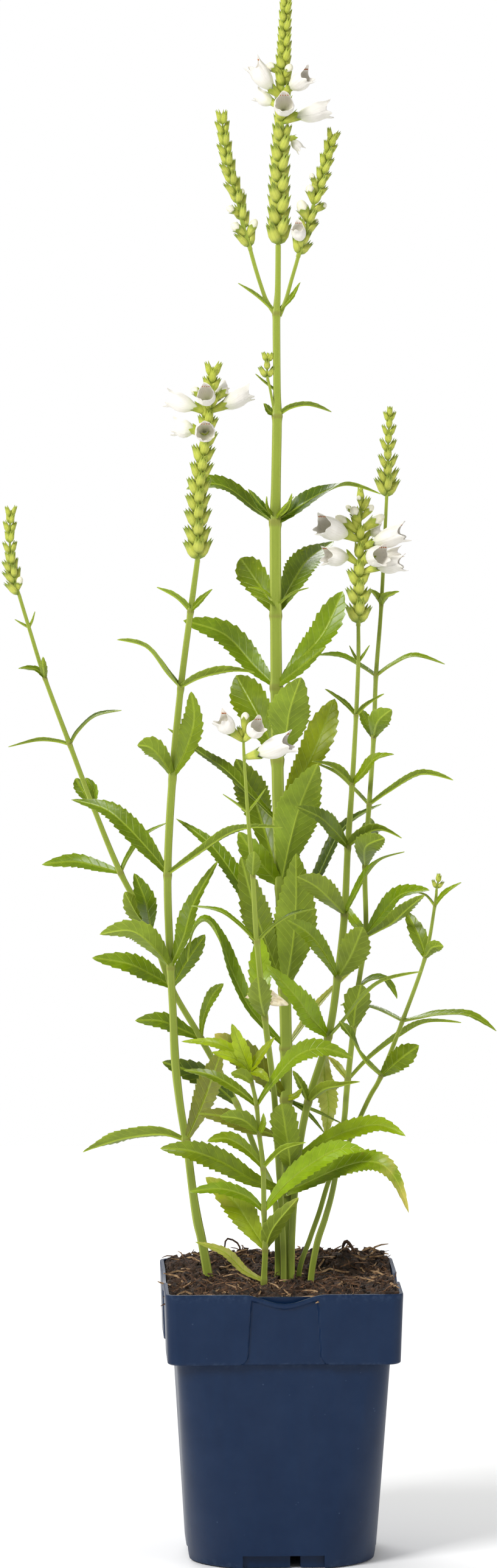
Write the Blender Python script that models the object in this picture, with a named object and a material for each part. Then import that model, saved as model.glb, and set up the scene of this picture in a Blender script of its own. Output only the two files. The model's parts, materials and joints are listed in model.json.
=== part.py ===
"""A potted obedient plant: square stems with toothed leaves and white spikes in a square nursery pot.

Sizes are in millimetres. The plant's points are noted as they show from the front, as (across, up,
depth), and place() carries each one to its spot behind or before the upright plane through the pot.
"""
import math

import bmesh
import bpy
from mathutils import Vector, noise

MM = 0.001
GAP = 0.3
SPECK = 0.05

# the eye that the plant's points are noted from
EYE_TURN = math.radians(-2.0)
EYE_DISTANCE = 4000.0
EYE_HEIGHT = 782.0
EYE_ACROSS = -14.8

# how much further apart stems and leaves lie in depth than noted: before and behind the middle plane
FORWARD = 2.2
BACKWARD = 2.0
SPREAD_FROM = 150.0
SPREAD_OVER = 100.0

# pot
POT_HEIGHT = 130.0
RIM_HALF = 55.0
RIM_CORNER = 5.5
COLLAR_LOW = 97.0
COLLAR_HALF = 53.9
COLLAR_WALL = 1.8
BODY_HALF = 49.5
BODY_CORNER = 10.0
FOOT_HALF = 44.0
FOOT_CORNER = 33.0
WALL = 1.6
EDGE = 0.8
FLOOR_UNDER = 6.4
FLOOR_TOP = 8.8
UNDER_HALF = 38.4
PAD_RADIUS = 10.0
CORNER_STEPS = 4
DIP_HALF = 19.5
DIP_DEPTH = 4.3
LIP = 2.3
PANEL_TOP_HALF = 15.1
PANEL_LOW_HALF = 17.2
PANEL_SINK = 0.8
PANEL_ROUND = 4.0
NOTCH_HALF = 19.0
NOTCH_HEIGHT = 6.0
NOTCH_DEPTH = 3.6
DRAIN_ACROSS = 5.5
DRAIN_HALF = 2.4
POCKET_HALF = 12.0
POCKET_WALL = 1.2
POCKET_SLOT = 2.6
POCKET_TOP = 128.4
RIB = 0.7

# soil
SOIL_LEVEL = 127.2
SOIL_SIDE_CUTS = 2
SOIL_RINGS = (0.86, 0.6, 0.3)

# blades, calyces and flowers
BLADE = 1.1
BLADE_END = 0.5
FOLD = 0.22
TOOTH = 0.14
PETIOLE = 2.2
PETAL = 0.6
THROAT = 3.9
CUP_RISE = 1.6
CUP_SINK = 0.6
CUP_SQUARE = 0.78
CUP_FLAT = 0.8
SMALL_CUP = 1.62
BELLY = 0.5
FOOT_RISE = 1.3

COLOURS = {
    "pot": (0.012, 0.035, 0.095, 1.0),
    "soil": (0.035, 0.022, 0.013, 1.0),
    "stem": (0.10, 0.22, 0.035, 1.0),
    "spike": (0.36, 0.46, 0.06, 1.0),
    "bloom": (0.85, 0.84, 0.80, 1.0),
    "dry": (0.62, 0.58, 0.46, 1.0),
}

# stems, bottom to top: (across, up, depth, width)
STEMS = {
    "stem_main": (
        (3.2, 113, 6, 5.2), (3.2, 150, 6, 5.2), (3.0, 185, 5, 5.4), (2.8, 215, 4, 5.4), (2.3, 257, 2, 5.6),
        (-0.6, 340, 0, 5.6), (-1.6, 385, 0, 5.6), (-2.1, 430, 0, 5.3), (-2.4, 480, 0, 5.2),
        (-2.1, 500, 0, 4.5), (-1.6, 530, 0, 4.4), (-1.65, 545, 0, 3.5), (-1.9, 577, 0, 3.5),
        (-1.3, 590, 0, 2.7), (-1.1, 610.7, 0, 2.5)),
    "stem_left": (
        (-30.6, 113, 12, 4.4), (-33.4, 129, 10, 4.4), (-36.6, 147, 9, 4.2), (-38.6, 156, 9, 4.4),
        (-40.8, 170, 8, 3.9), (-43.3, 190, 7, 3.7), (-46.6, 210, 5, 3.6), (-48.9, 231, 4, 4.0),
        (-50.0, 255, 3, 3.5), (-51.0, 275, 2, 3.6), (-52.4, 318, 0, 3.6), (-50.2, 362, 0, 3.6),
        (-46.4, 404, 0, 3.0), (-41.8, 440, 0, 2.8), (-38.4, 465.2, 0, 2.4)),
    "stem_far_left": (
        (-1.4, 113, 7, 2.6), (-1.4, 150, 7, 2.6), (-3.6, 171, 9, 2.6), (-9.8, 185, 13, 2.6),
        (-20.3, 211, 15, 2.6), (-36.8, 241.5, 16, 2.8), (-50.7, 266, 14, 2.6), (-60.4, 293, 9, 2.6),
        (-74.3, 319.5, 5, 2.6), (-86.8, 350, 3, 2.3), (-97.8, 379.5, 1, 2.2), (-109.3, 410.5, 0, 1.9),
        (-116.6, 434, 0, 1.7), (-121.0, 448.7, 0, 1.6)),
    "stem_right": (
        (5.3, 113, 0, 3.2), (5.5, 150, 0, 3.2), (8.4, 186, 0.6, 3.2), (12.9, 211.6, 2, 3.4),
        (22.3, 242.4, 0, 3.4), (26.5, 269.5, -1, 3.4), (29.8, 299.5, -2, 3.2), (31.3, 331, -2, 2.9),
        (33.3, 360.5, -1, 2.4), (35.1, 392.7, -1, 2.0), (36.1, 417.7, 0, 1.9), (36.1, 435.4, 0, 1.7)),
    "stem_thin_right": (
        (14.2, 113, 0, 3.0), (14.4, 129, -1, 3.0), (17.2, 145.4, -3, 3.0), (21.2, 158, -4, 2.8),
        (25.0, 173, -4, 2.6), (29.6, 202, -3, 2.6), (31.4, 222, -2, 2.7), (36.3, 266, 1, 2.3),
        (39.7, 290.5, 2, 2.3), (39.3, 322, 2, 2.3), (41.2, 351, 2, 2.2), (43.3, 383, 3, 2.1),
        (44.3, 411.5, 5, 2.0), (46.7, 444, 8, 1.8), (49.1, 494.2, 9, 1.5)),
    "stem_far_right": (
        (9.0, 113, 5, 2.4), (8.9, 132, 5, 2.4), (14.0, 148, 8, 2.3), (18.2, 160, 10, 2.3),
        (23.5, 177, 11, 2.2), (31.4, 192, 9, 2.1), (41.3, 213.6, 5, 2.1), (47.0, 224.3, 2, 2.1),
        (56.9, 250, 0, 1.9), (67.4, 280, 0, 1.7), (71.8, 304, 0, 1.4), (72.6, 311.4, 0, 1.2)),
    "stem_front": (
        (1.5, 113, -3, 2.8), (1.5, 140, -3, 2.8), (0.3, 165, -6, 2.8), (-1.3, 190, -8, 2.8),
        (-3.0, 217, -12, 2.8), (-7.0, 250, -16, 2.8), (-10.9, 287, -20, 2.6), (-12.8, 318, -22, 2.2),
        (-15.2, 348, -24, 1.7), (-16.8, 372.6, -25, 1.3)),
    "stem_short": (
        (-7.7, 113, -10, 3.0), (-7.6, 127, -10, 3.0), (-7.0, 143, -12, 2.6), (-7.6, 161, -14, 2.4),
        (-8.0, 181, -15, 2.4), (-9.8, 197, -17, 2.0), (-11.0, 210, -19, 2.0), (-13.2, 221, -20, 1.6),
        (-14.2, 227, -20, 1.3)),
}

# side branches that carry small spikes, joined to the main stem
BRANCHES = (
    ((-2.0, 578, 0, 2.2), (-6.2, 584.5, 0, 1.9), (-8.4, 590, 0, 1.8), (-11.6, 600, 0, 1.8),
     (-14.2, 609.4, 0, 1.8)),
    ((-0.6, 578, 0, 2.2), (2.3, 585, 0, 1.8), (5.0, 594.5, 0, 1.7), (7.2, 602, 0, 1.7), (8.3, 606, 0, 1.7)),
    ((-2.4, 531.5, 0, 1.6), (-4.2, 541, -1, 1.2), (-5.4, 547, -1, 1.2), (-6.2, 550, -1, 1.3)),
)

# leaves: (height on the stem, width, (turn at the root, turn at the tip), place of the greatest
# width, then points along the midrib to the tip). Turn 0 shows the upper face, 90 lays it flat
# and edge on, 180 shows the underside.
LEAVES = {
    "stem_main": (
        (579.2, 4.2, (115, 110), 0.45, (-10, 586.5, -1), (-19.5, 593.2, -2)),
        (579.2, 4.0, (60, 50), 0.5, (5, 586, -1), (9, 593.5, -2)),
        (531.8, 4.4, (40, 40), 0.6, (-5.4, 534, -1), (-7.8, 537.6, -2)),
        (531.8, 6.0, (110, 110), 0.5, (4.5, 535.6, -1), (13, 536.9, -2), (23.5, 533.8, -3)),
        (543.5, 1.6, (60, 60), 0.4, (-7.4, 547.6, -1), (-11.5, 551.3, -2)),
        (482.3, 12.0, (60, 50), 0.62, (-11, 488, 4), (-23, 497.6, 8), (-33, 500.5, 11.5), (-43.5, 498, 12)),
        (482.3, 12.5, (25, 115), 0.34, (9, 490, -3), (20, 496.5, -5), (31, 500, -7), (46.3, 495.8, -8)),
        (483.5, 4.6, (30, 30), 0.5, (-9.5, 490.6, -3), (-15, 498, -4)),
        (484.5, 2.2, (60, 60), 0.45, (-6.2, 489.5, -3), (-6.3, 494.6, -4)),
        (484.0, 2.2, (50, 50), 0.45, (1.0, 488.4, -4.8), (6, 494.5, -6.4)),
        (484.0, 3.0, (140, 140), 0.5, (3.4, 489, -3), (5.3, 496, -4)),
        (439.8, 15.5, (10, 40), 0.52, (6.6, 456, 4), (13, 465.5, 9.5), (24.6, 473.8, 16)),
        (439.8, 14.5, (10, -10), 0.72, (-9.6, 453, 4), (-18.5, 466, 9)),
        (446.0, 2.6, (60, 60), 0.45, (-8, 450.6, -2), (-15, 452.6, -3)),
        (444.0, 2.4, (60, 60), 0.45, (-7, 446.6, -4), (-12.5, 448.6, -5)),
        (443.5, 2.6, (90, 90), 0.5, (5, 449.6, -3), (13, 452.3, -4)),
        (405.9, 14.0, (30, 20), 0.6, (-12, 415.5, 3), (-26, 430.5, 8), (-45, 437, 10)),
        (405.9, 14.0, (50, 5), 0.74, (9, 418.5, 0), (20, 431.5, -2), (28.8, 450.6, -4)),
        (406.5, 8.5, (40, 30), 0.5, (8.5, 414.6, -6), (20.8, 424.7, -8)),
        (371.8, 20.5, (180, 175), 0.6, (2.6, 384, -5), (4.6, 396, -8), (9.6, 410.6, -11)),
        (371.8, 17.5, (5, -10), 0.72, (-9.5, 391, 6), (-20.5, 411.5, 12)),
        (342.8, 15.0, (50, 0), 0.76, (6.5, 358, 4), (15.5, 376, 6), (25.2, 400.6, 8)),
        (342.8, 9.5, (60, 50), 0.5, (-14.5, 356.4, -1), (-26, 367.8, 1), (-38, 376, 5), (-52.2, 386.8, 8)),
        (313.5, 16.5, (0, 0), 0.66, (-8.4, 342, 8), (-13.2, 357, 12), (-20.6, 372.6, 14)),
        (313.5, 13.0, (0, -10), 0.55, (-10.4, 325.6, -3), (-19.4, 338.6, -3)),
        (313.5, 21.5, (180, 175), 0.56, (4.6, 334, -6), (9.6, 352, -10), (17.4, 370.4, -14)),
        (275.0, 11.0, (40, 30), 0.45, (-12, 302, 2), (-21, 317, 3), (-33, 333, 5), (-48.4, 344.7, 6)),
        (275.0, 9.0, (40, 60), 0.6, (10, 299, 8), (19, 320.5, 12), (30, 341, 14), (46.8, 351.6, 15)),
        (264.0, 21.0, (180, 180), 0.52, (5.6, 284, -6), (7.4, 305, -9), (7.4, 328.6, -12)),
        (264.0, 15.0, (0, 0), 0.6, (-7, 287, -5), (-12.4, 304, -7), (-18.4, 327, -8)),
        (237.5, 12.0, (35, 100), 0.4, (-13, 254, -3), (-22, 271.5, -4), (-28, 288, -6), (-34.6, 297, -8),
         (-40.6, 292, -9), (-43.2, 278, -9)),
        (237.5, 6.5, (60, 60), 0.4, (11, 248.5, 8), (19, 259, 12), (28, 268.4, 14), (36, 276, 14)),
        (213.5, 14.5, (0, 0), 0.6, (-13.5, 231, -3), (-30.6, 244, -3)),
        (213.5, 4.0, (60, 60), 0.4, (12, 207, 7), (21, 197, 9)),
        (213.0, 4.0, (80, 80), 0.5, (12, 209.6, 8), (20, 206, 9), (30, 201.4, 9)),
        (213.5, 3.4, (30, 30), 0.5, (7.6, 215, -2), (10.2, 218.6, -3)),
        (178.0, 14.0, (180, 190), 0.84, (4.6, 182.6, -10.8), (3.2, 195, -15), (0.6, 211.2, -18.5)),
        (170.0, 12.5, (20, 10), 0.6, (-13, 175.4, 1), (-28, 184, -3), (-42, 189, -8), (-56, 190.2, -10)),
        (168.0, 13.0, (40, 20), 0.55, (3.3, 169.4, -5.2), (12, 173.6, -8.2), (26, 180, -10.5),
         (38, 183.6, -12),
         (47, 182.6, -13), (54, 175, -13), (60, 159.8, -13)),
    ),
    "stem_left": (
        (441.3, 6.0, (110, 115), 0.4, (-48, 447.6, -2), (-57.2, 452.5, -3)),
        (441.3, 4.6, (50, 50), 0.5, (-37, 446, -2), (-31.6, 451.6, -3)),
        (406.2, 9.0, (65, 120), 0.45, (-52.6, 413, -3), (-62, 424.6, -5), (-75.6, 428.2, -7)),
        (406.2, 8.5, (115, 115), 0.5, (-37, 410.6, -5), (-24, 413.6, -7), (-12, 413, -8)),
        (364.3, 11.5, (150, 150), 0.6, (-55, 372.6, -5), (-60.6, 378, -8), (-66.4, 379, -10)),
        (364.3, 12.5, (25, 20), 0.55, (-43.4, 378, -3), (-40, 391, -4), (-41.4, 404, -4)),
        (319.0, 12.5, (20, 40), 0.5, (-61, 329.6, -4), (-72, 341.6, -7), (-82, 349.4, -8),
         (-97, 353.6, -9)),
        (319.0, 8.0, (120, 120), 0.5, (-41, 326.6, -5), (-25, 337.4, -10), (-14, 340.6, -14),
         (1, 340.6, -16)),
        (275.3, 14.0, (145, 145), 0.5, (-60, 286, -6), (-70, 292.4, -10), (-84, 290.6, -12)),
        (275.3, 11.0, (40, 40), 0.5, (-45, 289, -1), (-40.2, 305, 0), (-29, 325, 0)),
        (193.8, 12.0, (120, 120), 0.5, (-55, 197, 2), (-70, 195.6, -1), (-81, 192.6, -3), (-92, 188.5, -4)),
        (193.8, 13.0, (20, 20), 0.55, (-36.6, 210, -1.5), (-31.4, 224, -6), (-27, 237.4, -8)),
    ),
    "stem_far_left": (
        (434.0, 1.4, (60, 60), 0.4, (-119.8, 435.6, 0), (-123, 437.6, 0)),
        (434.0, 1.4, (60, 60), 0.4, (-115, 437, 0), (-113.8, 441.2, 0)),
        (410.5, 4.4, (40, 60), 0.5, (-113.6, 414.2, -1), (-121.4, 414.8, -2)),
        (410.5, 3.8, (180, 180), 0.45, (-109.8, 415, -3), (-110, 420.2, -4)),
        (379.5, 4.5, (105, 105), 0.6, (-104, 381, 0), (-113, 381.2, -1), (-126.2, 378.3, -2)),
        (379.5, 4.5, (75, 75), 0.6, (-94, 385.6, 0), (-86, 392.6, -1), (-73.8, 395.3, -2)),
        (351.0, 6.5, (0, 0), 0.6, (-92, 358, 6), (-95, 363.6, 7)),
        (351.0, 5.5, (0, 0), 0.6, (-87, 357.6, 6), (-90.4, 363.8, 7)),
        (319.5, 8.2, (30, 30), 0.62, (-84, 322, 4), (-96, 324.6, 3), (-110.8, 323.2, 2)),
        (319.5, 5.0, (65, 65), 0.5, (-70.6, 327, 7), (-63, 337, 9), (-52.4, 343, 10)),
        (293.0, 10.5, (20, 20), 0.55, (-62.6, 305, 1), (-68, 319.2, -2)),
        (293.0, 10.0, (160, 180), 0.6, (-66.4, 300, 1), (-72.2, 310.6, -3)),
        (266.0, 12.0, (25, 25), 0.58, (-60, 271.6, 9), (-71, 276.8, 3), (-87.6, 279.6, -1)),
        (266.0, 9.5, (10, 0), 0.64, (-43.6, 278, 12), (-35, 290.6, 10)),
        (241.5, 10.0, (30, 20), 0.56, (-47, 246.4, 13), (-56, 250, 9), (-67.6, 250.2, 6)),
        (241.5, 7.0, (60, 20), 0.66, (-35.4, 252, 14), (-31.6, 261.6, 12), (-26.4, 267.6, 11)),
        (211.0, 11.5, (10, 10), 0.6, (-35, 223.4, 13), (-55, 230.8, 9)),
    ),
    "stem_right": (
        (417.7, 1.8, (50, 50), 0.4, (34, 421, 0), (32, 425.4, 0)),
        (417.7, 2.0, (50, 50), 0.4, (38.6, 421, 0), (41.3, 425.6, 0)),
        (393.0, 4.4, (60, 60), 0.5, (29.4, 398.6, -2), (20.8, 405.2, -3)),
        (393.0, 4.0, (115, 115), 0.5, (40, 397.8, -3), (48, 403, -4)),
        (360.8, 7.0, (120, 115), 0.45, (28.4, 366, -4), (22.4, 369.8, -6), (14.6, 371.6, -8)),
        (360.8, 7.0, (35, 60), 0.55, (38.4, 366, -3), (44, 372.6, -4), (52.6, 374.8, -5)),
        (331.5, 10.5, (30, 35), 0.5, (24.4, 339.6, -9), (17.6, 345.6, -15), (7, 350.4, -19)),
        (331.5, 8.5, (125, 120), 0.45, (37, 336.4, -5), (46, 339.8, -7), (56.4, 335.7, -8)),
        (300.0, 14.0, (150, 150), 0.56, (23.6, 306.6, -11), (16, 313.4, -16), (7.8, 317.6, -19)),
        (300.0, 7.6, (40, 110), 0.45, (34.6, 309, -5), (40.6, 319.6, -6), (47, 326, -6), (57.6, 329.3, -7)),
        (270.5, 9.5, (10, 20), 0.66, (20.8, 281, -9), (13, 291, -15), (3.4, 297.2, -18)),
        (270.5, 15.0, (180, 190), 0.62, (32.6, 280, -7), (38.4, 294, -15)),
        (242.8, 13.0, (30, 20), 0.5, (14.6, 251, -6), (7, 261.6, -12), (-6.8, 276.6, -14)),
        (242.8, 6.6, (70, 115), 0.62, (29, 250, -6), (38, 261, -11), (47.6, 268.8, -12),
         (65.6, 273.3, -11)),
        (237.0, 10.5, (0, 0), 0.55, (20.4, 224, 13), (22.4, 211, 16), (21.2, 196.6, 16)),
        (212.0, 5.0, (150, 150), 0.5, (9.8, 219.6, -3), (5.8, 226.8, -6)),
        (212.0, 8.0, (140, 110), 0.4, (20, 218, -6), (28, 219.8, -8), (37, 221.6, -9)),
        (186.5, 11.5, (30, 30), 0.55, (20, 193, -4), (33, 198.6, -7), (46, 201, -8), (58.4, 196, -9)),
        (186.5, 2.2, (60, 60), 0.45, (4, 190.4, -3), (0.4, 195.6, -4)),
    ),
    "stem_thin_right": (
        (444.2, 4.6, (130, 130), 0.5, (44.4, 448.6, 6), (41, 451.6, 5)),
        (444.2, 5.4, (140, 120), 0.5, (49, 448, 5), (55, 450.6, 3)),
        (411.5, 5.0, (75, 60), 0.66, (38, 415.5, 8), (28, 420.4, 10), (17.6, 421, 9)),
        (411.5, 4.5, (75, 65), 0.66, (52, 416.8, 4), (62, 420.6, 3), (76.2, 416.8, 2)),
        (382.6, 11.0, (190, 170), 0.55, (45.2, 390, -3), (51.6, 395.6, -5)),
        (382.6, 5.6, (0, 0), 0.55, (40.2, 389.6, 7), (37, 396, 8)),
        (351.5, 3.4, (75, 60), 0.66, (34.4, 358.4, 4), (26, 366, 6), (15, 371.2, 8)),
        (351.5, 6.5, (110, 125), 0.66, (51, 358, 1), (65, 365.6, 0), (80.2, 362.8, -1)),
        (322.4, 12.5, (180, 170), 0.5, (39.8, 331.6, -10), (48.4, 335.6, -15)),
        (322.4, 9.5, (0, 0), 0.6, (40.6, 334.4, 6), (42, 345, 8)),
        (290.5, 5.2, (20, 20), 0.4, (33.4, 298, 7), (24.6, 312, 10)),
        (290.5, 11.0, (20, 60), 0.58, (48, 301, 0), (56.6, 309.4, -2), (69.2, 311.4, -3)),
        (289.5, 10.5, (125, 130), 0.6, (51, 295.6, -4), (59, 302.6, -6), (67, 309, -7)),
        (266.0, 7.6, (80, 60), 0.6, (42, 269.6, 3.2), (48.6, 269.2, 4.6), (54.4, 260.6, 4)),
        (246.0, 13.5, (180, 180), 0.66, (35, 255.6, -3), (37.6, 267, -6)),
        (222.6, 3.6, (20, 20), 0.5, (26.6, 229, 0), (22, 233.4, -1)),
        (222.6, 7.0, (110, 110), 0.66, (42, 233.4, 4), (56, 243.6, 6), (68, 249.6, 6), (84.2, 249.4, 5)),
    ),
    "stem_far_right": (
        (304.3, 1.6, (75, 75), 0.5, (67.8, 309, 0), (61.8, 310.8, 0)),
        (304.3, 4.2, (55, 60), 0.5, (76.4, 309.6, -1), (84, 315, -2)),
        (280.0, 8.6, (10, 10), 0.5, (64, 290.4, 0), (58.4, 301.6, 1.5)),
        (280.0, 6.8, (180, 160), 0.55, (70.6, 284.4, -4), (75.8, 285.2, -6)),
        (250.3, 7.5, (75, 60), 0.68, (64, 251.6, -1), (74, 253.2, -2), (88, 252.6, -3), (100.6, 245.4, -4)),
        (250.3, 5.0, (75, 100), 0.4, (46, 255.6, 6), (37, 257.8, 9), (28, 257.6, 10)),
        (224.5, 8.0, (150, 30), 0.7, (39.6, 231.4, -7), (33.4, 241.6, -10), (27.4, 250, -11)),
        (224.5, 11.5, (0, 10), 0.66, (55, 231.6, -3), (64.6, 238.6, -5)),
    ),
    "stem_front": (
        (348.0, 1.6, (70, 70), 0.4, (-20, 351.6, -24), (-26.6, 356.2, -24)),
        (348.0, 1.6, (60, 60), 0.4, (-11, 353, -25), (-6.8, 359, -26)),
        (318.0, 7.4, (180, 180), 0.55, (-12.6, 323, -27), (-12.2, 329.4, -31)),
        (287.2, 4.2, (60, 60), 0.6, (-20, 296, -22), (-29, 301.8, -21), (-41.6, 304, -19)),
        (287.2, 4.6, (110, 60), 0.6, (-3.6, 294.4, -22), (5, 299.8, -23), (16.2, 302.8, -23)),
        (252.0, 12.0, (180, 185), 0.62, (-9.0, 259, -24.5), (-10.4, 270.8, -29)),
        (252.0, 11.5, (0, 0), 0.6, (-9.4, 270, -12), (-9.4, 289.6, -11)),
        (196.0, 9.5, (20, 10), 0.55, (-14, 200, -7), (-26, 205, -6.5), (-38.4, 206.6, -6.5)),
    ),
    "stem_short": (
        (142.6, 15.0, (10, 10), 0.6, (-14, 153.6, -10), (-22, 165.6, -7), (-34.8, 176.6, -5)),
        (142.8, 10.0, (165, 165), 0.5, (-3, 153, -17), (8.6, 167, -22)),
        (160.6, 8.0, (30, 30), 0.6, (-16, 167.4, -16), (-28, 171, -17), (-42.6, 169.6, -18)),
        (160.6, 12.5, (30, 20), 0.55, (2, 172.4, -18), (14, 182.4, -18), (27, 189.6, -17), (40, 189, -15)),
        (181.0, 8.5, (30, 40), 0.6, (-16, 189.6, -18), (-25, 194.6, -19), (-34, 193.5, -20)),
        (181.0, 5.0, (125, 120), 0.5, (1, 189.6, -20), (11.8, 193, -22)),
        (197.0, 9.5, (160, 150), 0.55, (-17.4, 203.6, -22), (-28, 205.2, -25)),
        (197.2, 3.2, (20, 20), 0.5, (-7.8, 201.6, -21), (-7.8, 206.8, -22)),
        (210.3, 6.5, (30, 30), 0.55, (-20, 217.6, -19), (-32, 224.4, -17), (-45, 226.9, -15)),
        (210.3, 11.0, (60, 10), 0.62, (-3, 221.6, -22), (8, 233.6, -24), (20, 237, -24),
         (33.6, 232.6, -22)),
        (220.8, 7.0, (150, 150), 0.55, (-17.4, 224.4, -24), (-22.8, 225.8, -27)),
        (226.2, 5.0, (20, 20), 0.5, (-9.4, 225.4, -22), (-5.2, 221.6, -23)),
        (226.0, 6.0, (20, 20), 0.5, (-21, 232.2, -22), (-32, 235.4, -22)),
        (226.4, 6.0, (40, 20), 0.5, (-22, 235.6, -20), (-32, 239.8, -19), (-46, 240.4, -17)),
        (226.6, 8.0, (0, 0), 0.5, (-18, 236.4, -22), (-22.6, 248.8, -24)),
        (226.6, 5.2, (30, 30), 0.45, (-9, 234, -21), (-2.6, 242.4, -22)),
        (127.5, 6.0, (40, 30), 0.6, (-17, 132.4, -12), (-26, 141, -14), (-39.6, 146, -16)),
    ),
}

# spikes: (axis points, space between rows low and high, calyx length low and high, swelling low and high)
SPIKES = {
    "spike_main": (((-1.1, 611.1, 0), (-0.7, 630, 0), (-0.3, 650, 0), (0.9, 670, 0), (1.2, 688, 0),
                    (1.6, 704, 0), (2.3, 721, 0)), (4.8, 3.9), (8.4, 4.4), (2.4, 1.3)),
    "spike_side_left": (((-14.3, 609.8, 0), (-17.4, 620, 0), (-19.6, 630, 0), (-23, 642, 0),
                         (-25.5, 655, 0),
                         (-27, 669, 0)), (5.2, 4.0), (7.0, 5.2), (1.5, 1.3)),
    "spike_side_right": (((8.4, 606.4, 0), (11.8, 618, 0), (15.4, 630, 0), (18.6, 640, 0), (21.2, 650, 0),
                          (23.6, 659.4, 0)), (4.8, 3.4), (6.4, 4.6), (1.5, 1.2)),
    "spike_left": (((-38.3, 465.6, 0), (-38.4, 480, 0), (-38, 495, 0), (-36.4, 510, 0), (-34.2, 525, 0),
                    (-33, 536, 0), (-31.6, 550.6, 0)), (3.7, 3.7), (8.0, 5.6), (2.2, 1.5)),
    "spike_far_left": (((-121.1, 449.1, 0), (-123, 455, 0), (-124.6, 462, 0), (-125.3, 475, 0),
                        (-124.9, 486, 0)), (4.3, 3.2), (6.4, 4.0), (1.5, 1.1)),
    "spike_right": (((36.1, 435.8, 0), (36.3, 450, 0), (36.3, 465, 0), (36.8, 480, 0), (37.4, 494.6, 0)),
                    (4.6, 4.2), (7.4, 5.4), (2.1, 1.5)),
    "spike_thin_right": (((49.1, 494.6, 18), (49.5, 505, 18), (49.8, 520, 18), (50.4, 533, 18)),
                         (4.0, 2.8), (7.6, 3.6), (1.6, 0.9)),
    "spike_front": (((-16.8, 373.1, -55), (-17.1, 380, -55), (-16.6, 387, -55)), (4.6, 4.0), (4.6, 4.4),
                    (1.2, 1.2)),
    "spike_far_right": (((72.65, 311.8, 0), (73.2, 315, 0), (73.6, 317, 0)), (2.4, 2.0), (3.4, 3.0),
                        (0.9, 0.9)),
}
SPIKE_ROWS_SKIPPED = {"spike_front": 2}

# a small side spike that grows on the main stem
SHOOT = (((-6.1, 549.4, -1), (-6.2, 554, -1), (-5.9, 559, -1)), (3.8, 3.2), (4.4, 3.4), (1.3, 1.1))

# flowers: (throat end of the calyx, mouth, girth)
FLOWERS = {
    "spike_main": (
        ((-3.2, 681.6, -1.5), (-11.6, 693, -3), 1.0),
        ((3.6, 682.6, -2), (11.8, 688.4, -7), 0.95),
        ((6.4, 669.6, -1.5), (20.6, 673.4, -3), 1.0),
        ((1.2, 672.6, -4.5), (1.6, 676.2, -15), 1.05),
        ((-3.0, 675.6, 3.5), (-9.6, 679.6, 6.5), 0.75),
        ((4.9, 659.6, 1.9), (9.0, 655.2, 3.2), 0.5)),
    "spike_side_right": (
        ((9.4, 612.6, -3.4), (8.0, 618.6, -9), 0.75),),
    "spike_left": (
        ((-38.2, 535.4, -1), (-50.4, 540, -2), 0.95),
        ((-28.2, 535.6, -1), (-16, 542.6, -3), 0.95),
        ((-33.6, 538.6, -4), (-34.6, 542.4, -13.5), 0.95),
        ((-30.2, 539, 4), (-26.2, 545.4, 8), 0.6),
        ((-35.2, 524.6, -5), (-34.8, 525, -15), 1.05),
        ((-39.4, 525, 0.5), (-47.4, 527, 1), 0.95)),
    "spike_right": (
        ((31.4, 476.8, -2), (19.6, 481.6, -5), 1.15),
        ((31.8, 466.4, 1), (21.6, 467.4, 1.5), 1.0),
        ((41.8, 472.6, -2), (55.6, 478, -4), 1.05),
        ((40.8, 476.9, 3.8), (46.0, 479.3, 5.2), 0.6),
        ((40.2, 466.6, -4.5), (46.6, 467.6, -12.5), 1.1),
        ((43.6, 461.6, -1.5), (55.4, 464, -3), 0.9),
        ((45.0, 465.8, 2.5), (54.6, 469, 2), 0.6)),
    "spike_front": (
        ((-21.4, 384.6, -56.5), (-27, 391, -59), 0.95),
        ((-14.6, 384.0, -58), (-10.4, 388, -64), 0.95),
        ((-11.6, 374.8, -57), (3.0, 380.6, -61), 1.15)),
}

# buds that stand in their calyces: (spike, centre, half length, half width)
BUDS = {
    "spike_main": (((-3.9, 692.4, -1.5), 2.0, 1.7), ((3.4, 691.2, -1.5), 2.0, 1.7)),
    "spike_side_left": (((-18, 634.4, 0), 1.4, 1.2), ((-22.6, 627, 0), 1.9, 1.5),
                        ((-20.2, 618.6, 0), 2.3, 1.8),
                        ((-12.9, 619.4, 0), 2.4, 1.8)),
    "spike_side_right": (((10.4, 627.2, -1), 3.2, 2.3), ((13.6, 635.8, -1.6), 1.9, 1.7),
                         ((18.9, 628.4, 0), 1.8, 1.6),
                         ((15.6, 621, 1), 1.5, 1.1), ((14.7, 641.8, 0), 1.3, 1.1)),
    "spike_left": (((-38.9, 543, 1), 1.9, 1.7), ((-26.6, 542.2, 0), 2.0, 1.7)),
    "spike_far_left": (((-120.9, 454.8, -1), 1.7, 1.4),),
    "spike_right": (((29.6, 482.6, -1), 3.6, 2.1), ((43.6, 483.0, 1), 3.8, 2.1),
                    ((34.5, 487, -3), 2.3, 1.9),
                    ((32.0, 488.8, 0), 1.4, 1.1), ((41.0, 488.4, 0), 1.8, 1.5),
                    ((36.4, 493.2, -1.5), 1.1, 0.9)),
    "spike_front": (((-16.4, 391.2, -55), 2.1, 1.8),),
}

PETAL_SCRAP = ((-16.6, 261), (-12, 264.4), (-6.6, 266), (-2.6, 263.4), (3.8, 257.6), (-5.6, 257.4),
               (-11, 259.6))
PETAL_SCRAP_DEPTH = -41.3


def clear_scene():
    """Remove what a new file starts with."""
    for item in list(bpy.data.objects):
        bpy.data.objects.remove(item, do_unlink=True)


def smooth(value):
    """A smooth step from 0 to 1."""
    value = min(max(value, 0.0), 1.0)
    return value * value * (3 - 2 * value)


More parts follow.
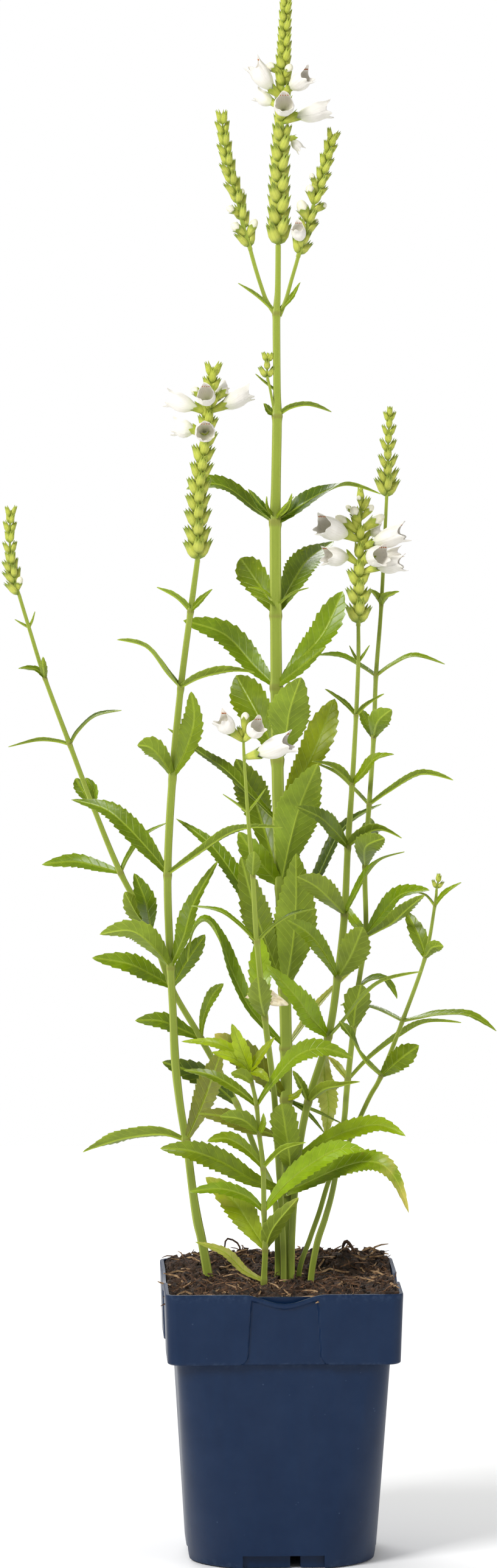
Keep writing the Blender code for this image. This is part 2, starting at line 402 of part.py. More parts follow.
def sway(across, up):
    """How far the plant leans back or forward at a spot: each side and the top go their own way."""
    left = 34.0 * smooth((-30.0 - across) / 80.0)
    left -= (16.0 * smooth((up - 340.0) / 180.0) * smooth((-14.0 - across) / 24.0)
             * (1 - smooth((-70.0 - across) / 30.0)))
    right = 14.0 * smooth((up - 330.0) / 150.0) * smooth((across - 12.0) / 18.0)
    right -= 26.0 * smooth((across - 25.0) / 60.0) * (1 - smooth((up - 330.0) / 90.0))
    return left + right + 10.0 * smooth((up - 480.0) / 240.0)


def at(point):
    """A noted (across, up, depth) as a vector with depth along Y."""
    return Vector((point[0], point[2] + sway(point[0], point[1]), point[1]))


def spread(point):
    """A noted point of a stem or leaf, further from the middle plane the higher it is."""
    across, up, depth, *_ = point
    more = (FORWARD if depth < 0 else BACKWARD) - 1
    return at((across, up, depth * (1 + more * smooth((up - SPREAD_FROM) / SPREAD_OVER))))


def place(spot):
    """The place in space, in metres, of a spot seen from the eye."""
    reach = 1.0 + spot.y / EYE_DISTANCE
    across = EYE_ACROSS + (spot.x - EYE_ACROSS) * reach
    up = EYE_HEIGHT + (spot.z - EYE_HEIGHT) * reach
    cos_turn = math.cos(EYE_TURN)
    sin_turn = math.sin(EYE_TURN)
    return Vector((across * cos_turn - spot.y * sin_turn, across * sin_turn + spot.y * cos_turn, up)) * MM


def material(kind):
    """The Principled material of one kind of surface."""
    made = bpy.data.materials.get(kind)
    if made:
        return made
    made = bpy.data.materials.new(kind)
    made.use_nodes = True
    shader = made.node_tree.nodes["Principled BSDF"]
    shader.inputs["Base Color"].default_value = COLOURS[kind]
    shader.inputs["Roughness"].default_value = 0.4 if kind == "pot" else 0.6
    shader.inputs["Metallic"].default_value = 0.0
    return made


def add_object(name, points, faces, kind, placed=True):
    """One object from points in millimetres, with its faces turned outwards."""
    mesh = bpy.data.meshes.new(name)
    spots = [place(point) for point in points] if placed else [Vector(point) * MM for point in points]
    mesh.from_pydata(spots, [], faces)
    work = bmesh.new()
    work.from_mesh(mesh)
    bmesh.ops.recalc_face_normals(work, faces=work.faces)
    bmesh.ops.triangulate(work, faces=[face for face in work.faces if len(face.verts) > 4])
    work.to_mesh(mesh)
    work.free()
    mesh.materials.append(material(kind))
    item = bpy.data.objects.new(name, mesh)
    bpy.context.scene.collection.objects.link(item)
    return item


def drop_hollows(mesh):
    """Remove the closed hollows and loose specks that a union leaves in a mesh."""
    work = bmesh.new()
    work.from_mesh(mesh)
    left = set(work.verts)
    hollow = []
    while left:
        island = {left.pop()}
        edge = list(island)
        while edge:
            beside = {link.other_vert(vert) for vert in edge for link in vert.link_edges} & left
            left -= beside
            island |= beside
            edge = list(beside)
        faces = {face for vert in island for face in vert.link_faces}
        middle = sum((vert.co for vert in island), Vector()) / len(island)
        volume = 0.0
        for face in faces:
            first, *rest = [vert.co - middle for vert in face.verts]
            volume += sum(first.dot(one.cross(other)) for one, other in zip(rest, rest[1:])) / 6
        if volume < SPECK * MM ** 3:
            hollow += list(island)
    bmesh.ops.delete(work, geom=hollow, context="VERTS")
    work.to_mesh(mesh)
    work.free()


def combine(item, others, operation):
    """Join or cut an object with others, one Boolean after the other, and remove the others."""
    for other in others:
        change = item.modifiers.new("change", "BOOLEAN")
        change.operation = operation
        change.object = other
        change.solver = "MANIFOLD"
        graph = bpy.context.evaluated_depsgraph_get()
        mesh = bpy.data.meshes.new_from_object(item.evaluated_get(graph))
        item.modifiers.clear()
        old = item.data
        item.data = mesh
        bpy.data.meshes.remove(old)
        bpy.data.objects.remove(other, do_unlink=True)
    drop_hollows(item.data)
    item.data.name = item.name
    return item


def curve_point(points, share):
    """A point on the smooth line through the points, at a share of its count of spans."""
    spans = len(points) - 1
    along = min(max(share, 0.0), 1.0) * spans
    number = min(int(along), spans - 1)
    part = along - number
    before = points[max(number - 1, 0)]
    start = points[number]
    end = points[number + 1]
    after = points[min(number + 2, spans)]
    return 0.5 * ((2 * start) + (end - before) * part + (2 * before - 5 * start + 4 * end - after)
                  * part ** 2
                  + (3 * start - before - 3 * end + after) * part ** 3)


def frame_of(direction):
    """Two directions square to a given one: to the side, and towards the eye."""
    side = direction.cross(Vector((0.0, 1.0, 0.0)))
    if side.length < 1e-4:
        side = Vector((1.0, 0.0, 0.0))
    side.normalize()
    return side, direction.cross(side).normalized()


def tube(points, widths):
    """A square tube through points, closed at both ends."""
    spots = []
    faces = []
    for number, point in enumerate(points):
        before = points[max(number - 1, 0)]
        after = points[min(number + 1, len(points) - 1)]
        side, front = frame_of((after - before).normalized())
        half = widths[number] / 2
        for turn_side, turn_front in ((-1, 1), (1, 1), (1, -1), (-1, -1)):
            spots.append(point + side * half * turn_side + front * half * turn_front)
    for number in range(len(points) - 1):
        for corner in range(4):
            low = number * 4 + corner
            beside = number * 4 + (corner + 1) % 4
            faces.append((low, beside, beside + 4, low + 4))
    last = (len(points) - 1) * 4
    faces.append((0, 1, 2, 3))
    faces.append((last, last + 1, last + 2, last + 3))
    return spots, faces


def route_at(route, height):
    """The middle of a stem at a height, and the stem's width there."""
    for low, high in zip(route, route[1:]):
        if low[1] <= height <= high[1]:
            part = (height - low[1]) / (high[1] - low[1])
            return spread(low).lerp(spread(high), part), low[3] + (high[3] - low[3]) * part
    return spread(route[-1]), route[-1][3]


def half_width(share, width, peak, start):
    """Half the width of a blade at a share of its length."""
    if share < peak:
        rise = math.sin(math.pi / 2 * share / peak) ** 1.4
        return (start + (width - start) * rise) / 2
    fall = (share - peak) / (1 - peak)
    return width / 2 * (1 - fall ** 1.7)


def blade(points, width, turns, peak):
    """A toothed blade with a raised midrib above and below, and a sharp rim."""
    length = sum((b - a).length for a, b in zip(points, points[1:]))
    stations = 2 if width < 5.0 or length < 15 else 3 if length < 48 else 4 if length < 68 else 5
    start = min(PETIOLE, width * 0.8)
    spots = []
    rims = ([], [])
    crowns = ([], [])

    whole = points[-1] - points[0]
    whole.y = 0.0
    whole.normalize()
    upwards = 1.0 if whole.cross(Vector((0.0, 1.0, 0.0))).z > 0 else -1.0

    def station(share, scale):
        centre = curve_point(points, share)
        ahead = (curve_point(points, share + 0.04) - curve_point(points, share - 0.04)).normalized()
        flat = Vector((ahead.x, 0.0, ahead.z)) + whole * 0.3
        side = flat.cross(Vector((0.0, 1.0, 0.0))).normalized() * upwards
        front = ahead.cross(side).normalized() * upwards
        angle = math.radians(turns[0] + (turns[1] - turns[0]) * share)
        top = front * math.cos(angle) + side * math.sin(angle)
        wide = top.cross(ahead).normalized()
        half = half_width(share, width, peak, start) * scale
        return centre, top, wide, half

    for number in range(stations):
        share = number / stations
        centre, top, wide, half = station(share, 1.0)
        thick = (BLADE + (BLADE_END - BLADE) * share) / 2
        crowns[0].append(len(spots))
        spots.append(centre + top * thick)
        crowns[1].append(len(spots))
        spots.append(centre - top * thick)
        for turn, rim in zip((-1, 1), rims):
            rim.append([len(spots)])
            spots.append(centre + wide * half * turn + top * half * FOLD)
        if number:
            centre, top, wide, half = station(share + 0.3 / stations, 1.0 - TOOTH)
            for turn, rim in zip((-1, 1), rims):
                rim[-1].append(len(spots))
                spots.append(centre + wide * half * turn + top * half * FOLD)
    tip = len(spots)
    spots.append(points[-1])
    faces = []
    for crown in crowns:
        for rim in rims:
            for number in range(stations):
                here = crown[number]
                after = crown[number + 1] if number + 1 < stations else tip
                edge = rim[number] + ([rim[number + 1][0]] if number + 1 < stations else [])
                for one, other in zip(edge, edge[1:]):
                    faces.append((here, one, other))
                faces.append((here, edge[-1], after))
    faces.append((crowns[0][0], rims[0][0][0], crowns[1][0]))
    faces.append((crowns[0][0], rims[1][0][0], crowns[1][0]))
    return spots, faces


def cone_frame(direction, turn):
    """Two directions square to a direction, turned about it."""
    side, front = frame_of(direction)
    return (side * math.cos(turn) + front * math.sin(turn), front * math.cos(turn) - side * math.sin(turn))


def calyx(base, direction, length, swell, open_share, lean):
    """A swollen cup, drawn in at its foot, whose mouth leans the way its flower does."""
    sides = 4
    first, second = cone_frame(direction, math.pi / sides)
    lip_first = (first - lean * first.dot(lean)).normalized()
    lip_second = lean.cross(lip_first)
    mouth = base + direction * length + lean * CUP_RISE
    spots = [base, mouth - lean * (CUP_RISE + CUP_SINK)]
    faces = []
    for number in range(sides):
        angle = 2 * math.pi * number / sides
        spots.append(base + direction * length * 0.52
                     + (first * math.cos(angle) + second * math.sin(angle)) * swell)
        spots.append(mouth + (lip_first * math.cos(angle) + lip_second * math.sin(angle)) * swell
                     * open_share)
    for number in range(sides):
        belly = 2 + number * 2
        following = 2 + (number + 1) % sides * 2
        faces.append((0, following, belly))
        faces.append((belly, following, belly + 1))
        faces.append((following, following + 1, belly + 1))
        faces.append((belly + 1, following + 1, 1))
    return spots, faces


def bud(root, centre, direction, half_length, half_wide):
    """A closed bud with four sides on a tapering foot."""
    first, second = cone_frame(direction, 0.0)
    spots = [root, centre + direction * half_length]
    faces = []
    sides = 4
    for share, scale in ((-0.5, 0.85), (0.4, 1.0)):
        for number in range(sides):
            angle = 2 * math.pi * number / sides
            out = first * math.cos(angle) + second * math.sin(angle)
            spots.append(centre + direction * half_length * share + out * half_wide * scale * 1.1)
    for number in range(sides):
        low = 2 + number
        beside = 2 + (number + 1) % sides
        faces.append((0, beside, low))
        faces.append((low, beside, beside + sides, low + sides))
        faces.append((low + sides, beside + sides, 1))
    return spots, faces


def corolla(base, mouth, girth):
    """A flared tube with a hood above and three lobes below, open at its mouth."""
    direction = (mouth - base).normalized()
    length = (mouth - base).length
    up = Vector((0.0, 0.0, 1.0))
    if abs(direction.z) > 0.85:
        up = Vector((0.0, -1.0, 0.6))
    rise = (up - direction * up.dot(direction)).normalized()
    side = direction.cross(rise)
    radius = THROAT * girth
    # angle from the right, reach past the mouth and flare of each lip point
    lips = ((0, 0.3, 0.95), (45, 2.2, 0.98), (90, 3.4, 0.86), (135, 2.2, 0.98), (180, 0.3, 0.95),
            (225, 2.2, 1.22), (270, 3.2, 1.3), (315, 2.2, 1.22))
    spots = [base, base + direction * length * 0.7]
    for share, scale in ((0.5, 0.72), (1.0, 1.04), (1.0, 0.0)):
        for degrees, reach, flare in lips:
            angle = math.radians(degrees)
            out = side * math.cos(angle) + rise * math.sin(angle)
            spots.append(base + direction * (length * share + (0.0 if scale else reach * girth))
                         + out * radius * (scale or flare))
    count = len(lips)
    faces = []
    for number in range(count):
        beside = (number + 1) % count
        for ring in (2, 2 + count):
            faces.append((ring + number, ring + beside, ring + beside + count, ring + number + count))
        faces.append((0, 2 + beside, 2 + number))
        faces.append((1, 2 + 2 * count + number, 2 + 2 * count + beside))
    return spots, faces


def build_stem(name):
    """One leafy stem: its square stem, its leaves and, on the main one, its branches."""
    route = STEMS[name]
    spots, faces = tube([spread(point) for point in route], [point[3] for point in route])
    stem = add_object(name, spots, faces, "stem")
    pieces = []
    if name == "stem_main":
        for branch in BRANCHES:
            spots, faces = tube([spread(point) for point in branch], [point[3] for point in branch])
            pieces.append(add_object("branch", spots, faces, "stem"))
        pieces += spike_pieces(*SHOOT, (), (), 0)
    for height, width, turns, peak, *points in LEAVES[name]:
        root, _ = route_at(route, height)
        spots, faces = blade([root] + [spread(point) for point in points], width, turns, peak)
        pieces.append(add_object("leaf", spots, faces, "stem"))
    return combine(stem, pieces, "UNION")


def in_flower(spot, flower, room):
    """Whether a spot lies in a flower or nearer to it than the room given."""
    start, end, girth = flower
    line = at(end) - at(start)
    part = min(max((spot - at(start)).dot(line) / line.length_squared, 0.0), 1.25)
    return (spot - at(start) - line * part).length < THROAT * girth * (0.3 + 0.9 * part) + room


def nearest_share(points, spot):
    """The share along a spike's axis that lies nearest a spot, looked for in even steps."""
    return min((step / 60 for step in range(61)),
               key=lambda share: (curve_point(points, share) - spot).length)


def spike_body(points, wide, spaces, lengths, swells, is_free):
    """The axis of a spike, with cups pushed out of its sides in pairs that turn from row to row."""
    long = sum((b - a).length for a, b in zip(points, points[1:]))
    spots = []
    faces = []

    def ring(along, half):
        share = min(along / long, 1.0)
        ahead = (curve_point(points, share + 0.02) - curve_point(points, share - 0.02)).normalized()
        side, front = frame_of(ahead)
        centre = curve_point(points, share)
        spots.extend(centre + side * half * turn_side + front * half * turn_front
                     for turn_side, turn_front in ((-1, 1), (1, 1), (1, -1), (-1, -1)))
        return centre, ahead, side, front

    def cup(foot, centre, direction, across, length, swell):
        rise = across.cross(direction).normalized()
        around = list(foot)
        for share in (BELLY, 1.0) if swell > SMALL_CUP else (1.0,):
            middle = centre + direction * length * share
            reach = swell * CUP_SQUARE
            first = len(spots)
            spots.extend(middle + across * reach * turn_across + rise * reach * CUP_FLAT * turn_rise
                         for turn_across, turn_rise in ((-1, -1), (1, -1), (1, 1), (-1, 1)))
            faces.extend((around[step], around[(step + 1) % 4], first + (step + 1) % 4, first + step)
                         for step in range(4))
            around = range(first, first + 4)
        spots.append(centre + direction * length * 0.7)
        faces.extend((around[step], around[(step + 1) % 4], len(spots) - 1) for step in range(4))

    ring(0.0, wide / 2)
    faces.append((0, 1, 2, 3))
    lower = 0
    along = FOOT_RISE
    row = 0
    while along < long - FOOT_RISE:
        share = along / long
        half = (wide + (0.8 - wide) * share) / 2
        low = len(spots)
        ring(along - FOOT_RISE / 2, half)
        high = len(spots)
        centre, ahead, side, front = ring(along + FOOT_RISE / 2, half)
        length = lengths[0] + (lengths[1] - lengths[0]) * share
        swell = swells[0] + (swells[1] - swells[0]) * share
        tilt = math.radians(43 - 9 * share)
        for step in range(4):
            beside = (step + 1) % 4
            faces.append((lower + step, lower + beside, low + beside, low + step))
        # the tube's four sides in turn: front, right, back, left
        for step, out, across in ((0, front, side), (1, side, -front), (2, -front, -side),
                                  (3, -side, front)):
            beside = (step + 1) % 4
            direction = (ahead * math.cos(tilt) + out * math.sin(tilt)).normalized()
            if step % 2 != row % 2 and is_free(row, centre, direction, length, swell):
                cup((low + step, low + beside, high + beside, high + step), centre, direction, across,
                    length, swell)
            else:
                faces.append((low + step, low + beside, high + beside, high + step))
        lower = high
        row += 1
        along += spaces[0] + (spaces[1] - spaces[0]) * share
    spots.append(points[-1] + (points[-1] - points[-2]).normalized() * FOOT_RISE)
    faces.extend((lower + step, lower + (step + 1) % 4, len(spots) - 1) for step in range(4))
    return spots, faces


def spike_pieces(axis, spaces, lengths, swells, flowers, buds, skipped):
    """The body of a spike, the cups that hold its open flowers, and its larger buds."""
    points = [at(point) for point in axis]
    long = sum((b - a).length for a, b in zip(points, points[1:]))
    wide = 2.1 if long > 50 else 1.6 if long > 12 else 1.1

    def is_free(row, centre, direction, length, swell):
        middle = centre + direction * length * 0.6
        mouth = centre + direction * length
        return row >= skipped and not (
            any(in_flower(spot, flower, swell + GAP) for spot in (middle, mouth) for flower in flowers)
            or any((middle - at(spot)).length < half + swell for spot, half, _ in buds))

    spots, faces = spike_body(points, wide, spaces, lengths, swells, is_free)
    pieces = [add_object("axis", spots, faces, "spike")]
    for start, end, girth in flowers:
        throat = at(start)
        lean = (at(end) - throat).normalized()
        below = 3.0 if lean.z > -0.3 else 0.3
        root = curve_point(points, max(nearest_share(points, throat) - below / long, 0.01))
        direction = (throat - root).normalized()
        spots, faces = calyx(root, direction, (throat - root).length, max(1.9 * girth, 1.3), 1.25, lean)
        pieces.append(add_object("calyx", spots, faces, "spike"))
    for centre, half_length, half_wide in buds:
        spot = at(centre)
        root = curve_point(points, max(nearest_share(points, spot) - 4.5 / long, 0.01))
        direction = (spot - root).normalized()
        spots, faces = bud(root, spot, direction, half_length, half_wide)
        pieces.append(add_object("bud", spots, faces, "spike"))
    return pieces


def build_spike(name):
    """One spike and the open flowers that stand in its calyces."""
    flowers = FLOWERS.get(name, ())
    pieces = spike_pieces(*SPIKES[name], flowers, BUDS.get(name, ()), SPIKE_ROWS_SKIPPED.get(name, 0))
    spike = pieces[0]
    spike.name = name
    combine(spike, pieces[1:], "UNION")
    for number, (start, end, girth) in enumerate(flowers, 1):
        spots, faces = corolla(at(start), at(end), girth)
        add_object(f"flower_{name[6:]}_{number}", spots, faces, "bloom")


def square_ring(half, corner, height, cuts=0):
    """Points round a square with rounded corners, its flats cut into equal parts."""
    points = []
    for quarter in range(4):
        middle = math.pi / 4 + quarter * math.pi / 2
        centre = Vector((math.cos(middle), math.sin(middle))) * (half - corner) * math.sqrt(2)
        for step in range(CORNER_STEPS + 1):
            angle = quarter * math.pi / 2 + step / CORNER_STEPS * math.pi / 2
            points.append(Vector((centre.x + corner * math.cos(angle), centre.y + corner * math.sin(angle),
                                  height)))
        if cuts:
            start = points[-1]
            turn = (quarter + 1) * math.pi / 2
            following = Vector((math.cos(turn + math.pi / 4), math.sin(turn + math.pi / 4)))
            next_centre = following * (half - corner) * math.sqrt(2)
            end = Vector((next_centre.x + corner * math.cos(turn), next_centre.y + corner * math.sin(turn),
                          height))
            points += [start.lerp(end, (cut + 1) / (cuts + 1)) for cut in range(cuts)]
    return points


def loft(rings):
    """A solid through rings of equal count, closed by flat ends."""
    count = len(rings[0])
    points = [point for ring in rings for point in ring]
    faces = []
    for number in range(len(rings) - 1):
        for step in range(count):
            low = number * count + step
            beside = number * count + (step + 1) % count
            faces.append((low, beside, beside + count, low + count))
    faces.append(tuple(range(count)))
    faces.append(tuple(range((len(rings) - 1) * count, len(rings) * count)))
    return points, faces


def box(low, high):
    """A box between two corners."""
    points = [(x, y, z) for x in (low[0], high[0]) for y in (low[1], high[1]) for z in (low[2], high[2])]
    return points, [(0, 1, 3, 2), (4, 6, 7, 5), (0, 4, 5, 1), (2, 3, 7, 6), (0, 2, 6, 4), (1, 5, 7, 3)]


def prism(outline, depth_of, outside):
    """A solid between an outline on the front wall and the same outline further out."""
    count = len(outline)
    points = [(x, -outside, z) for x, z in outline] + [(x, -depth_of(z), z) for x, z in outline]
    faces = [tuple(range(count)), tuple(range(count, 2 * count))]
    faces += [(step, (step + 1) % count, (step + 1) % count + count, step + count) for step in range(count)]
    return points, faces


def quarter_turns(points):
    """The same points on each of the pot's four sides."""
    for quarter in range(4):
        angle = quarter * math.pi / 2
        cos_angle = math.cos(angle)
        sin_angle = math.sin(angle)
        yield [(x * cos_angle - y * sin_angle, x * sin_angle + y * cos_angle, z) for x, y, z in points]


def body_half(height):
    """Half the pot's width outside, below the collar."""
    return FOOT_HALF + (BODY_HALF - FOOT_HALF) * height / COLLAR_LOW


def body_corner(height):
    """The radius of the pot's corners outside, below the collar."""
    return FOOT_CORNER + (BODY_CORNER - FOOT_CORNER) * (height / COLLAR_LOW) ** 0.8


def collar_half(height):
    """Half the collar's width outside."""
    return COLLAR_HALF + (RIM_HALF - COLLAR_HALF) * (height - COLLAR_LOW) / (POT_HEIGHT - COLLAR_LOW)


def inner_rings(shrink, top, cuts=0):
    """The rings of the pot's inside from its floor to a top height, drawn in by an amount."""
    middle = POT_HEIGHT * 0.4
    step_top = COLLAR_LOW + WALL
    rings = []
    for height, raised in ((FLOOR_TOP, shrink), (middle, 0.0), (step_top - 0.2, shrink)):
        level = height + raised
        rings.append(square_ring(body_half(level) - WALL - shrink, body_corner(level) - WALL - shrink,
                                 level, cuts))
    for level in (step_top + shrink + 0.2, top):
        half = collar_half(level) - COLLAR_WALL - shrink
        rings.append(square_ring(half, RIM_CORNER - COLLAR_WALL - shrink, level, cuts))
    return rings


def dip_height(x):
    """The height of the rim where it dips in the middle of a side."""
    return POT_HEIGHT - DIP_DEPTH * (0.5 + 0.5 * math.cos(math.pi * min(abs(x) / DIP_HALF, 1.0)))


def build_pot():
    """The square pot with its collar, dips, sunk panels, foot notches and label pocket."""
    middle = POT_HEIGHT * 0.4
    rings = [
        square_ring(FOOT_HALF - EDGE, FOOT_CORNER - EDGE, 0.0),
        square_ring(FOOT_HALF, FOOT_CORNER, EDGE),
        square_ring(body_half(middle), body_corner(middle), middle),
        square_ring(BODY_HALF, BODY_CORNER, COLLAR_LOW),
        square_ring(COLLAR_HALF - EDGE, RIM_CORNER, COLLAR_LOW),
        square_ring(COLLAR_HALF, RIM_CORNER + EDGE, COLLAR_LOW + EDGE),
        square_ring(RIM_HALF, RIM_CORNER, POT_HEIGHT - EDGE / 2),
        square_ring(RIM_HALF - EDGE / 2, RIM_CORNER - EDGE / 2, POT_HEIGHT),
    ]
    rings += inner_rings(0.0, POT_HEIGHT)[::-1]
    points, faces = loft(rings)
    pot = add_object("pot", points, faces, "pot", placed=False)

    inside = RIM_HALF - COLLAR_WALL
    slot_back = inside - POCKET_SLOT
    pieces = []
    low = COLLAR_LOW + WALL / 2
    points, faces = box((-POCKET_HALF, -slot_back, low),
                        (POCKET_HALF, -slot_back + POCKET_WALL, POCKET_TOP))
    pieces.append(add_object("pocket", points, faces, "pot", placed=False))
    for x in (-POCKET_HALF + RIB / 2, -POCKET_HALF / 2 - RIB, 0.0, POCKET_HALF / 2 + RIB,
              POCKET_HALF - RIB / 2):
        points, faces = box((x - RIB / 2, -inside - 0.5, low),
                            (x + RIB / 2, -slot_back + 0.3, POCKET_TOP - 3.4))
        pieces.append(add_object("rib", points, faces, "pot", placed=False))
    combine(pot, pieces, "UNION")

    cutters = []
    steps = 8
    dip = [(-DIP_HALF + 2 * DIP_HALF * step / steps, 0.0) for step in range(steps + 1)]
    dip = [(x, dip_height(x) - (0.02 if abs(x) >= DIP_HALF else 0.0)) for x, _ in dip]
    outline = [(-DIP_HALF, POT_HEIGHT + 3)] + dip + [(DIP_HALF, POT_HEIGHT + 3)]
    wall_cut, wall_faces = prism(outline, lambda z: inside - 1.2, RIM_HALF + 3)
    left = [(-PANEL_LOW_HALF - PANEL_ROUND + PANEL_ROUND * math.cos(math.radians(degrees)),
             COLLAR_LOW + PANEL_ROUND + PANEL_ROUND * math.sin(math.radians(degrees)))
            for degrees in (270, 300, 330, 360)]
    top = [(x * PANEL_TOP_HALF / DIP_HALF, dip_height(x * PANEL_TOP_HALF / DIP_HALF) - LIP) for x, _ in dip]
    panel = [(-PANEL_LOW_HALF - PANEL_ROUND, COLLAR_LOW - 2)] + left + top
    panel += [(-x, z) for x, z in reversed(left)] + [(PANEL_LOW_HALF + PANEL_ROUND, COLLAR_LOW - 2)]
    panel_cut, panel_faces = prism(panel, lambda z: collar_half(z) - PANEL_SINK, RIM_HALF + 4)
    notch_cut, notch_faces = prism(
        [(-NOTCH_HALF - 0.8, -2), (-NOTCH_HALF, NOTCH_HEIGHT), (NOTCH_HALF, NOTCH_HEIGHT),
         (NOTCH_HALF + 0.8, -2)],
        lambda z: FOOT_HALF - NOTCH_DEPTH, FOOT_HALF + 5)
    drain_cut, drain_faces = prism(
        [(DRAIN_ACROSS - DRAIN_HALF, -3), (DRAIN_ACROSS - DRAIN_HALF, NOTCH_HEIGHT - 0.7),
         (DRAIN_ACROSS + DRAIN_HALF, NOTCH_HEIGHT - 0.7), (DRAIN_ACROSS + DRAIN_HALF, -3)],
        lambda z: UNDER_HALF - 3, FOOT_HALF + 2)
    for points, faces in ((wall_cut, wall_faces), (panel_cut, panel_faces), (notch_cut, notch_faces),
                          (drain_cut, drain_faces)):
        for turned in quarter_turns(points):
            cutters.append(add_object("cutter", turned, faces, "pot", placed=False))
    corner = FOOT_CORNER - (FOOT_HALF - UNDER_HALF)
    points, faces = loft([square_ring(UNDER_HALF, corner, -2.0),
                          square_ring(UNDER_HALF - 1, corner, FLOOR_UNDER)])
    under = add_object("under", points, faces, "pot", placed=False)
    pad = [[Vector((radius * math.cos(math.pi * step / 8), radius * math.sin(math.pi * step / 8), z))
            for step in range(16)] for radius, z in ((PAD_RADIUS, -4.0), (PAD_RADIUS, FLOOR_UNDER + 2))]
    points, faces = loft(pad)
    combine(under, [add_object("pad", points, faces, "pot", placed=False)], "DIFFERENCE")
    cutters.append(under)
    combine(pot, cutters, "DIFFERENCE")


def soil_height(x, y):
    """The height of the soil: heaped at the back and the near right, low at the near left."""
    level = SOIL_LEVEL + 6.0 * smooth((y - 12) / 34) * smooth((x + 58) / 22)
    level += 5.0 * smooth((x - 34) / 18) * smooth((14 - y) / 40)
    level -= 2.0 * smooth((-x - 20) / 25) * smooth((-y - 10) / 30)
    heaps = noise.noise(Vector((x * 0.09, y * 0.09, 3.1)))
    crumbs = noise.noise(Vector((x * 0.3, y * 0.3, 7.7)))
    return level + 1.7 * heaps + 0.9 * crumbs


def build_soil():
    """The peat that fills the pot, with plain holes for the stems."""
    rings = inner_rings(GAP, SOIL_LEVEL - 4.0, SOIL_SIDE_CUTS)
    edge = rings.pop()
    rings.append([Vector((point.x, point.y, min(soil_height(point.x, point.y), POT_HEIGHT + 1.5)))
                  for point in edge])
    for share in SOIL_RINGS:
        rings.append([Vector((point.x * share, point.y * share,
                              soil_height(point.x * share, point.y * share)))
                      for point in edge])
    points, faces = loft(rings)
    faces.pop()
    count = len(edge)
    points.append(Vector((0.0, 0.0, soil_height(0.0, 0.0))))
    faces += [(len(points) - 1 - count + step, len(points) - 1 - count + (step + 1) % count,
               len(points) - 1)
              for step in range(count)]
    soil = add_object("soil", points, faces, "soil", placed=False)
    cutters = []
    for route in STEMS.values():
        first = at(route[0])
        second = at(route[1])
        way = (first - second).normalized()
        low = [first + way * GAP] + [at(point) for point in route[1:3]]
        widths = [point[3] + 2 * GAP for point in route[:3]]
        spots, faces = tube(low, widths)
        cutters.append(add_object("hole", spots, faces, "soil"))
    inside = RIM_HALF - COLLAR_WALL
    back = inside - POCKET_SLOT - POCKET_WALL - GAP
    points, faces = box((-POCKET_HALF - GAP, -inside - 4, COLLAR_LOW - 1),
                        (POCKET_HALF + GAP, -back, POT_HEIGHT + 20))
    cutters.append(add_object("hole", points, faces, "soil", placed=False))
    combine(soil, cutters, "DIFFERENCE")


def build_petal_scrap():
    """A dry petal that lies caught between the leaves."""
    count = len(PETAL_SCRAP)
    spots = [at((x, z, PETAL_SCRAP_DEPTH + side)) for side in (0.0, PETAL) for x, z in PETAL_SCRAP]
    faces = [tuple(range(count)), tuple(range(count, 2 * count))]
    faces += [(step, (step + 1) % count, (step + 1) % count + count, step + count) for step in range(count)]
    add_object("dry_petal", spots, faces, "dry")


def main():
    """Build every node."""
    clear_scene()
    build_pot()
    build_soil()
    for name in STEMS:
        build_stem(name)
    for name in SPIKES:
        build_spike(name)
    build_petal_scrap()


main()
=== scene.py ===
"""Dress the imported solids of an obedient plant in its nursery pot.

Lengths are in millimetres until a mesh is made. The plant's points are noted as they show from the
front, as (across, up, depth), and Eye carries each one to its place behind or before the pot's middle.
"""
import json
import logging
import math
from dataclasses import dataclass, field
from enum import Enum
from itertools import product
from typing import Iterable, Sequence

import bmesh
import bpy
import numpy as np
from bpy.types import ID, Material, Mesh, Node, NodeSocket, NodeTree, Object
from mathutils import Matrix, Vector, noise

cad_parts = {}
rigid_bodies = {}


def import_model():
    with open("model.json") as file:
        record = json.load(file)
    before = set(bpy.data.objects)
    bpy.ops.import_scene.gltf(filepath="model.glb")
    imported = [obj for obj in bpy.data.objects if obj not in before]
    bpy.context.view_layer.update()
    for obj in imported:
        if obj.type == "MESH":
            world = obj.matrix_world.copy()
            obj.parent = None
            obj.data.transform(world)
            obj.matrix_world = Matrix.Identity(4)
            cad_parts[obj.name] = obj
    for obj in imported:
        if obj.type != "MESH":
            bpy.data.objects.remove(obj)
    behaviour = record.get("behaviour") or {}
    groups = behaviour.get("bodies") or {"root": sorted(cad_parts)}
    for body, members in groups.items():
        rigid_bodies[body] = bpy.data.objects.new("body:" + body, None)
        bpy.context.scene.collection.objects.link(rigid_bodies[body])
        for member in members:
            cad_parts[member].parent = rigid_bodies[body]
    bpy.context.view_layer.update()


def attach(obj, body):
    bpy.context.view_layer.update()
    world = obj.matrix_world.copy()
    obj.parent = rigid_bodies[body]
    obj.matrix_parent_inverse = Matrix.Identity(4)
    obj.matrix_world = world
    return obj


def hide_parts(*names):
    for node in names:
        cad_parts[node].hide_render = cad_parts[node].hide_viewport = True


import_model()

LOG = logging.getLogger("plant")
MM = 0.001
BODY = "root"
Row = tuple[float, ...]
Colour = tuple[float, float, float]


def tone(red: int, green: int, blue: int) -> Colour:
    """A colour of the screen, from 0 to 255, as linear light."""
    return tuple(((part / 255 + 0.055) / 1.055) ** 2.4 for part in (red, green, blue))


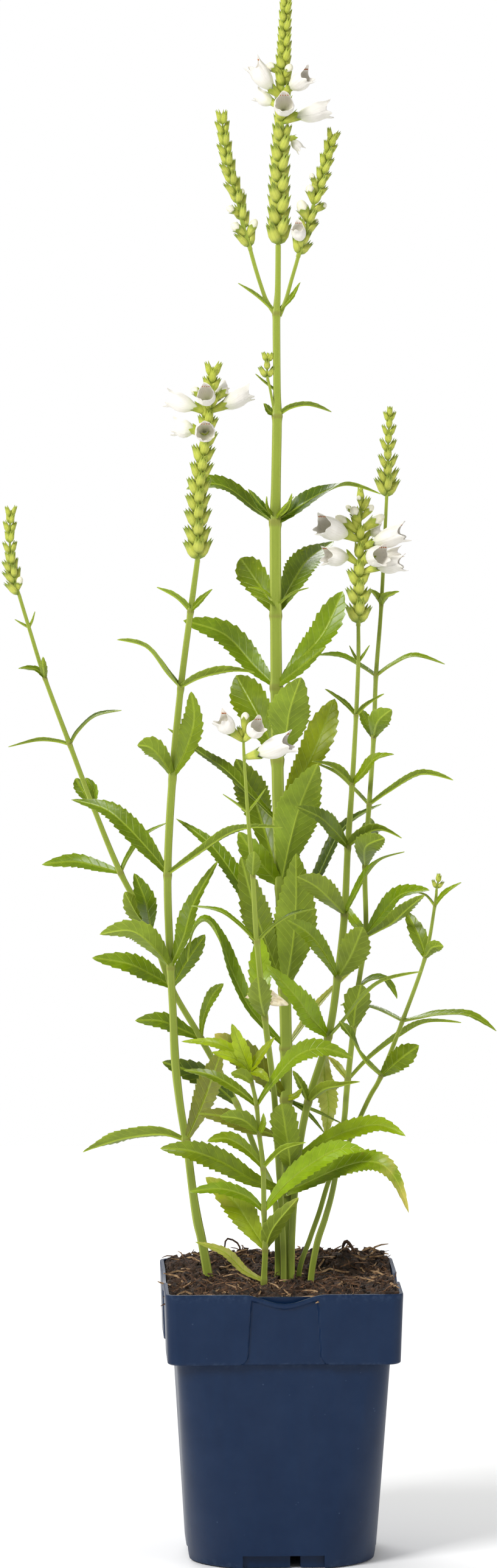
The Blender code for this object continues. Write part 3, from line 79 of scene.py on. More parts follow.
def smooth(value: np.ndarray | float) -> np.ndarray:
    """A smooth step from 0 to 1."""
    held = np.clip(value, 0.0, 1.0)
    return held * held * (3 - 2 * held)


def unit(vectors: np.ndarray) -> np.ndarray:
    """The same directions with length 1."""
    return vectors / np.maximum(np.linalg.norm(vectors, axis=-1, keepdims=True), 1e-9)


def line_at(points: np.ndarray, shares: np.ndarray) -> np.ndarray:
    """Points on the smooth line through a row of points.

    Args:
        points: the row, one point a line.
        shares: places along it from 0 to 1, counted in spans.

    Returns:
        One point for each share.
    """
    spans = len(points) - 1
    along = np.clip(np.asarray(shares, float), 0.0, 1.0) * spans
    number = np.minimum(along.astype(int), spans - 1)
    part = (along - number)[:, None]
    before = points[np.maximum(number - 1, 0)]
    start = points[number]
    end = points[number + 1]
    after = points[np.minimum(number + 2, spans)]
    return 0.5 * (2 * start + (end - before) * part + (2 * before - 5 * start + 4 * end - after) * part ** 2
                  + (3 * start - before - 3 * end + after) * part ** 3)


def between(ends: tuple[float, float], share: float | np.ndarray) -> float | np.ndarray:
    """The value at a share of the way from the first end to the second."""
    return ends[0] + (ends[1] - ends[0]) * share


def bell(angle: np.ndarray, middle: float, wide: float) -> np.ndarray:
    """A smooth hump about one angle of a turn, 1 at its middle and a third at the width given."""
    return np.exp(-(((angle - middle + np.pi) % (2 * np.pi) - np.pi) / wide) ** 2)


def there_and_back(grid: np.ndarray, axis: int) -> np.ndarray:
    """A grid of values and then the same turned round along an axis, in one row."""
    return np.concatenate([grid, np.flip(grid, axis)], axis=axis).ravel()


def add_object(name: str, data: ID) -> Object:
    """Make an object and put it in the scene.

    Args:
        name: its name.
        data: its mesh, camera or light.

    Returns:
        The object.
    """
    made = bpy.data.objects.new(name, data)
    bpy.context.scene.collection.objects.link(made)
    return made


def aim(made: Object, spot: Sequence[float], target: Sequence[float]) -> None:
    """Set a camera or a light at a spot and turn it to a target."""
    made.location = spot
    made.rotation_euler = (Vector(target) - Vector(spot)).to_track_quat("-Z", "Y").to_euler()


@dataclass(frozen=True)
class Eye:
    """Where the photograph was taken from, and what that makes of a noted point."""

    turn: float = math.radians(-2.0)
    distance: float = 4000.0
    height: float = 782.0
    across: float = -14.8
    aim: float = 360.9
    lens: float = 199.05
    sensor: float = 36.0
    far: float = 30.0

    def place(self, points: np.ndarray) -> np.ndarray:
        """Carry points to the object's space.

        Args:
            points: rows of across, depth and up in millimetres, as seen on the middle plane.

        Returns:
            The same points in metres.
        """
        points = np.asarray(points, float)
        reach = 1.0 + points[..., 1] / self.distance
        across = self.across + (points[..., 0] - self.across) * reach
        up = self.height + (points[..., 2] - self.height) * reach
        cos_turn = math.cos(self.turn)
        sin_turn = math.sin(self.turn)
        return MM * np.stack([across * cos_turn - points[..., 1] * sin_turn,
                              across * sin_turn + points[..., 1] * cos_turn, up], axis=-1)

    def turned(self, directions: np.ndarray) -> np.ndarray:
        """Turn directions of the noted space to the object's space.

        Args:
            directions: rows of across, depth and up.

        Returns:
            The same directions there.
        """
        cos_turn = math.cos(self.turn)
        sin_turn = math.sin(self.turn)
        across, depth, up = directions[..., 0], directions[..., 1], directions[..., 2]
        return np.stack([across * cos_turn - depth * sin_turn, across * sin_turn + depth * cos_turn, up],
                        axis=-1)

    def build(self) -> None:
        """Make the camera and look through it."""
        data = bpy.data.cameras.new("camera")
        data.sensor_width = self.sensor
        data.lens = self.lens
        data.clip_end = self.far
        camera = add_object("camera", data)
        middle = Vector(self.turned(np.array([self.across, 0.0, 0.0]))) * MM
        spot = middle + Vector(self.turned(np.array([0.0, -1.0, 0.0]))) * self.distance * MM
        spot.z = self.height * MM
        aim(camera, spot, middle + Vector((0.0, 0.0, self.aim * MM)))
        bpy.context.scene.camera = camera


EYE = Eye()


def sway(across: float, up: float) -> float:
    """How far the plant leans back or forward at a spot: each side and the top go their own way.

    Args:
        across: how far to the right of the pot's middle the spot is seen.
        up: how high it is seen.

    Returns:
        The lean in millimetres, more than 0 to the back.
    """
    left = 34.0 * smooth((-30.0 - across) / 80.0)
    left -= (16.0 * smooth((up - 340.0) / 180.0) * smooth((-14.0 - across) / 24.0)
             * (1 - smooth((-70.0 - across) / 30.0)))
    right = 14.0 * smooth((up - 330.0) / 150.0) * smooth((across - 12.0) / 18.0)
    right -= 26.0 * smooth((across - 25.0) / 60.0) * (1 - smooth((up - 330.0) / 90.0))
    return float(left + right + 10.0 * smooth((up - 480.0) / 240.0))


def at(point: Sequence[float]) -> np.ndarray:
    """A noted (across, up, depth) as across, depth and up."""
    return np.array([point[0], point[2] + sway(point[0], point[1]), point[1]])


def spread(point: Sequence[float]) -> np.ndarray:
    """A noted point of a stem or leaf, further from the middle plane the higher it is."""
    more = 1.2 if point[2] < 0 else 1.0
    return at((point[0], point[1], point[2] * (1 + more * float(smooth((point[1] - 150.0) / 100.0)))))


@dataclass
class Shape:
    """Points, faces and surface values of one grown form, still in noted space."""

    points: np.ndarray
    faces: list[tuple[int, ...]]
    values: dict[str, np.ndarray] = field(default_factory=dict)


def ring_faces(rows: int, loop: int, closed: bool = True) -> list[tuple[int, ...]]:
    """Faces between rows of points that run round a form.

    Args:
        rows: how many rows there are.
        loop: how many points a row has.
        closed: whether both ends get a face.

    Returns:
        The faces as tuples of point numbers.
    """
    faces = [(row * loop + step, row * loop + (step + 1) % loop, (row + 1) * loop + (step + 1) % loop,
              (row + 1) * loop + step) for row in range(rows - 1) for step in range(loop)]
    if closed:
        faces.append(tuple(reversed(range(loop))))
        faces.append(tuple(range((rows - 1) * loop, rows * loop)))
    return faces


def grid_faces(count: int) -> list[tuple[int, ...]]:
    """Faces of a square grid of points, count to a side."""
    firsts = (row * count + step for row in range(count - 1) for step in range(count - 1))
    return [(first, first + 1, first + count + 1, first + count) for first in firsts]


class Skin:
    """One piece of the plant or pot: it gathers shapes and becomes a mesh object."""

    def __init__(self, placed: bool = True) -> None:
        """Start with nothing.

        Args:
            placed: whether the points are in noted space, and not in the object's.
        """
        self.placed = placed
        self.points: list[np.ndarray] = []
        self.faces: list[tuple[int, ...]] = []
        self.slots: list[int] = []
        self.values: dict[str, list[tuple[int, np.ndarray]]] = {}
        self.count = 0

    def add(self, shape: Shape, slot: int = 0) -> None:
        """Take in a shape.

        Args:
            shape: what to add.
            slot: the number of the finish that its faces get.
        """
        for key, value in shape.values.items():
            self.values.setdefault(key, []).append((self.count, np.asarray(value, float)))
        self.points.append(shape.points)
        self.faces += [tuple(self.count + number for number in face) for face in shape.faces]
        self.slots += [slot] * len(shape.faces)
        self.count += len(shape.points)

    def build(self, name: str, finishes: Sequence[Material], sharp: float = 50.0,
              turn: bool = True) -> Object:
        """Make the mesh object.

        Args:
            name: the object's name.
            finishes: its materials, in the order of the shapes' slots.
            sharp: the angle in degrees past which an edge stays sharp.
            turn: whether the faces still have to be turned outwards.

        Returns:
            The object, at the origin.
        """
        points = np.concatenate(self.points)
        spots = EYE.place(points) if self.placed else points * MM
        mesh = bpy.data.meshes.new(name)
        mesh.from_pydata(spots.tolist(), [], self.faces)
        mesh.polygons.foreach_set("material_index", self.slots)
        for key, parts in self.values.items():
            wide = parts[0][1].ndim == 2
            kept = np.zeros((self.count, 4) if wide else self.count)
            for start, value in parts:
                if wide:
                    kept[start:start + len(value)] = np.column_stack([value, np.ones(len(value))])
                else:
                    kept[start:start + len(value)] = value
            made = mesh.attributes.new(key, "FLOAT_COLOR" if wide else "FLOAT", "POINT")
            made.data.foreach_set("color" if wide else "value", kept.ravel())
        return finish_mesh(name, mesh, finishes, sharp, turn)


def outward(shape: Shape) -> Shape:
    """Turn the faces of a closed shape outwards, by the sign of the volume that they shut in.

    Args:
        shape: the shape.

    Returns:
        The shape, with its faces turned where they had to be.
    """
    middle = shape.points.mean(axis=0)
    volume = 0.0
    for face in shape.faces:
        corners = shape.points[list(face)] - middle
        for number in range(1, len(face) - 1):
            volume += float(np.dot(corners[0], np.cross(corners[number], corners[number + 1])))
    if volume < 0:
        return Shape(shape.points, [tuple(reversed(face)) for face in shape.faces], shape.values)
    return shape


def soften(mesh: Mesh, sharp: float) -> None:
    """Shade a mesh smooth, with its edges sharp past an angle in degrees."""
    mesh.polygons.foreach_set("use_smooth", [True] * len(mesh.polygons))
    mesh.set_sharp_from_angle(angle=math.radians(sharp))


def finish_mesh(name: str, mesh: Mesh, finishes: Sequence[Material],
                sharp: float = 50.0, turn: bool = True) -> Object:
    """Turn a mesh's faces outwards, smooth it and make its object.

    Args:
        name: the object's name.
        mesh: the mesh, in metres.
        finishes: its materials.
        sharp: the angle in degrees past which an edge stays sharp.
        turn: whether the faces still have to be turned outwards.

    Returns:
        The object, linked to the scene.
    """
    if turn:
        work = bmesh.new()
        work.from_mesh(mesh)
        bmesh.ops.recalc_face_normals(work, faces=work.faces)
        work.to_mesh(mesh)
        work.free()
    for finish in finishes:
        mesh.materials.append(finish)
    soften(mesh, sharp)
    mesh.update()
    return add_object(name, mesh)


def stand_for(piece: Object, slot: str, *nodes: str) -> None:
    """Let a piece ride on the object and stand for CAD nodes.

    Args:
        piece: the finished piece.
        slot: the record's material slot, which is not used.
        nodes: the CAD nodes that it replaces.
    """
    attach(piece, BODY)
    if nodes:
        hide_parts(*nodes)
    LOG.info("%s: %d faces", piece.name, len(piece.data.polygons))


class Wire:
    """A socket's value in a material, on which arithmetic adds Math nodes."""

    def __init__(self, paint: "Paint", socket: NodeSocket) -> None:
        """Wrap an output socket."""
        self.paint = paint
        self.socket = socket

    def math(self, operation: str, *others: "Wire | float", clamp: bool = False) -> "Wire":
        """Add one Math node.

        Args:
            operation: the node's operation.
            others: its second and third value.
            clamp: whether the result is held between 0 and 1.

        Returns:
            The node's result.
        """
        sockets = dict(enumerate((self, *others)))
        made = self.paint.node("ShaderNodeMath", {"operation": operation, "use_clamp": clamp}, sockets)
        return Wire(self.paint, made.outputs[0])

    def __add__(self, other: "Wire | float") -> "Wire":
        """The sum."""
        return self.math("ADD", other)

    __radd__ = __add__

    def __sub__(self, other: "Wire | float") -> "Wire":
        """The difference."""
        return self.math("SUBTRACT", other)

    def __rsub__(self, other: float) -> "Wire":
        """The difference, with the wire second."""
        return (self * -1.0).math("ADD", other)

    def __mul__(self, other: "Wire | float") -> "Wire":
        """The product."""
        return self.math("MULTIPLY", other)

    __rmul__ = __mul__

    def __truediv__(self, other: "Wire | float") -> "Wire":
        """The quotient."""
        return self.math("DIVIDE", other)

    def __pow__(self, power: float) -> "Wire":
        """The power."""
        return self.math("POWER", power)

    def size(self) -> "Wire":
        """The value without its sign."""
        return self.math("ABSOLUTE")

    def step(self, low: float, high: float) -> "Wire":
        """A smooth step.

        Args:
            low: the value where it is 0.
            high: the value where it is 1, which may lie below low.

        Returns:
            The step.
        """
        sockets = {"Value": self, "From Min": low, "From Max": high, "To Min": 0.0, "To Max": 1.0}
        made = self.paint.node("ShaderNodeMapRange", {"interpolation_type": "SMOOTHSTEP"}, sockets)
        return Wire(self.paint, made.outputs[0])

    def wave(self, spacing: float) -> "Wire":
        """How far the value is from the nearest multiple of the spacing: 0 on it, 1 half way."""
        return (self / spacing).math("PINGPONG", 0.5) * 2.0


class Paint:
    """A material with a Principled shader, and the ways to add nodes to it."""

    def __init__(self, name: str, roughness: float, **constants: float | Row) -> None:
        """Make the material.

        Args:
            name: its name.
            roughness: the shader's roughness where nothing else is linked.
            constants: values that are the same all over, by socket name with _ for a space.
        """
        self.material = bpy.data.materials.new(name)
        self.material.use_nodes = True
        self.tree = self.material.node_tree
        self.shader = self.tree.nodes["Principled BSDF"]
        self.shader.inputs["Roughness"].default_value = roughness
        for key, value in constants.items():
            self.shader.inputs[key.replace("_", " ")].default_value = value

    def node(self, kind: str, settings: dict | None = None, sockets: dict | None = None) -> Node:
        """Add a node.

        Args:
            kind: its type.
            settings: its own settings, set first; stops are a ramp's places and colours.
            sockets: values or wires by socket name or number.

        Returns:
            The node.
        """
        made = self.tree.nodes.new(kind)
        for key, value in (settings or {}).items():
            if key == "stops":
                for number, (place, colour) in enumerate(value):
                    elements = made.color_ramp.elements
                    stop = elements[number] if number < 2 else elements.new(place)
                    stop.position = place
                    stop.color = (*colour, 1.0)
            else:
                setattr(made, key, value)
        for key, value in (sockets or {}).items():
            if isinstance(value, Wire):
                self.tree.links.new(value.socket, made.inputs[key])
            elif isinstance(value, tuple) and made.inputs[key].type == "RGBA":
                made.inputs[key].default_value = (*value, 1.0)
            else:
                made.inputs[key].default_value = value
        return made

    def value(self, name: str) -> Wire:
        """A number that the mesh holds."""
        return Wire(self, self.node("ShaderNodeAttribute", {"attribute_name": name}).outputs["Fac"])

    def tint(self, name: str) -> Wire:
        """A colour that the mesh holds."""
        return Wire(self, self.node("ShaderNodeAttribute", {"attribute_name": name}).outputs["Color"])

    def spot(self, *scale: float) -> Wire:
        """The place on the object in metres.

        Args:
            scale: how much it is stretched along each axis, or nothing.

        Returns:
            The place.
        """
        place = Wire(self, self.node("ShaderNodeTexCoord").outputs["Object"])
        if not scale:
            return place
        made = self.node("ShaderNodeVectorMath", {"operation": "MULTIPLY"}, {0: place, 1: scale})
        return Wire(self, made.outputs[0])

    def noise(self, size: float, detail: float = 3.0, where: Wire | None = None,
              rough: float = 0.55) -> Wire:
        """Soft noise, 0.5 in the middle.

        Args:
            size: the size of its blotches in millimetres, or in the unit of where.
            detail: how many finer layers it has.
            where: the place that it is read at, or nothing for the place on the object.
            rough: how strong the finer layers are.

        Returns:
            The noise as a number.
        """
        scale = 1.0 / size if where else 1.0 / (size * MM)
        made = self.node("ShaderNodeTexNoise", {}, {"Vector": where or self.spot(), "Scale": scale,
                                                    "Detail": detail, "Roughness": rough})
        return Wire(self, made.outputs["Fac"])

    def specks(self, size: float, least: float) -> Wire:
        """Round specks.

        Args:
            size: the size of the cells that hold one speck each, in millimetres.
            least: the share of a cell's size past which there is no speck.

        Returns:
            1 in the specks and 0 outside.
        """
        made = self.node("ShaderNodeTexVoronoi", {}, {"Vector": self.spot(), "Scale": 1.0 / (size * MM)})
        return Wire(self, made.outputs["Distance"]).step(least, least * 0.4)

    def mix(self, factor: "Wire | float", first: "Wire | Colour", second: "Wire | Colour",
            way: str = "MIX") -> Wire:
        """Mix two colours.

        Args:
            factor: how much of the second.
            first: a colour or a wire that carries one.
            second: the other colour.
            way: how they are mixed.

        Returns:
            The mixed colour.
        """
        made = self.node("ShaderNodeMix", {"data_type": "RGBA", "blend_type": way, "clamp_factor": True},
                         {0: factor, 6: first, 7: second})
        return Wire(self, made.outputs[2])

    def scaled(self, colour: Wire, amount: Wire) -> Wire:
        """A colour made lighter or darker by a number."""
        made = self.node("ShaderNodeVectorMath", {"operation": "SCALE"}, {0: colour, "Scale": amount})
        return Wire(self, made.outputs[0])

    def feed(self, socket: str, wire: Wire) -> None:
        """Link a wire to one of the shader's sockets."""
        self.tree.links.new(wire.socket, self.shader.inputs[socket])

    def done(self, colour: Wire, roughness: Wire, height: Wire, distance: float,
             strength: float = 1.0) -> Material:
        """Link what the shader varies, and hand over the material.

        Args:
            colour: the base colour.
            roughness: the roughness.
            height: how high the surface seems to stand, about 0 to 1.
            distance: what a height of 1 stands for in millimetres.
            strength: how much of that relief shows.

        Returns:
            The material.
        """
        self.feed("Base Color", colour)
        self.feed("Roughness", roughness)
        sockets = {"Height": height, "Distance": distance * MM, "Strength": strength}
        made = self.node("ShaderNodeBump", {}, sockets)
        self.tree.links.new(made.outputs[0], self.shader.inputs["Normal"])
        return self.material


class LeafTone(Enum):
    """The greens and yellows that a leaf's upper face has."""

    MID = tone(108, 130, 8)
    DARK = tone(76, 99, 12)
    GREY = tone(106, 121, 34)
    FRESH = tone(128, 153, 8)
    LIME = tone(150, 167, 12)
    OLIVE = tone(118, 122, 26)
    YELLOW = tone(184, 188, 84)


@dataclass(frozen=True)
class LeafFinish:
    """Toothed leaf skin: side veins, a pale midrib, a paler underside, and age spots where it is old."""

    vein_space: float = 4.3
    slant: float = 1.15
    midrib: Colour = tone(160, 179, 52)
    under: Colour = tone(130, 149, 38)
    edge: Colour = tone(160, 178, 60)
    brown: Colour = tone(134, 96, 52)
    straw: Colour = tone(206, 190, 96)

    def build(self) -> Material:
        """Make the material.

        Returns:
            The material, which reads across, along, share, edge, below, age and tint.
        """
        paint = Paint("leaf", 0.46, Subsurface_Weight=0.15, Subsurface_Radius=(0.9, 0.9, 0.3),
                      Subsurface_Scale=0.0012, Specular_IOR_Level=0.38)
        across = paint.value("across").size()
        below = paint.value("below")
        age = paint.value("age")
        edge = paint.value("edge")
        course = paint.value("along") - across * self.slant + paint.noise(9.0, 2.0) * 1.6
        vein = course.wave(self.vein_space).step(0.2, 0.02) * edge.step(1.0, 0.72)
        fine = (course + paint.noise(2.4, 2.0) * 2.2).wave(1.15).step(0.35, 0.0)
        cells = paint.noise(1.3, 3.0)
        colour = paint.mix(below * 0.62, paint.tint("tint"), self.under)
        colour = paint.scaled(colour, 0.48 + paint.noise(7.0, 4.0) * 0.82 + cells * 0.24 + fine * -0.06)
        colour = paint.mix(vein * (0.26 + below * 0.2), colour, self.midrib)
        colour = paint.mix(across.step(0.7, 0.2) * (0.6 + below * 0.25), colour, self.midrib)
        colour = paint.mix(edge.step(0.955, 1.0) * 0.4, colour, self.edge)
        tip = paint.value("share").step(0.55, 1.0)
        stale = (age * (0.55 + tip * 0.8) + paint.noise(11.0, 3.0) * 0.9 - 0.75).step(0.0, 0.55)
        colour = paint.mix(stale * 0.85, colour, self.straw)
        dead = (age * 0.8 + paint.noise(3.6, 4.0) - 0.92).step(0.1, 0.28)
        colour = paint.mix(dead * 0.75, colour, self.brown)
        return paint.done(colour, 0.28 + below * 0.2 + cells * 0.12 + stale * 0.1,
                          vein * (below * 2.0 - 1.0) * 0.8 + cells * 0.1, 0.18, 0.7)


@dataclass(frozen=True)
class StemFinish:
    """Square stem skin: pale ribs at its corners, darker flats and a ring at each pair of leaves."""

    flat: Colour = tone(96, 116, 18)
    rib: Colour = tone(176, 188, 84)
    joint: Colour = tone(122, 106, 56)
    high: Colour = tone(130, 148, 30)

    def build(self) -> Material:
        """Make the material.

        Returns:
            The material, which reads joint, corner and tall.
        """
        paint = Paint("stem", 0.42, Specular_IOR_Level=0.38, Subsurface_Weight=0.08,
                      Subsurface_Radius=(0.5, 0.9, 0.2), Subsurface_Scale=0.001)
        streak = paint.noise(0.9, 3.0, paint.spot(1000.0, 1000.0, 60.0))
        colour = paint.mix(paint.value("tall") * 1.1 - 0.15, self.flat, self.high)
        colour = paint.scaled(colour, 0.72 + streak * 0.3 + paint.noise(14.0, 3.0) * 0.3)
        colour = paint.mix(paint.value("corner").step(0.4, 0.95) * 0.75, colour, self.rib)
        colour = paint.mix(paint.value("joint").step(0.35, 1.0) * 0.42, colour, self.joint)
        return paint.done(colour, 0.36 + streak * 0.2, streak * 0.6 + paint.noise(0.7, 2.0) * 0.4, 0.16)


@dataclass(frozen=True)
class CupFinish:
    """Calyx skin: yellow green and swollen, with fine ribs and greener teeth."""

    belly: Colour = tone(196, 200, 88)
    green: Colour = tone(98, 128, 28)
    fresh: Colour = tone(182, 192, 56)

    def build(self) -> Material:
        """Make the material.

        Returns:
            The material, which reads share, round and fresh.
        """
        paint = Paint("calyx", 0.55, Subsurface_Weight=0.25, Subsurface_Radius=(0.7, 0.8, 0.2),
                      Subsurface_Scale=0.0016, Sheen_Weight=0.15, Sheen_Roughness=0.4)
        share = paint.value("share")
        rib = (paint.value("round") * 10.0).wave(1.0).step(0.5, 0.0)
        ends = share.step(0.42, 0.04) + share.step(0.66, 0.96)
        colour = paint.mix(ends * 0.85, self.belly, self.green)
        colour = paint.mix(paint.value("fresh") * 0.6, colour, self.fresh)
        colour = paint.mix(rib * 0.12, colour, self.green)
        colour = paint.scaled(colour, 0.78 + paint.noise(2.4, 3.0) * 0.3 + paint.noise(9.0, 2.0) * 0.16)
        relief = rib * 0.3 + paint.noise(0.45, 3.0) * 0.5
        return paint.done(colour, 0.5 + paint.noise(0.5, 2.0) * 0.2, relief, 0.2)


@dataclass(frozen=True)
class PetalFinish:
    """Thin white petal: faint beige veins that run to the lips, a greenish throat and beige rims."""

    white: Colour = tone(241, 237, 228)
    vein: Colour = tone(204, 186, 162)
    throat: Colour = tone(224, 230, 184)
    rim: Colour = tone(226, 202, 178)

    def build(self) -> Material:
        """Make the material.

        Returns:
            The material, which reads share and round.
        """
        paint = Paint("petal", 0.52)
        share = paint.value("share")
        turn = paint.value("round")
        wobble = paint.noise(3.0, 2.0)
        line = (turn * 26.0 + wobble * 1.1).wave(1.0).step(0.28, 0.0)
        patch = paint.noise(2.6, 3.0)
        colour = paint.mix(line * patch.step(0.35, 0.75) * 0.5, self.white, self.vein)
        colour = paint.mix(share.step(0.42, 0.0) * 0.55, colour, self.throat)
        lips = share.step(0.86, 1.0) * paint.noise(1.6, 3.0).step(0.4, 0.8)
        colour = paint.mix(lips * 0.65, colour, self.rim)
        colour = paint.scaled(colour, 0.94 + paint.noise(3.4, 3.0) * 0.12)
        folds = (turn * 8.0 + wobble * 1.6).wave(1.0)
        return paint.done(colour, 0.44 + patch * 0.2, folds * 0.5 + paint.noise(4.5, 1.0) * 0.6, 0.25, 0.4)


@dataclass(frozen=True)
class BudFinish:
    """Closed bud: cream white, greener at its foot."""

    white: Colour = tone(244, 240, 218)
    foot: Colour = tone(196, 206, 118)

    def build(self) -> Material:
        """Make the material.

        Returns:
            The material, which reads share.
        """
        paint = Paint("bud", 0.5, Subsurface_Weight=0.3, Subsurface_Radius=(1.0, 0.9, 0.6),
                      Subsurface_Scale=0.002)
        colour = paint.mix(paint.value("share").step(0.5, 0.1), self.white, self.foot)
        colour = paint.scaled(colour, 0.84 + paint.noise(1.8, 3.0) * 0.26)
        return paint.done(colour, 0.42 + paint.noise(1.0, 2.0) * 0.2, paint.noise(0.8, 3.0), 0.16)


@dataclass(frozen=True)
class SpeckledFinish:
    """A dull finish of blotches in two colours, with fine grain, for anthers, straws and dry petals."""

    name: str
    light: Colour
    dark: Colour
    blotch: float = 2.0
    roughness: float = 0.75
    relief: float = 0.2

    def build(self) -> Material:
        """Make the material.

        Returns:
            The material.
        """
        paint = Paint(self.name, self.roughness)
        coarse = paint.noise(self.blotch, 4.0)
        grain = paint.noise(self.blotch / 5, 3.0)
        colour = paint.scaled(paint.mix(coarse.step(0.3, 0.7), self.dark, self.light), 0.78 + grain * 0.44)
        roughness = grain * 0.2 + (self.roughness - 0.1)
        return paint.done(colour, roughness, coarse * 0.5 + grain * 0.5, self.relief)


@dataclass(frozen=True)
class PeatFinish:
    """Damp peat: brown crumbs, rusty threads and pale specks, with its own near black tone laid where the
    relief sits lowest, as painted shade in the hollows.
    """

    # the peat's own near black, which also serves as painted shade in the hollows of its relief
    deep: Colour = tone(30, 21, 15)
    crumb: Colour = tone(74, 52, 36)
    thread: Colour = tone(134, 98, 64)

    def build(self) -> Material:
        """Make the material.

        Returns:
            The material.
        """
        paint = Paint("peat", 0.92)
        coarse = paint.noise(3.2, 5.0, rough=0.65)
        grain = paint.noise(0.7, 4.0)
        thread = paint.noise(1.2, 4.0, paint.spot(1000.0, 260.0, 1000.0)).step(0.62, 0.76)
        # the near black tone goes where the coarse noise, and with it the relief, is lowest: painted shade
        # in the hollows
        colour = paint.mix(coarse.step(0.36, 0.66), self.deep, self.crumb)
        colour = paint.scaled(paint.mix(thread * 0.5, colour, self.thread), 0.6 + grain * 0.8)
        return paint.done(colour, 0.8 + grain * 0.18, coarse * 0.6 + grain * 0.5, 1.1)


@dataclass(frozen=True)
class PotFinish:
    """Navy moulded plastic: satin, faintly mottled, scuffed along its edges and dusty near the rim."""

    navy: Colour = tone(1, 38, 73)
    deep: Colour = tone(1, 26, 56)
    dust: Colour = tone(70, 88, 114)

    def build(self) -> Material:
        """Make the material.

        Returns:
            The material, which reads scuff.
        """
        paint = Paint("pot", 0.36, Specular_IOR_Level=0.24, Coat_Roughness=0.3)
        mottle = paint.noise(16.0, 4.0)
        flow = paint.noise(5.0, 3.0, paint.spot(1000.0, 1000.0, 220.0))
        grain = paint.noise(0.55, 2.0)
        speck = paint.specks(5.2, 0.09) * paint.noise(9.0, 2.0).step(0.5, 0.6)
        scuff = paint.value("scuff")
        colour = paint.mix(mottle * 0.6 + flow * 0.4, self.deep, self.navy)
        dusty = speck * 0.4 + scuff * paint.noise(2.4, 4.0).step(0.42, 0.72) * 0.24
        paint.feed("Coat Weight", (mottle - 0.2) * 0.25)
        return paint.done(paint.mix(dusty, colour, self.dust),
                          0.27 + mottle * 0.1 + flow * 0.08 + grain * 0.08 + scuff * 0.12,
                          grain * 0.45 + flow * 0.35 + mottle * 0.5, 0.12, 0.6)


@dataclass(frozen=True)
class FloorFinish:
    """A plain pale floor."""

    pale: Colour = tone(252, 252, 252)

    def build(self) -> Material:
        """Make the material."""
        return Paint("floor", 0.9, Specular_IOR_Level=0.1, Base_Color=(*self.pale, 1.0)).material


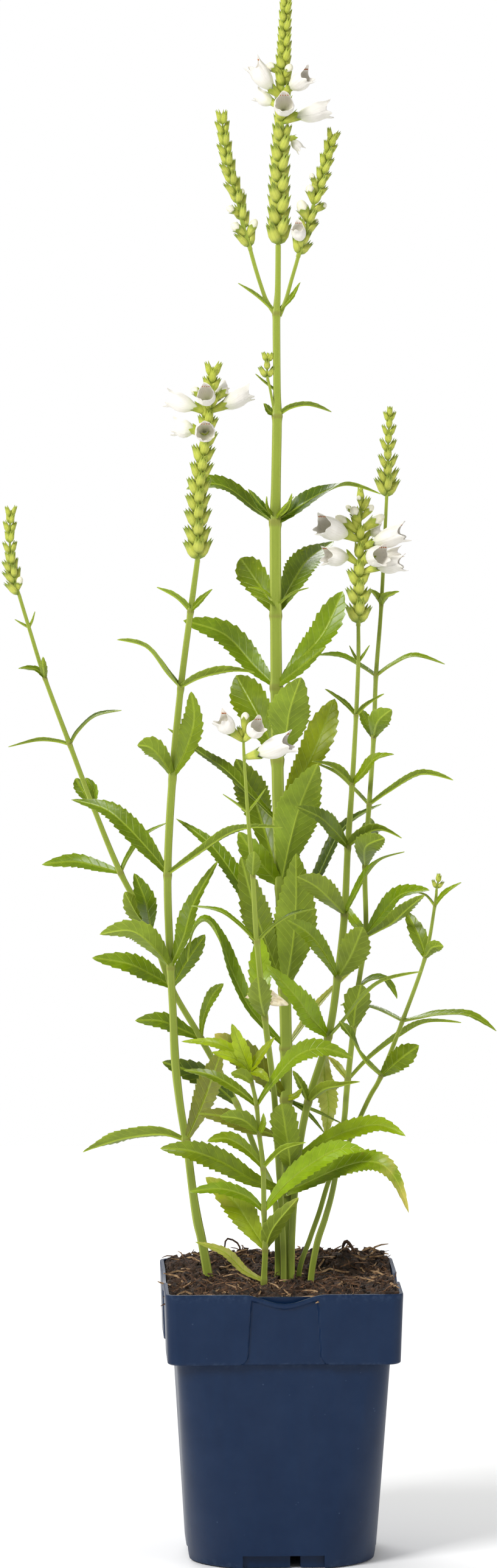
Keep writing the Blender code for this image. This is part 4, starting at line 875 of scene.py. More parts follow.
@dataclass
class Leaf:
    """One toothed leaf on a stem."""

    height: float
    width: float
    turns: tuple[float, float]
    peak: float
    points: Sequence[Row]
    tone: LeafTone = LeafTone.MID
    age: float = 0.0
    petiole: float = 2.2
    fold: float = 0.3
    wave: float = 0.13
    quilt: float = 0.16
    groove: float = 0.32
    keel: float = 0.75
    tooth_deep: float = 0.17
    tooth_space: float = 3.5
    teeth_from: float = 0.14
    teeth_along: float = 0.83
    columns: tuple[float, ...] = (0.0, 0.05, 0.2, 0.44, 0.7, 0.91, 1.0)

    def rows(self, length: float) -> tuple[np.ndarray, np.ndarray]:
        """The places of the rows of points along the blade.

        Args:
            length: the blade's length.

        Returns:
            The places from 0 to 1, and how deep the cut between two teeth is at each, from 0 to 1.
        """
        places = [0.0, 0.03, 0.07, 0.11]
        cuts = [0.0, 0.0, 0.0, 0.0]
        teeth = max(4, round(length * 0.82 / (self.tooth_space if self.width > 7 else 2.8)))
        for number in range(teeth):
            start = self.teeth_from + self.teeth_along * number / teeth
            step = self.teeth_along / teeth
            ease = min(1.0, 0.45 + number / teeth)
            for part, cut in ((0.0, 1.0), (0.45, 0.5), (0.84, 0.0)):
                places.append(start + step * part)
                cuts.append(cut * ease)
        places += [0.978, 0.992, 1.0]
        cuts += [0.5, 0.2, 0.0]
        return np.array(places), np.array(cuts)

    def half_width(self, share: np.ndarray) -> np.ndarray:
        """Half the blade's width.

        Args:
            share: places along the blade from 0 to 1.

        Returns:
            Half the width at each place.
        """
        start = min(self.petiole, self.width * 0.8)
        rise = np.sin(np.pi / 2 * np.minimum(share / self.peak, 1.0)) ** 1.4
        fall = np.maximum((share - self.peak) / (1 - self.peak), 0.0)
        return np.where(share < self.peak, (start + (self.width - start) * rise) / 2,
                        self.width / 2 * (1 - fall ** 1.7))

    def frames(self, line: np.ndarray, share: np.ndarray) -> tuple[np.ndarray, np.ndarray, np.ndarray]:
        """The midrib and the blade's own directions along it.

        Args:
            line: the noted points of the midrib.
            share: places along it from 0 to 1.

        Returns:
            The midrib's points, the ways across the blade, and the ways that its upper face looks.
        """
        ahead = unit(line_at(line, share + 0.04) - line_at(line, share - 0.04))
        level = np.array([1.0, 0.0, 1.0])
        depth = np.array([0.0, 1.0, 0.0])
        whole = unit((line[-1] - line[0]) * level)
        upwards = 1.0 if np.cross(whole, depth)[2] > 0 else -1.0
        side = unit(np.cross(ahead * level + whole * 0.3, depth)) * upwards
        front = unit(np.cross(ahead, side)) * upwards
        angle = np.radians(between(self.turns, share))[:, None]
        top = front * np.cos(angle) + side * np.sin(angle)
        return line_at(line, share), unit(np.cross(top, ahead)), top

    def grow(self, root: np.ndarray, luck: np.random.Generator) -> Shape:
        """Make the leaf.

        Args:
            root: where it leaves the middle of its stem.
            luck: the source of its small differences.

        Returns:
            Its shape, with the values that its finish reads.
        """
        line = np.vstack([root] + [spread(point) for point in self.points])
        length = float(np.linalg.norm(np.diff(line, axis=0), axis=1).sum())
        share, cut = self.rows(length)
        centre, wide, top = self.frames(line, share)
        half = np.maximum(self.half_width(share), 0.05)[:, None]
        along = share[:, None]
        steps = np.array([-step for step in self.columns[:0:-1]] + list(self.columns))
        rim = np.abs(steps)
        tooth = np.minimum(self.tooth_deep, 1.05 / np.maximum(half, 1.0)) * cut[:, None]
        reach = half * steps * (1 - tooth * np.clip((rim - 0.7) / 0.3, 0.0, 1.0) ** 0.7)
        waves = luck.uniform(1.3, 2.6)
        ripple = np.sin(2 * np.pi * (along * waves + luck.uniform() + (steps > 0) * luck.uniform(0.2, 0.6)))
        rise = half * (self.fold * rim ** 1.25 + self.wave * ripple * rim ** 2 * along)
        course = along * length - np.abs(reach) * LeafFinish.slant
        veins = np.cos(2 * np.pi * course / LeafFinish.vein_space)
        rise -= self.quilt * veins * np.sin(np.pi * rim) * np.minimum(half / 6, 1.0)
        thick = (0.42 - 0.22 * along) * (1 - 0.7 * rim ** 2) + 0.05
        groove = self.groove * (1 - 0.7 * along) * (rim < 0.01)
        keel = self.keel * (1 - 0.75 * along) * (rim < 0.01)
        base = centre[:, None] + wide[:, None] * reach[..., None]
        upper = base + top[:, None] * (rise + thick / 2 - groove)[..., None]
        lower = base + top[:, None] * (rise - thick / 2 - keel)[..., None]
        points = np.concatenate([upper, lower[:, ::-1]], axis=1).reshape(-1, 3)
        full = np.ones((share.size, steps.size))
        shade = 0.97 + luck.uniform(-0.22, 0.22)
        warm = 1 + np.array([0.5, 0.0, 0.2]) * luck.uniform(-0.12, 0.12)
        tint = np.array(self.tone.value) * shade * warm
        values = {
            "across": there_and_back(reach, 1),
            "along": there_and_back(full * along * length, 1),
            "share": there_and_back(full * along, 1),
            "edge": there_and_back(full * rim, 1),
            "below": np.concatenate([0 * full, full], axis=1).ravel(),
            "age": np.full(len(points), self.age),
            "tint": np.tile(tint, (len(points), 1)),
        }
        return Shape(points, ring_faces(share.size, 2 * steps.size), values)


class NodeGarden:
    """A tree of Geometry Nodes that reads a geometry and named inputs, and the ways to add nodes to it."""

    def __init__(self, name: str, inputs: dict[str, str]) -> None:
        """Make the tree.

        Args:
            name: its name.
            inputs: the kinds of its inputs by name, beside the geometry; one of them is Finish.
        """
        self.tree = bpy.data.node_groups.new(name, "GeometryNodeTree")
        for key, kind in {"Geometry": "Geometry", **inputs}.items():
            self.tree.interface.new_socket(key, in_out="INPUT", socket_type="NodeSocket" + kind)
        self.tree.interface.new_socket("Geometry", in_out="OUTPUT", socket_type="NodeSocketGeometry")
        self.start = self.node("NodeGroupInput")

    def node(self, kind: str, settings: dict | None = None, sockets: dict | None = None,
             first: dict | None = None) -> Node:
        """Add a node.

        Args:
            kind: its type.
            settings: its own settings.
            sockets: values, or sockets of other nodes, by socket name or number.
            first: choices that newer versions hold in a menu socket and older ones in a setting.

        Returns:
            The node.
        """
        made = self.tree.nodes.new(kind)
        for key, value in (settings or {}).items():
            setattr(made, key, value)
        for key, value in (first or {}).items():
            if key in made.inputs:
                made.inputs[key].default_value = value
            else:
                setattr(made, key.lower(), value)
        for key, value in (sockets or {}).items():
            if isinstance(value, NodeSocket):
                self.tree.links.new(value, made.inputs[key])
            else:
                made.inputs[key].default_value = value
        return made

    def given(self, name: str) -> NodeSocket:
        """One of the tree's inputs."""
        return self.start.outputs[name]

    def named(self, name: str, kind: str) -> NodeSocket:
        """A value that the mesh holds under a name."""
        return self.node("GeometryNodeInputNamedAttribute", {"data_type": kind},
                         {"Name": name}).outputs["Attribute"]

    def finish(self, geometry: NodeSocket) -> NodeTree:
        """Make the geometry plain, give it the finish and send it out.

        Args:
            geometry: the socket that it comes from.

        Returns:
            The finished tree.
        """
        real = self.node("GeometryNodeRealizeInstances", sockets={"Geometry": geometry})
        dressed = self.node("GeometryNodeSetMaterial", sockets={
            "Geometry": real.outputs[0], "Material": self.given("Finish")})
        self.node("NodeGroupOutput", sockets={0: dressed.outputs[0]})
        return self.tree


@dataclass(frozen=True)
class StemSweep:
    """A tree of Geometry Nodes that sweeps a square with round corners along a line of points."""

    corner: float = 0.42
    steps: int = 3

    def build(self) -> NodeTree:
        """Make the tree.

        Returns:
            The tree, which reads girth, facing, joint and tall on the line's points.
        """
        grow = NodeGarden("stem_sweep", {"Corner": "Float", "Finish": "Material"})
        line = grow.node("GeometryNodeMeshToCurve", sockets={"Mesh": grow.given("Geometry")})
        normal = grow.node("GeometryNodeSetCurveNormal", sockets={
            "Curve": line.outputs[0], "Normal": grow.named("facing", "FLOAT_VECTOR")},
            first={"Mode": "FREE"})
        girth = grow.named("girth", "FLOAT")
        wide = grow.node("GeometryNodeSetCurveRadius",
                         sockets={"Curve": normal.outputs[0], "Radius": girth})
        square = grow.node("GeometryNodeCurvePrimitiveQuadrilateral", sockets={"Width": 2.0, "Height": 2.0})
        rounded = grow.node("GeometryNodeFilletCurve", sockets={
            "Curve": square.outputs[0], "Count": self.steps, "Radius": grow.given("Corner")},
            first={"Mode": "POLY"})
        spot = grow.node("GeometryNodeInputPosition")
        reach = grow.node("ShaderNodeVectorMath", {"operation": "LENGTH"}, {0: spot.outputs[0]})
        corner = grow.node("ShaderNodeMapRange", sockets={
            "Value": reach.outputs["Value"], "From Min": 1.0, "From Max": 1.24})
        marked = grow.node("GeometryNodeStoreNamedAttribute", {"data_type": "FLOAT", "domain": "POINT"}, {
            "Geometry": rounded.outputs[0], "Name": "corner", "Value": corner.outputs[0]})
        swept = grow.node("GeometryNodeCurveToMesh", sockets={
            "Curve": wide.outputs[0], "Profile Curve": marked.outputs[0], "Fill Caps": True})
        if "Scale" in swept.inputs:
            grow.tree.links.new(girth, swept.inputs["Scale"])
        return grow.finish(swept.outputs[0])


def plain_mesh(made: Object) -> Mesh:
    """Copy an object's mesh as its modifiers leave it.

    Args:
        made: the object.

    Returns:
        The plain mesh.
    """
    graph = bpy.context.evaluated_depsgraph_get()
    return bpy.data.meshes.new_from_object(made.evaluated_get(graph), preserve_all_data_layers=True,
                                           depsgraph=graph)


def run_nodes(source: Object, tree: NodeTree, inputs: dict[str, object]) -> Mesh:
    """Run a tree of Geometry Nodes on an object and take the plain mesh that it makes.

    Args:
        source: the object, which is removed afterwards.
        tree: the tree.
        inputs: its inputs by name.

    Returns:
        The mesh.
    """
    change = source.modifiers.new("grow", "NODES")
    change.node_group = tree
    sockets = {item.name: item.identifier for item in tree.interface.items_tree
               if item.item_type == "SOCKET" and item.in_out == "INPUT"}
    for name, value in inputs.items():
        change[sockets[name]] = value
    mesh = plain_mesh(source)
    old = source.data
    bpy.data.objects.remove(source, do_unlink=True)
    bpy.data.meshes.remove(old)
    return mesh


def point_cloud(name: str, points: np.ndarray, values: dict[str, np.ndarray],
                edges: Iterable[tuple[int, int]] = ()) -> Object:
    """Make an object of bare points or of a line, for Geometry Nodes to start from.

    Args:
        name: the object's name.
        points: its points in metres.
        values: numbers or vectors for each point, by name.
        edges: pairs of point numbers that are joined.

    Returns:
        The object.
    """
    mesh = bpy.data.meshes.new(name)
    mesh.from_pydata(points.tolist(), list(edges), [])
    for key, value in values.items():
        wide = value.ndim == 2
        made = mesh.attributes.new(key, "FLOAT_VECTOR" if wide else "FLOAT", "POINT")
        made.data.foreach_set("vector" if wide else "value", value.ravel())
    return add_object(name, mesh)


def frame_of(direction: np.ndarray) -> tuple[np.ndarray, np.ndarray]:
    """Two directions square to a given one.

    Args:
        direction: the given one, of length 1.

    Returns:
        A direction to the side, and one towards the eye.
    """
    side = np.cross(direction, np.array([0.0, 1.0, 0.0]))
    side = unit(side) if np.linalg.norm(side) > 1e-4 else np.array([1.0, 0.0, 0.0])
    return side, unit(np.cross(direction, side))


@dataclass
class Stalk:
    """A stem, branch or spike axis: a smooth line with a width at each noted point."""

    route: Sequence[Row]
    joints: Sequence[float] = ()
    as_noted: bool = False
    step: float = 1.6
    joint_half: float = 1.7
    joint_swell: float = 0.2
    tallest: float = 700.0

    def __post_init__(self) -> None:
        """Work out the smooth line and its width, swollen at the joints."""
        line = np.array([at(point) if self.as_noted else spread(point) for point in self.route])
        length = float(np.linalg.norm(np.diff(line, axis=0), axis=1).sum())
        shares = np.linspace(0.0, 1.0, max(6, int(length / self.step)))
        self.line = line_at(line, shares)
        widths = np.array([[point[3], 0.0, 0.0] for point in self.route])
        self.half = line_at(widths, shares)[:, 0] / 2
        self.joint = np.zeros(len(shares))
        for height in set(self.joints):
            swell = np.exp(-((self.line[:, 2] - height) / self.joint_half) ** 2)
            self.joint = np.maximum(self.joint, swell)

    def root(self, height: float) -> np.ndarray:
        """The middle of the stalk at a height."""
        heights = self.line[:, 2]
        return np.array([np.interp(height, heights, self.line[:, axis]) for axis in range(3)])

    def build(self, sweep: NodeTree, finish: Material) -> Object:
        """Sweep the stalk along its line.

        Args:
            sweep: the tree that sweeps stems.
            finish: the stalk's finish.

        Returns:
            The stalk as an object.
        """
        ahead = unit(np.gradient(self.line, axis=0))
        facing = np.array([frame_of(way)[1] for way in ahead])
        source = point_cloud("stalk", EYE.place(self.line), {
            "girth": self.half * (1 + self.joint_swell * self.joint) * MM,
            "facing": EYE.turned(facing),
            "joint": self.joint,
            "tall": self.line[:, 2] / self.tallest,
        }, [(number, number + 1) for number in range(len(self.line) - 1)])
        mesh = run_nodes(source, sweep, {"Corner": StemSweep.corner, "Finish": finish})
        return finish_mesh("stalk", mesh, (), 60.0)


def join(name: str, pieces: Sequence[Object]) -> Object:
    """Join objects into the first one and name it.

    Args:
        name: the new name.
        pieces: the objects.

    Returns:
        The joined object.
    """
    with bpy.context.temp_override(active_object=pieces[0], object=pieces[0], selected_objects=list(pieces),
                                   selected_editable_objects=list(pieces)):
        bpy.ops.object.join()
    pieces[0].name = name
    pieces[0].data.name = name
    return pieces[0]


@dataclass
class LeafyStem:
    """A stem of the plant with its leaves, and branches if it has any."""

    name: str
    route: Sequence[Row]
    leaves: Sequence[Row]
    branches: Sequence[Sequence[Row]] = ()
    tones: dict[tuple[float, float], tuple[LeafTone, float]] = field(default_factory=dict)

    def tone_of(self, leaf: Leaf, luck: np.random.Generator) -> LeafTone:
        """The tone of a leaf where none is noted, by its height and by which face it shows.

        Args:
            leaf: the leaf.
            luck: the source of the choice.

        Returns:
            The tone.
        """
        chance = luck.uniform()
        if leaf.turns[0] > 130:
            return LeafTone.GREY if chance < 0.4 else LeafTone.MID
        if leaf.height > 480:
            return LeafTone.DARK if chance < 0.5 else LeafTone.MID
        return LeafTone.MID if chance < 0.66 else LeafTone.FRESH if chance < 0.88 else LeafTone.DARK

    def build(self, sweep: NodeTree, stem_finish: Material,
              leaf_finish: Material, shoots: Sequence[Object]) -> Object:
        """Make the piece.

        Args:
            sweep: the tree that sweeps stems.
            stem_finish: the finish of stems.
            leaf_finish: the finish of leaves.
            shoots: other objects that grow on this stem and become part of it.

        Returns:
            The joined object.
        """
        luck = np.random.default_rng(sum(map(ord, self.name)))
        stalk = Stalk(self.route, [row[0] for row in self.leaves if row[1] > 3.0])
        stalks = (stalk, *(Stalk(branch) for branch in self.branches))
        pieces = [part.build(sweep, stem_finish) for part in stalks]
        skin = Skin()
        for height, width, turns, peak, *points in self.leaves:
            leaf = Leaf(height, width, turns, peak, points)
            leaf.tone = self.tone_of(leaf, luck)
            leaf.age = max(0.0, 0.5 - (height - 120) / 360) * luck.uniform(0.3, 1.0)
            if (height, width) in self.tones:
                leaf.tone, leaf.age = self.tones[height, width]
            skin.add(leaf.grow(stalk.root(height), luck))
        pieces.append(skin.build("leaves", [leaf_finish], 75.0))
        return join(self.name + "_dressed", pieces + list(shoots))


@dataclass(frozen=True)
class Cup:
    """One calyx of length 1 along Z and half width 1: a plump toothed cup with a bract at its foot."""

    sides: int = 10
    belly: tuple[Row, ...] = ((0.0, 0.3), (0.2, 0.86), (0.46, 1.0), (0.72, 0.84), (0.86, 0.62))
    tooth: float = 1.2
    tooth_out: float = 0.64
    floor: float = 0.7

    def shape(self) -> Shape:
        """The cup as points and faces.

        Returns:
            The shape, with share along its height and round about it.
        """
        angles = np.arange(self.sides) * 2 * np.pi / self.sides
        points, share, turn = [], [], []
        for number, (height, wide) in enumerate(self.belly):
            last = number == len(self.belly) - 1
            for step, angle in enumerate(angles):
                tip = last and step % 2 == 0
                radius = self.tooth_out if tip else wide
                lift = self.tooth if tip else height
                points.append((radius * math.cos(angle), radius * math.sin(angle), lift))
                share.append(1.0 if tip else height)
                turn.append(step / self.sides)
        faces = ring_faces(len(self.belly), self.sides, closed=False)
        faces.append(tuple(reversed(range(self.sides))))
        first = (len(self.belly) - 1) * self.sides
        points.append((0.0, 0.0, self.floor))
        share.append(0.5)
        turn.append(0.0)
        faces += [(first + step, first + (step + 1) % self.sides, len(points) - 1)
                  for step in range(self.sides)]
        foot = len(points)
        points += [(-0.35, -0.3, -0.05), (0.35, -0.3, -0.05), (0.0, -0.15, 0.0), (0.0, -0.5, -0.1),
                   (-0.52, -0.86, 0.18), (0.52, -0.86, 0.18), (0.0, -0.8, 0.2), (0.0, -1.04, 0.16),
                   (0.0, -1.26, 0.6)]
        share += [0.0] * 9
        turn += [0.0] * 9
        faces += [tuple(foot + number for number in face) for face in (
            (0, 2, 6, 4), (2, 1, 5, 6), (1, 3, 7, 5), (3, 0, 4, 7),
            (4, 6, 8), (6, 5, 8), (5, 7, 8), (7, 4, 8), (0, 3, 1, 2))]
        return Shape(np.array(points), faces, {"share": np.array(share), "round": np.array(turn)})


PLUMP_CUP = Cup()
OPEN_CUP = Cup(belly=((0.0, 0.34), (0.25, 0.62), (0.55, 0.8), (0.8, 0.98), (0.92, 1.06)), tooth=1.14,
               tooth_out=1.28, floor=0.5)


@dataclass(frozen=True)
class CupScatter:
    """A tree of Geometry Nodes that sets a form on every point, turned and sized as the point says."""

    def build(self) -> NodeTree:
        """Make the tree.

        Returns:
            The tree, which reads turn and size on the points.
        """
        grow = NodeGarden("cup_scatter", {"Form": "Object", "Finish": "Material"})
        form = grow.node("GeometryNodeObjectInfo", sockets={"Object": grow.given("Form")})
        turn = grow.node("FunctionNodeEulerToRotation",
                         sockets={"Euler": grow.named("turn", "FLOAT_VECTOR")})
        cloud = grow.node("GeometryNodeMeshToPoints", sockets={"Mesh": grow.given("Geometry")})
        placed = grow.node("GeometryNodeInstanceOnPoints", sockets={
            "Points": cloud.outputs[0], "Instance": form.outputs["Geometry"], "Rotation": turn.outputs[0],
            "Scale": grow.named("size", "FLOAT_VECTOR")})
        return grow.finish(placed.outputs[0])


def form_object(name: str, shape: Shape) -> Object:
    """Make an object of a form that Geometry Nodes repeat.

    Args:
        name: its name.
        shape: the form, in the unit that its size is given in.

    Returns:
        The object.
    """
    skin = Skin(placed=False)
    skin.add(Shape(shape.points / MM, shape.faces, shape.values))
    return skin.build(name, (), 40.0)


@dataclass
class Flower:
    """One open flower: a tube that swells to a wide throat, a hood above and three lobes below."""

    base: Row
    mouth: Row
    girth: float
    throat: float = 3.9
    rows: int = 22
    around: int = 44
    wall: float = 0.16
    hood_reach: float = 5.0
    lobe_reach: float = 4.6
    wing_reach: float = 2.6
    notch_reach: float = -1.3
    wing_turn: float = 0.98
    places: Row = (0.0, 0.08, 0.2, 0.38, 0.55, 0.72, 0.88, 1.0, 1.4)
    widths: Row = (0.22, 0.34, 0.62, 0.96, 1.12, 1.16, 1.06, 0.98, 0.95)

    def grow(self, luck: np.random.Generator) -> tuple[Shape, list[Shape]]:
        """Make the flower.

        Args:
            luck: the source of its small differences.

        Returns:
            The petal tube, and its anthers.
        """
        base, mouth = at(self.base), at(self.mouth)
        direction = unit(mouth - base)
        length = float(np.linalg.norm(mouth - base))
        up = np.array([0.0, -1.0, 0.6]) if abs(direction[2]) > 0.85 else np.array([0.0, 0.0, 1.0])
        rise = unit(up - direction * (up @ direction))
        side = np.cross(direction, rise)
        radius = self.throat * self.girth
        angle = np.linspace(0, 2 * np.pi, self.around, endpoint=False)
        low = 3 * np.pi / 2
        hood = bell(angle, np.pi / 2, 0.95)
        lobe = bell(angle, low, 0.44)
        wings = bell(angle, low - self.wing_turn, 0.34) + bell(angle, low + self.wing_turn, 0.34)
        crimp = 0.25 * np.sin(angle * 9 + luck.uniform(0, 6)) * (lobe + wings)
        reach = self.notch_reach + self.hood_reach * hood + self.lobe_reach * lobe
        reach = reach + self.wing_reach * wings + crimp
        flare = 0.98 - 0.1 * hood + 0.34 * lobe + 0.26 * wings
        share = np.linspace(0.0, 1.0, self.rows) ** 0.9
        along = share[:, None] * (length + reach * self.girth)[None]
        part = along / length
        blend = smooth((part - 0.8) / 0.35)
        wide = np.interp(part, self.places, self.widths) * (1 - blend) + flare[None] * blend
        ruffle = luck.uniform(0.03, 0.06) * np.sin(angle * 11 + luck.uniform(0, 6))
        ruffle = ruffle[None] * smooth(part - 0.55) * (1 - hood)
        crease = 0.035 * np.sin(angle * 7 + share[:, None] * 5)
        hump = 0.2 * smooth((part - 1.0) / 0.4) * hood[None]
        wide = (wide + ruffle + crease * smooth(part)) * radius
        out = side * np.cos(angle)[:, None] + rise * np.sin(angle)[:, None]
        belly = -0.5 * np.sin(np.pi * np.clip(part, 0, 1)) * self.girth
        centre = base + direction * along[..., None] + rise * (belly + hump * radius)[..., None]
        outer = centre + out[None] * wide[..., None]
        inner = centre + out[None] * np.maximum(wide - self.wall, 0.05)[..., None]
        values = {"share": there_and_back(np.clip(along / (length * 1.35), 0, 1), 0),
                  "round": there_and_back(np.tile(angle / (2 * np.pi), (self.rows, 1)), 0)}
        high = base + direction * (length + 1.3 * self.girth) + rise * radius * 0.74
        anthers = [blob(high + side * radius * place, direction, 0.5 * self.girth, 0.26 * self.girth)
                   for place in (-0.42, -0.15, 0.15, 0.42)]
        points = np.concatenate([outer, inner[::-1]]).reshape(-1, 3)
        return Shape(points, ring_faces(2 * self.rows, self.around), values), anthers


def blob(centre: np.ndarray, direction: np.ndarray, half_length: float, half_wide: float, rows: int = 5,
         sides: int = 6) -> Shape:
    """A closed egg about a centre.

    Args:
        centre: its middle.
        direction: the way that its length points.
        half_length: half its length.
        half_wide: half its width.
        rows: the count of rings.
        sides: the count of sides.

    Returns:
        The shape, with its share along the length as a value.
    """
    first, second = frame_of(direction)
    turns = np.arange(sides) * 2 * np.pi / sides
    points, share = [], []
    for row in range(rows):
        lift = -math.cos(math.pi * (row + 0.25) / (rows - 0.5))
        wide = math.sqrt(max(1 - lift * lift, 0.02)) * half_wide
        ring = centre + direction * half_length * lift
        points += [ring + (first * math.cos(turn) + second * math.sin(turn)) * wide for turn in turns]
        share += [(lift + 1) / 2] * sides
    return Shape(np.array(points), ring_faces(rows, sides), {"share": np.array(share)})


@dataclass(frozen=True)
class CupSpot:
    """Where a cup stands: its foot, the way it points, the way across it, its length and half width."""

    foot: np.ndarray
    direction: np.ndarray
    across: np.ndarray
    length: float
    swell: float

    def turn(self) -> tuple[float, ...]:
        """The turn that lays the cup along its direction, in the object's space."""
        ways = (self.across, np.cross(self.direction, self.across), self.direction)
        return tuple(Matrix(np.column_stack([EYE.turned(way) for way in ways]).tolist()).to_euler())


@dataclass
class Spike:
    """A spike: its axis, the cups round it in turning pairs, its buds, and its open flowers."""

    name: str
    axis: Sequence[Row]
    spaces: tuple[float, float]
    lengths: tuple[float, float]
    swells: tuple[float, float]
    flowers: Sequence[tuple[Row, Row, float]] = ()
    buds: Sequence[tuple[Row, float, float]] = ()
    skipped: int = 0
    twist: float = 0.0
    tilts: tuple[float, float] = (31.0, 23.0)
    foot_rise: float = 0.6
    foot_out: float = 0.5
    dense: float = 0.95
    plump: float = 1.13
    sunk: float = 1.4
    crown: float = 0.97

    def __post_init__(self) -> None:
        """Work out the axis and its length."""
        self.points = np.array([at(point) for point in self.axis])
        self.long = float(np.linalg.norm(np.diff(self.points, axis=0), axis=1).sum())

    def in_flower(self, spot: np.ndarray, room: float) -> bool:
        """Whether an open flower is in the way at a spot.

        Args:
            spot: the spot.
            room: how far from the flower it has to lie.

        Returns:
            True where it lies nearer to a flower, or in one.
        """
        for start, end, girth in self.flowers:
            line = at(end) - at(start)
            part = min(max(float((spot - at(start)) @ line / (line @ line)), 0.0), 1.25)
            wide = Flower.throat * girth * (0.3 + 0.9 * part)
            if np.linalg.norm(spot - at(start) - line * part) < wide + room:
                return True
        return False

    def in_bud(self, spot: np.ndarray, room: float) -> bool:
        """Whether a bud lies nearer to a spot than the room given."""
        return any(np.linalg.norm(spot - at(centre)) <= half + room for centre, half, _ in self.buds)

    def frame(self, share: float) -> tuple[np.ndarray, np.ndarray, np.ndarray, np.ndarray]:
        """The axis at a share of its length.

        Args:
            share: the share, from 0 to 1.

        Returns:
            Its middle there, and its own directions: ahead, to the side and to the front.
        """
        centre, low, high = line_at(self.points, np.array([share, share - 0.02, share + 0.02]))
        ahead = unit(high - low)
        side, front = frame_of(ahead)
        turn = math.radians(self.twist)
        return (centre, ahead, side * math.cos(turn) + front * math.sin(turn),
                front * math.cos(turn) - side * math.sin(turn))

    def cups(self) -> list[CupSpot]:
        """Place the closed cups.

        Returns:
            Where they stand, from the foot to the crown.
        """
        found = []
        along, row = self.foot_rise, 0
        while along < self.long - self.foot_rise:
            share = along / self.long
            centre, ahead, side, front = self.frame(share)
            length = between(self.lengths, share) * self.plump
            swell = between(self.swells, share) * self.plump
            tilt = math.radians(between(self.tilts, share))
            ways = ((front, side), (side, -front), (-front, -side), (-side, front))
            for step, (out, across) in enumerate(ways):
                direction = unit(ahead * math.cos(tilt) + out * math.sin(tilt))
                ends = (centre + direction * length * 0.6, centre + direction * length)
                taken = any(self.in_flower(end, swell) for end in ends) or self.in_bud(ends[0], swell)
                if step % 2 != row % 2 and row >= self.skipped and not taken:
                    found.append(CupSpot(centre + out * self.foot_out, direction, across, length, swell))
            row += 1
            along += between(self.spaces, share) * self.dense
        centre, ahead, side, _ = self.frame(self.crown)
        found.append(CupSpot(centre, ahead, side, self.lengths[1] * 0.62, self.swells[1] * 0.7))
        return found

    def nearest(self, spot: np.ndarray, below: float) -> np.ndarray:
        """A point of the axis below a spot.

        Args:
            spot: the spot.
            below: how much lower than the nearest point it lies, along the axis.

        Returns:
            The point.
        """
        shares = np.arange(61) / 60
        places = line_at(self.points, shares)
        best = shares[int(np.argmin(np.linalg.norm(places - spot, axis=1)))]
        return line_at(self.points, np.array([max(best - below / self.long, 0.01)]))[0]

    def holder(self, spot: np.ndarray, end: np.ndarray | None, swell: float) -> CupSpot:
        """The open cup that holds a flower or a bud.

        Args:
            spot: where the flower leaves the cup, or the bud's middle.
            end: the flower's mouth, or nothing for a bud.
            swell: the cup's half width.

        Returns:
            Where it stands.
        """
        below = 4.5 if end is None else 3.0
        if end is not None and unit(end - spot)[2] < -0.3:
            below = 0.3
        root = self.nearest(spot, below)
        direction = unit(spot - root)
        length = float(np.linalg.norm(spot - root)) + (0.0 if end is None else 1.9)
        return CupSpot(root, direction, frame_of(direction)[0], length, swell)

    def stalk(self) -> Stalk:
        """The axis as a stalk, thinner to its tip.

        Returns:
            The stalk, which starts a little inside the stem below.
        """
        wide = 2.1 if self.long > 50 else 1.6 if self.long > 12 else 1.1
        foot = np.array(self.axis[0], float)
        foot += unit(foot - np.array(self.axis[1], float)) * self.sunk
        line = [tuple(foot), *self.axis[1:]]
        last = len(line) - 1
        route = [(*point, wide + (0.8 - wide) * number / last) for number, point in enumerate(line)]
        return Stalk(route, as_noted=True)

    def dress(self, group: Sequence[CupSpot], form: Object, scatter: NodeTree,
              finish: Material, luck: np.random.Generator) -> Object:
        """Set cups on spots.

        Args:
            group: the spots.
            form: the cup's form.
            scatter: the tree that sets it on them.
            finish: the cups' finish.
            luck: the source of their small differences.

        Returns:
            The cups as one object.
        """
        whole = self.points[-1] - self.points[0]
        sizes, fresh = [], []
        for cup in group:
            size = luck.uniform(0.93, 1.07)
            sizes.append((cup.swell * 1.04 * size, cup.swell * 0.98 * size,
                          cup.length * luck.uniform(0.95, 1.05)))
            share = float(np.clip((cup.foot - self.points[0]) @ whole / self.long ** 2, 0, 1))
            fresh.append(share * 0.8 + luck.uniform(0, 0.4))
        source = point_cloud("cups", EYE.place(np.array([cup.foot for cup in group])), {
            "turn": np.array([cup.turn() for cup in group]),
            "size": np.array(sizes) * MM,
            "fresh": np.array(fresh)})
        return finish_mesh("cups", run_nodes(source, scatter, {"Form": form, "Finish": finish}), (), 40.0)

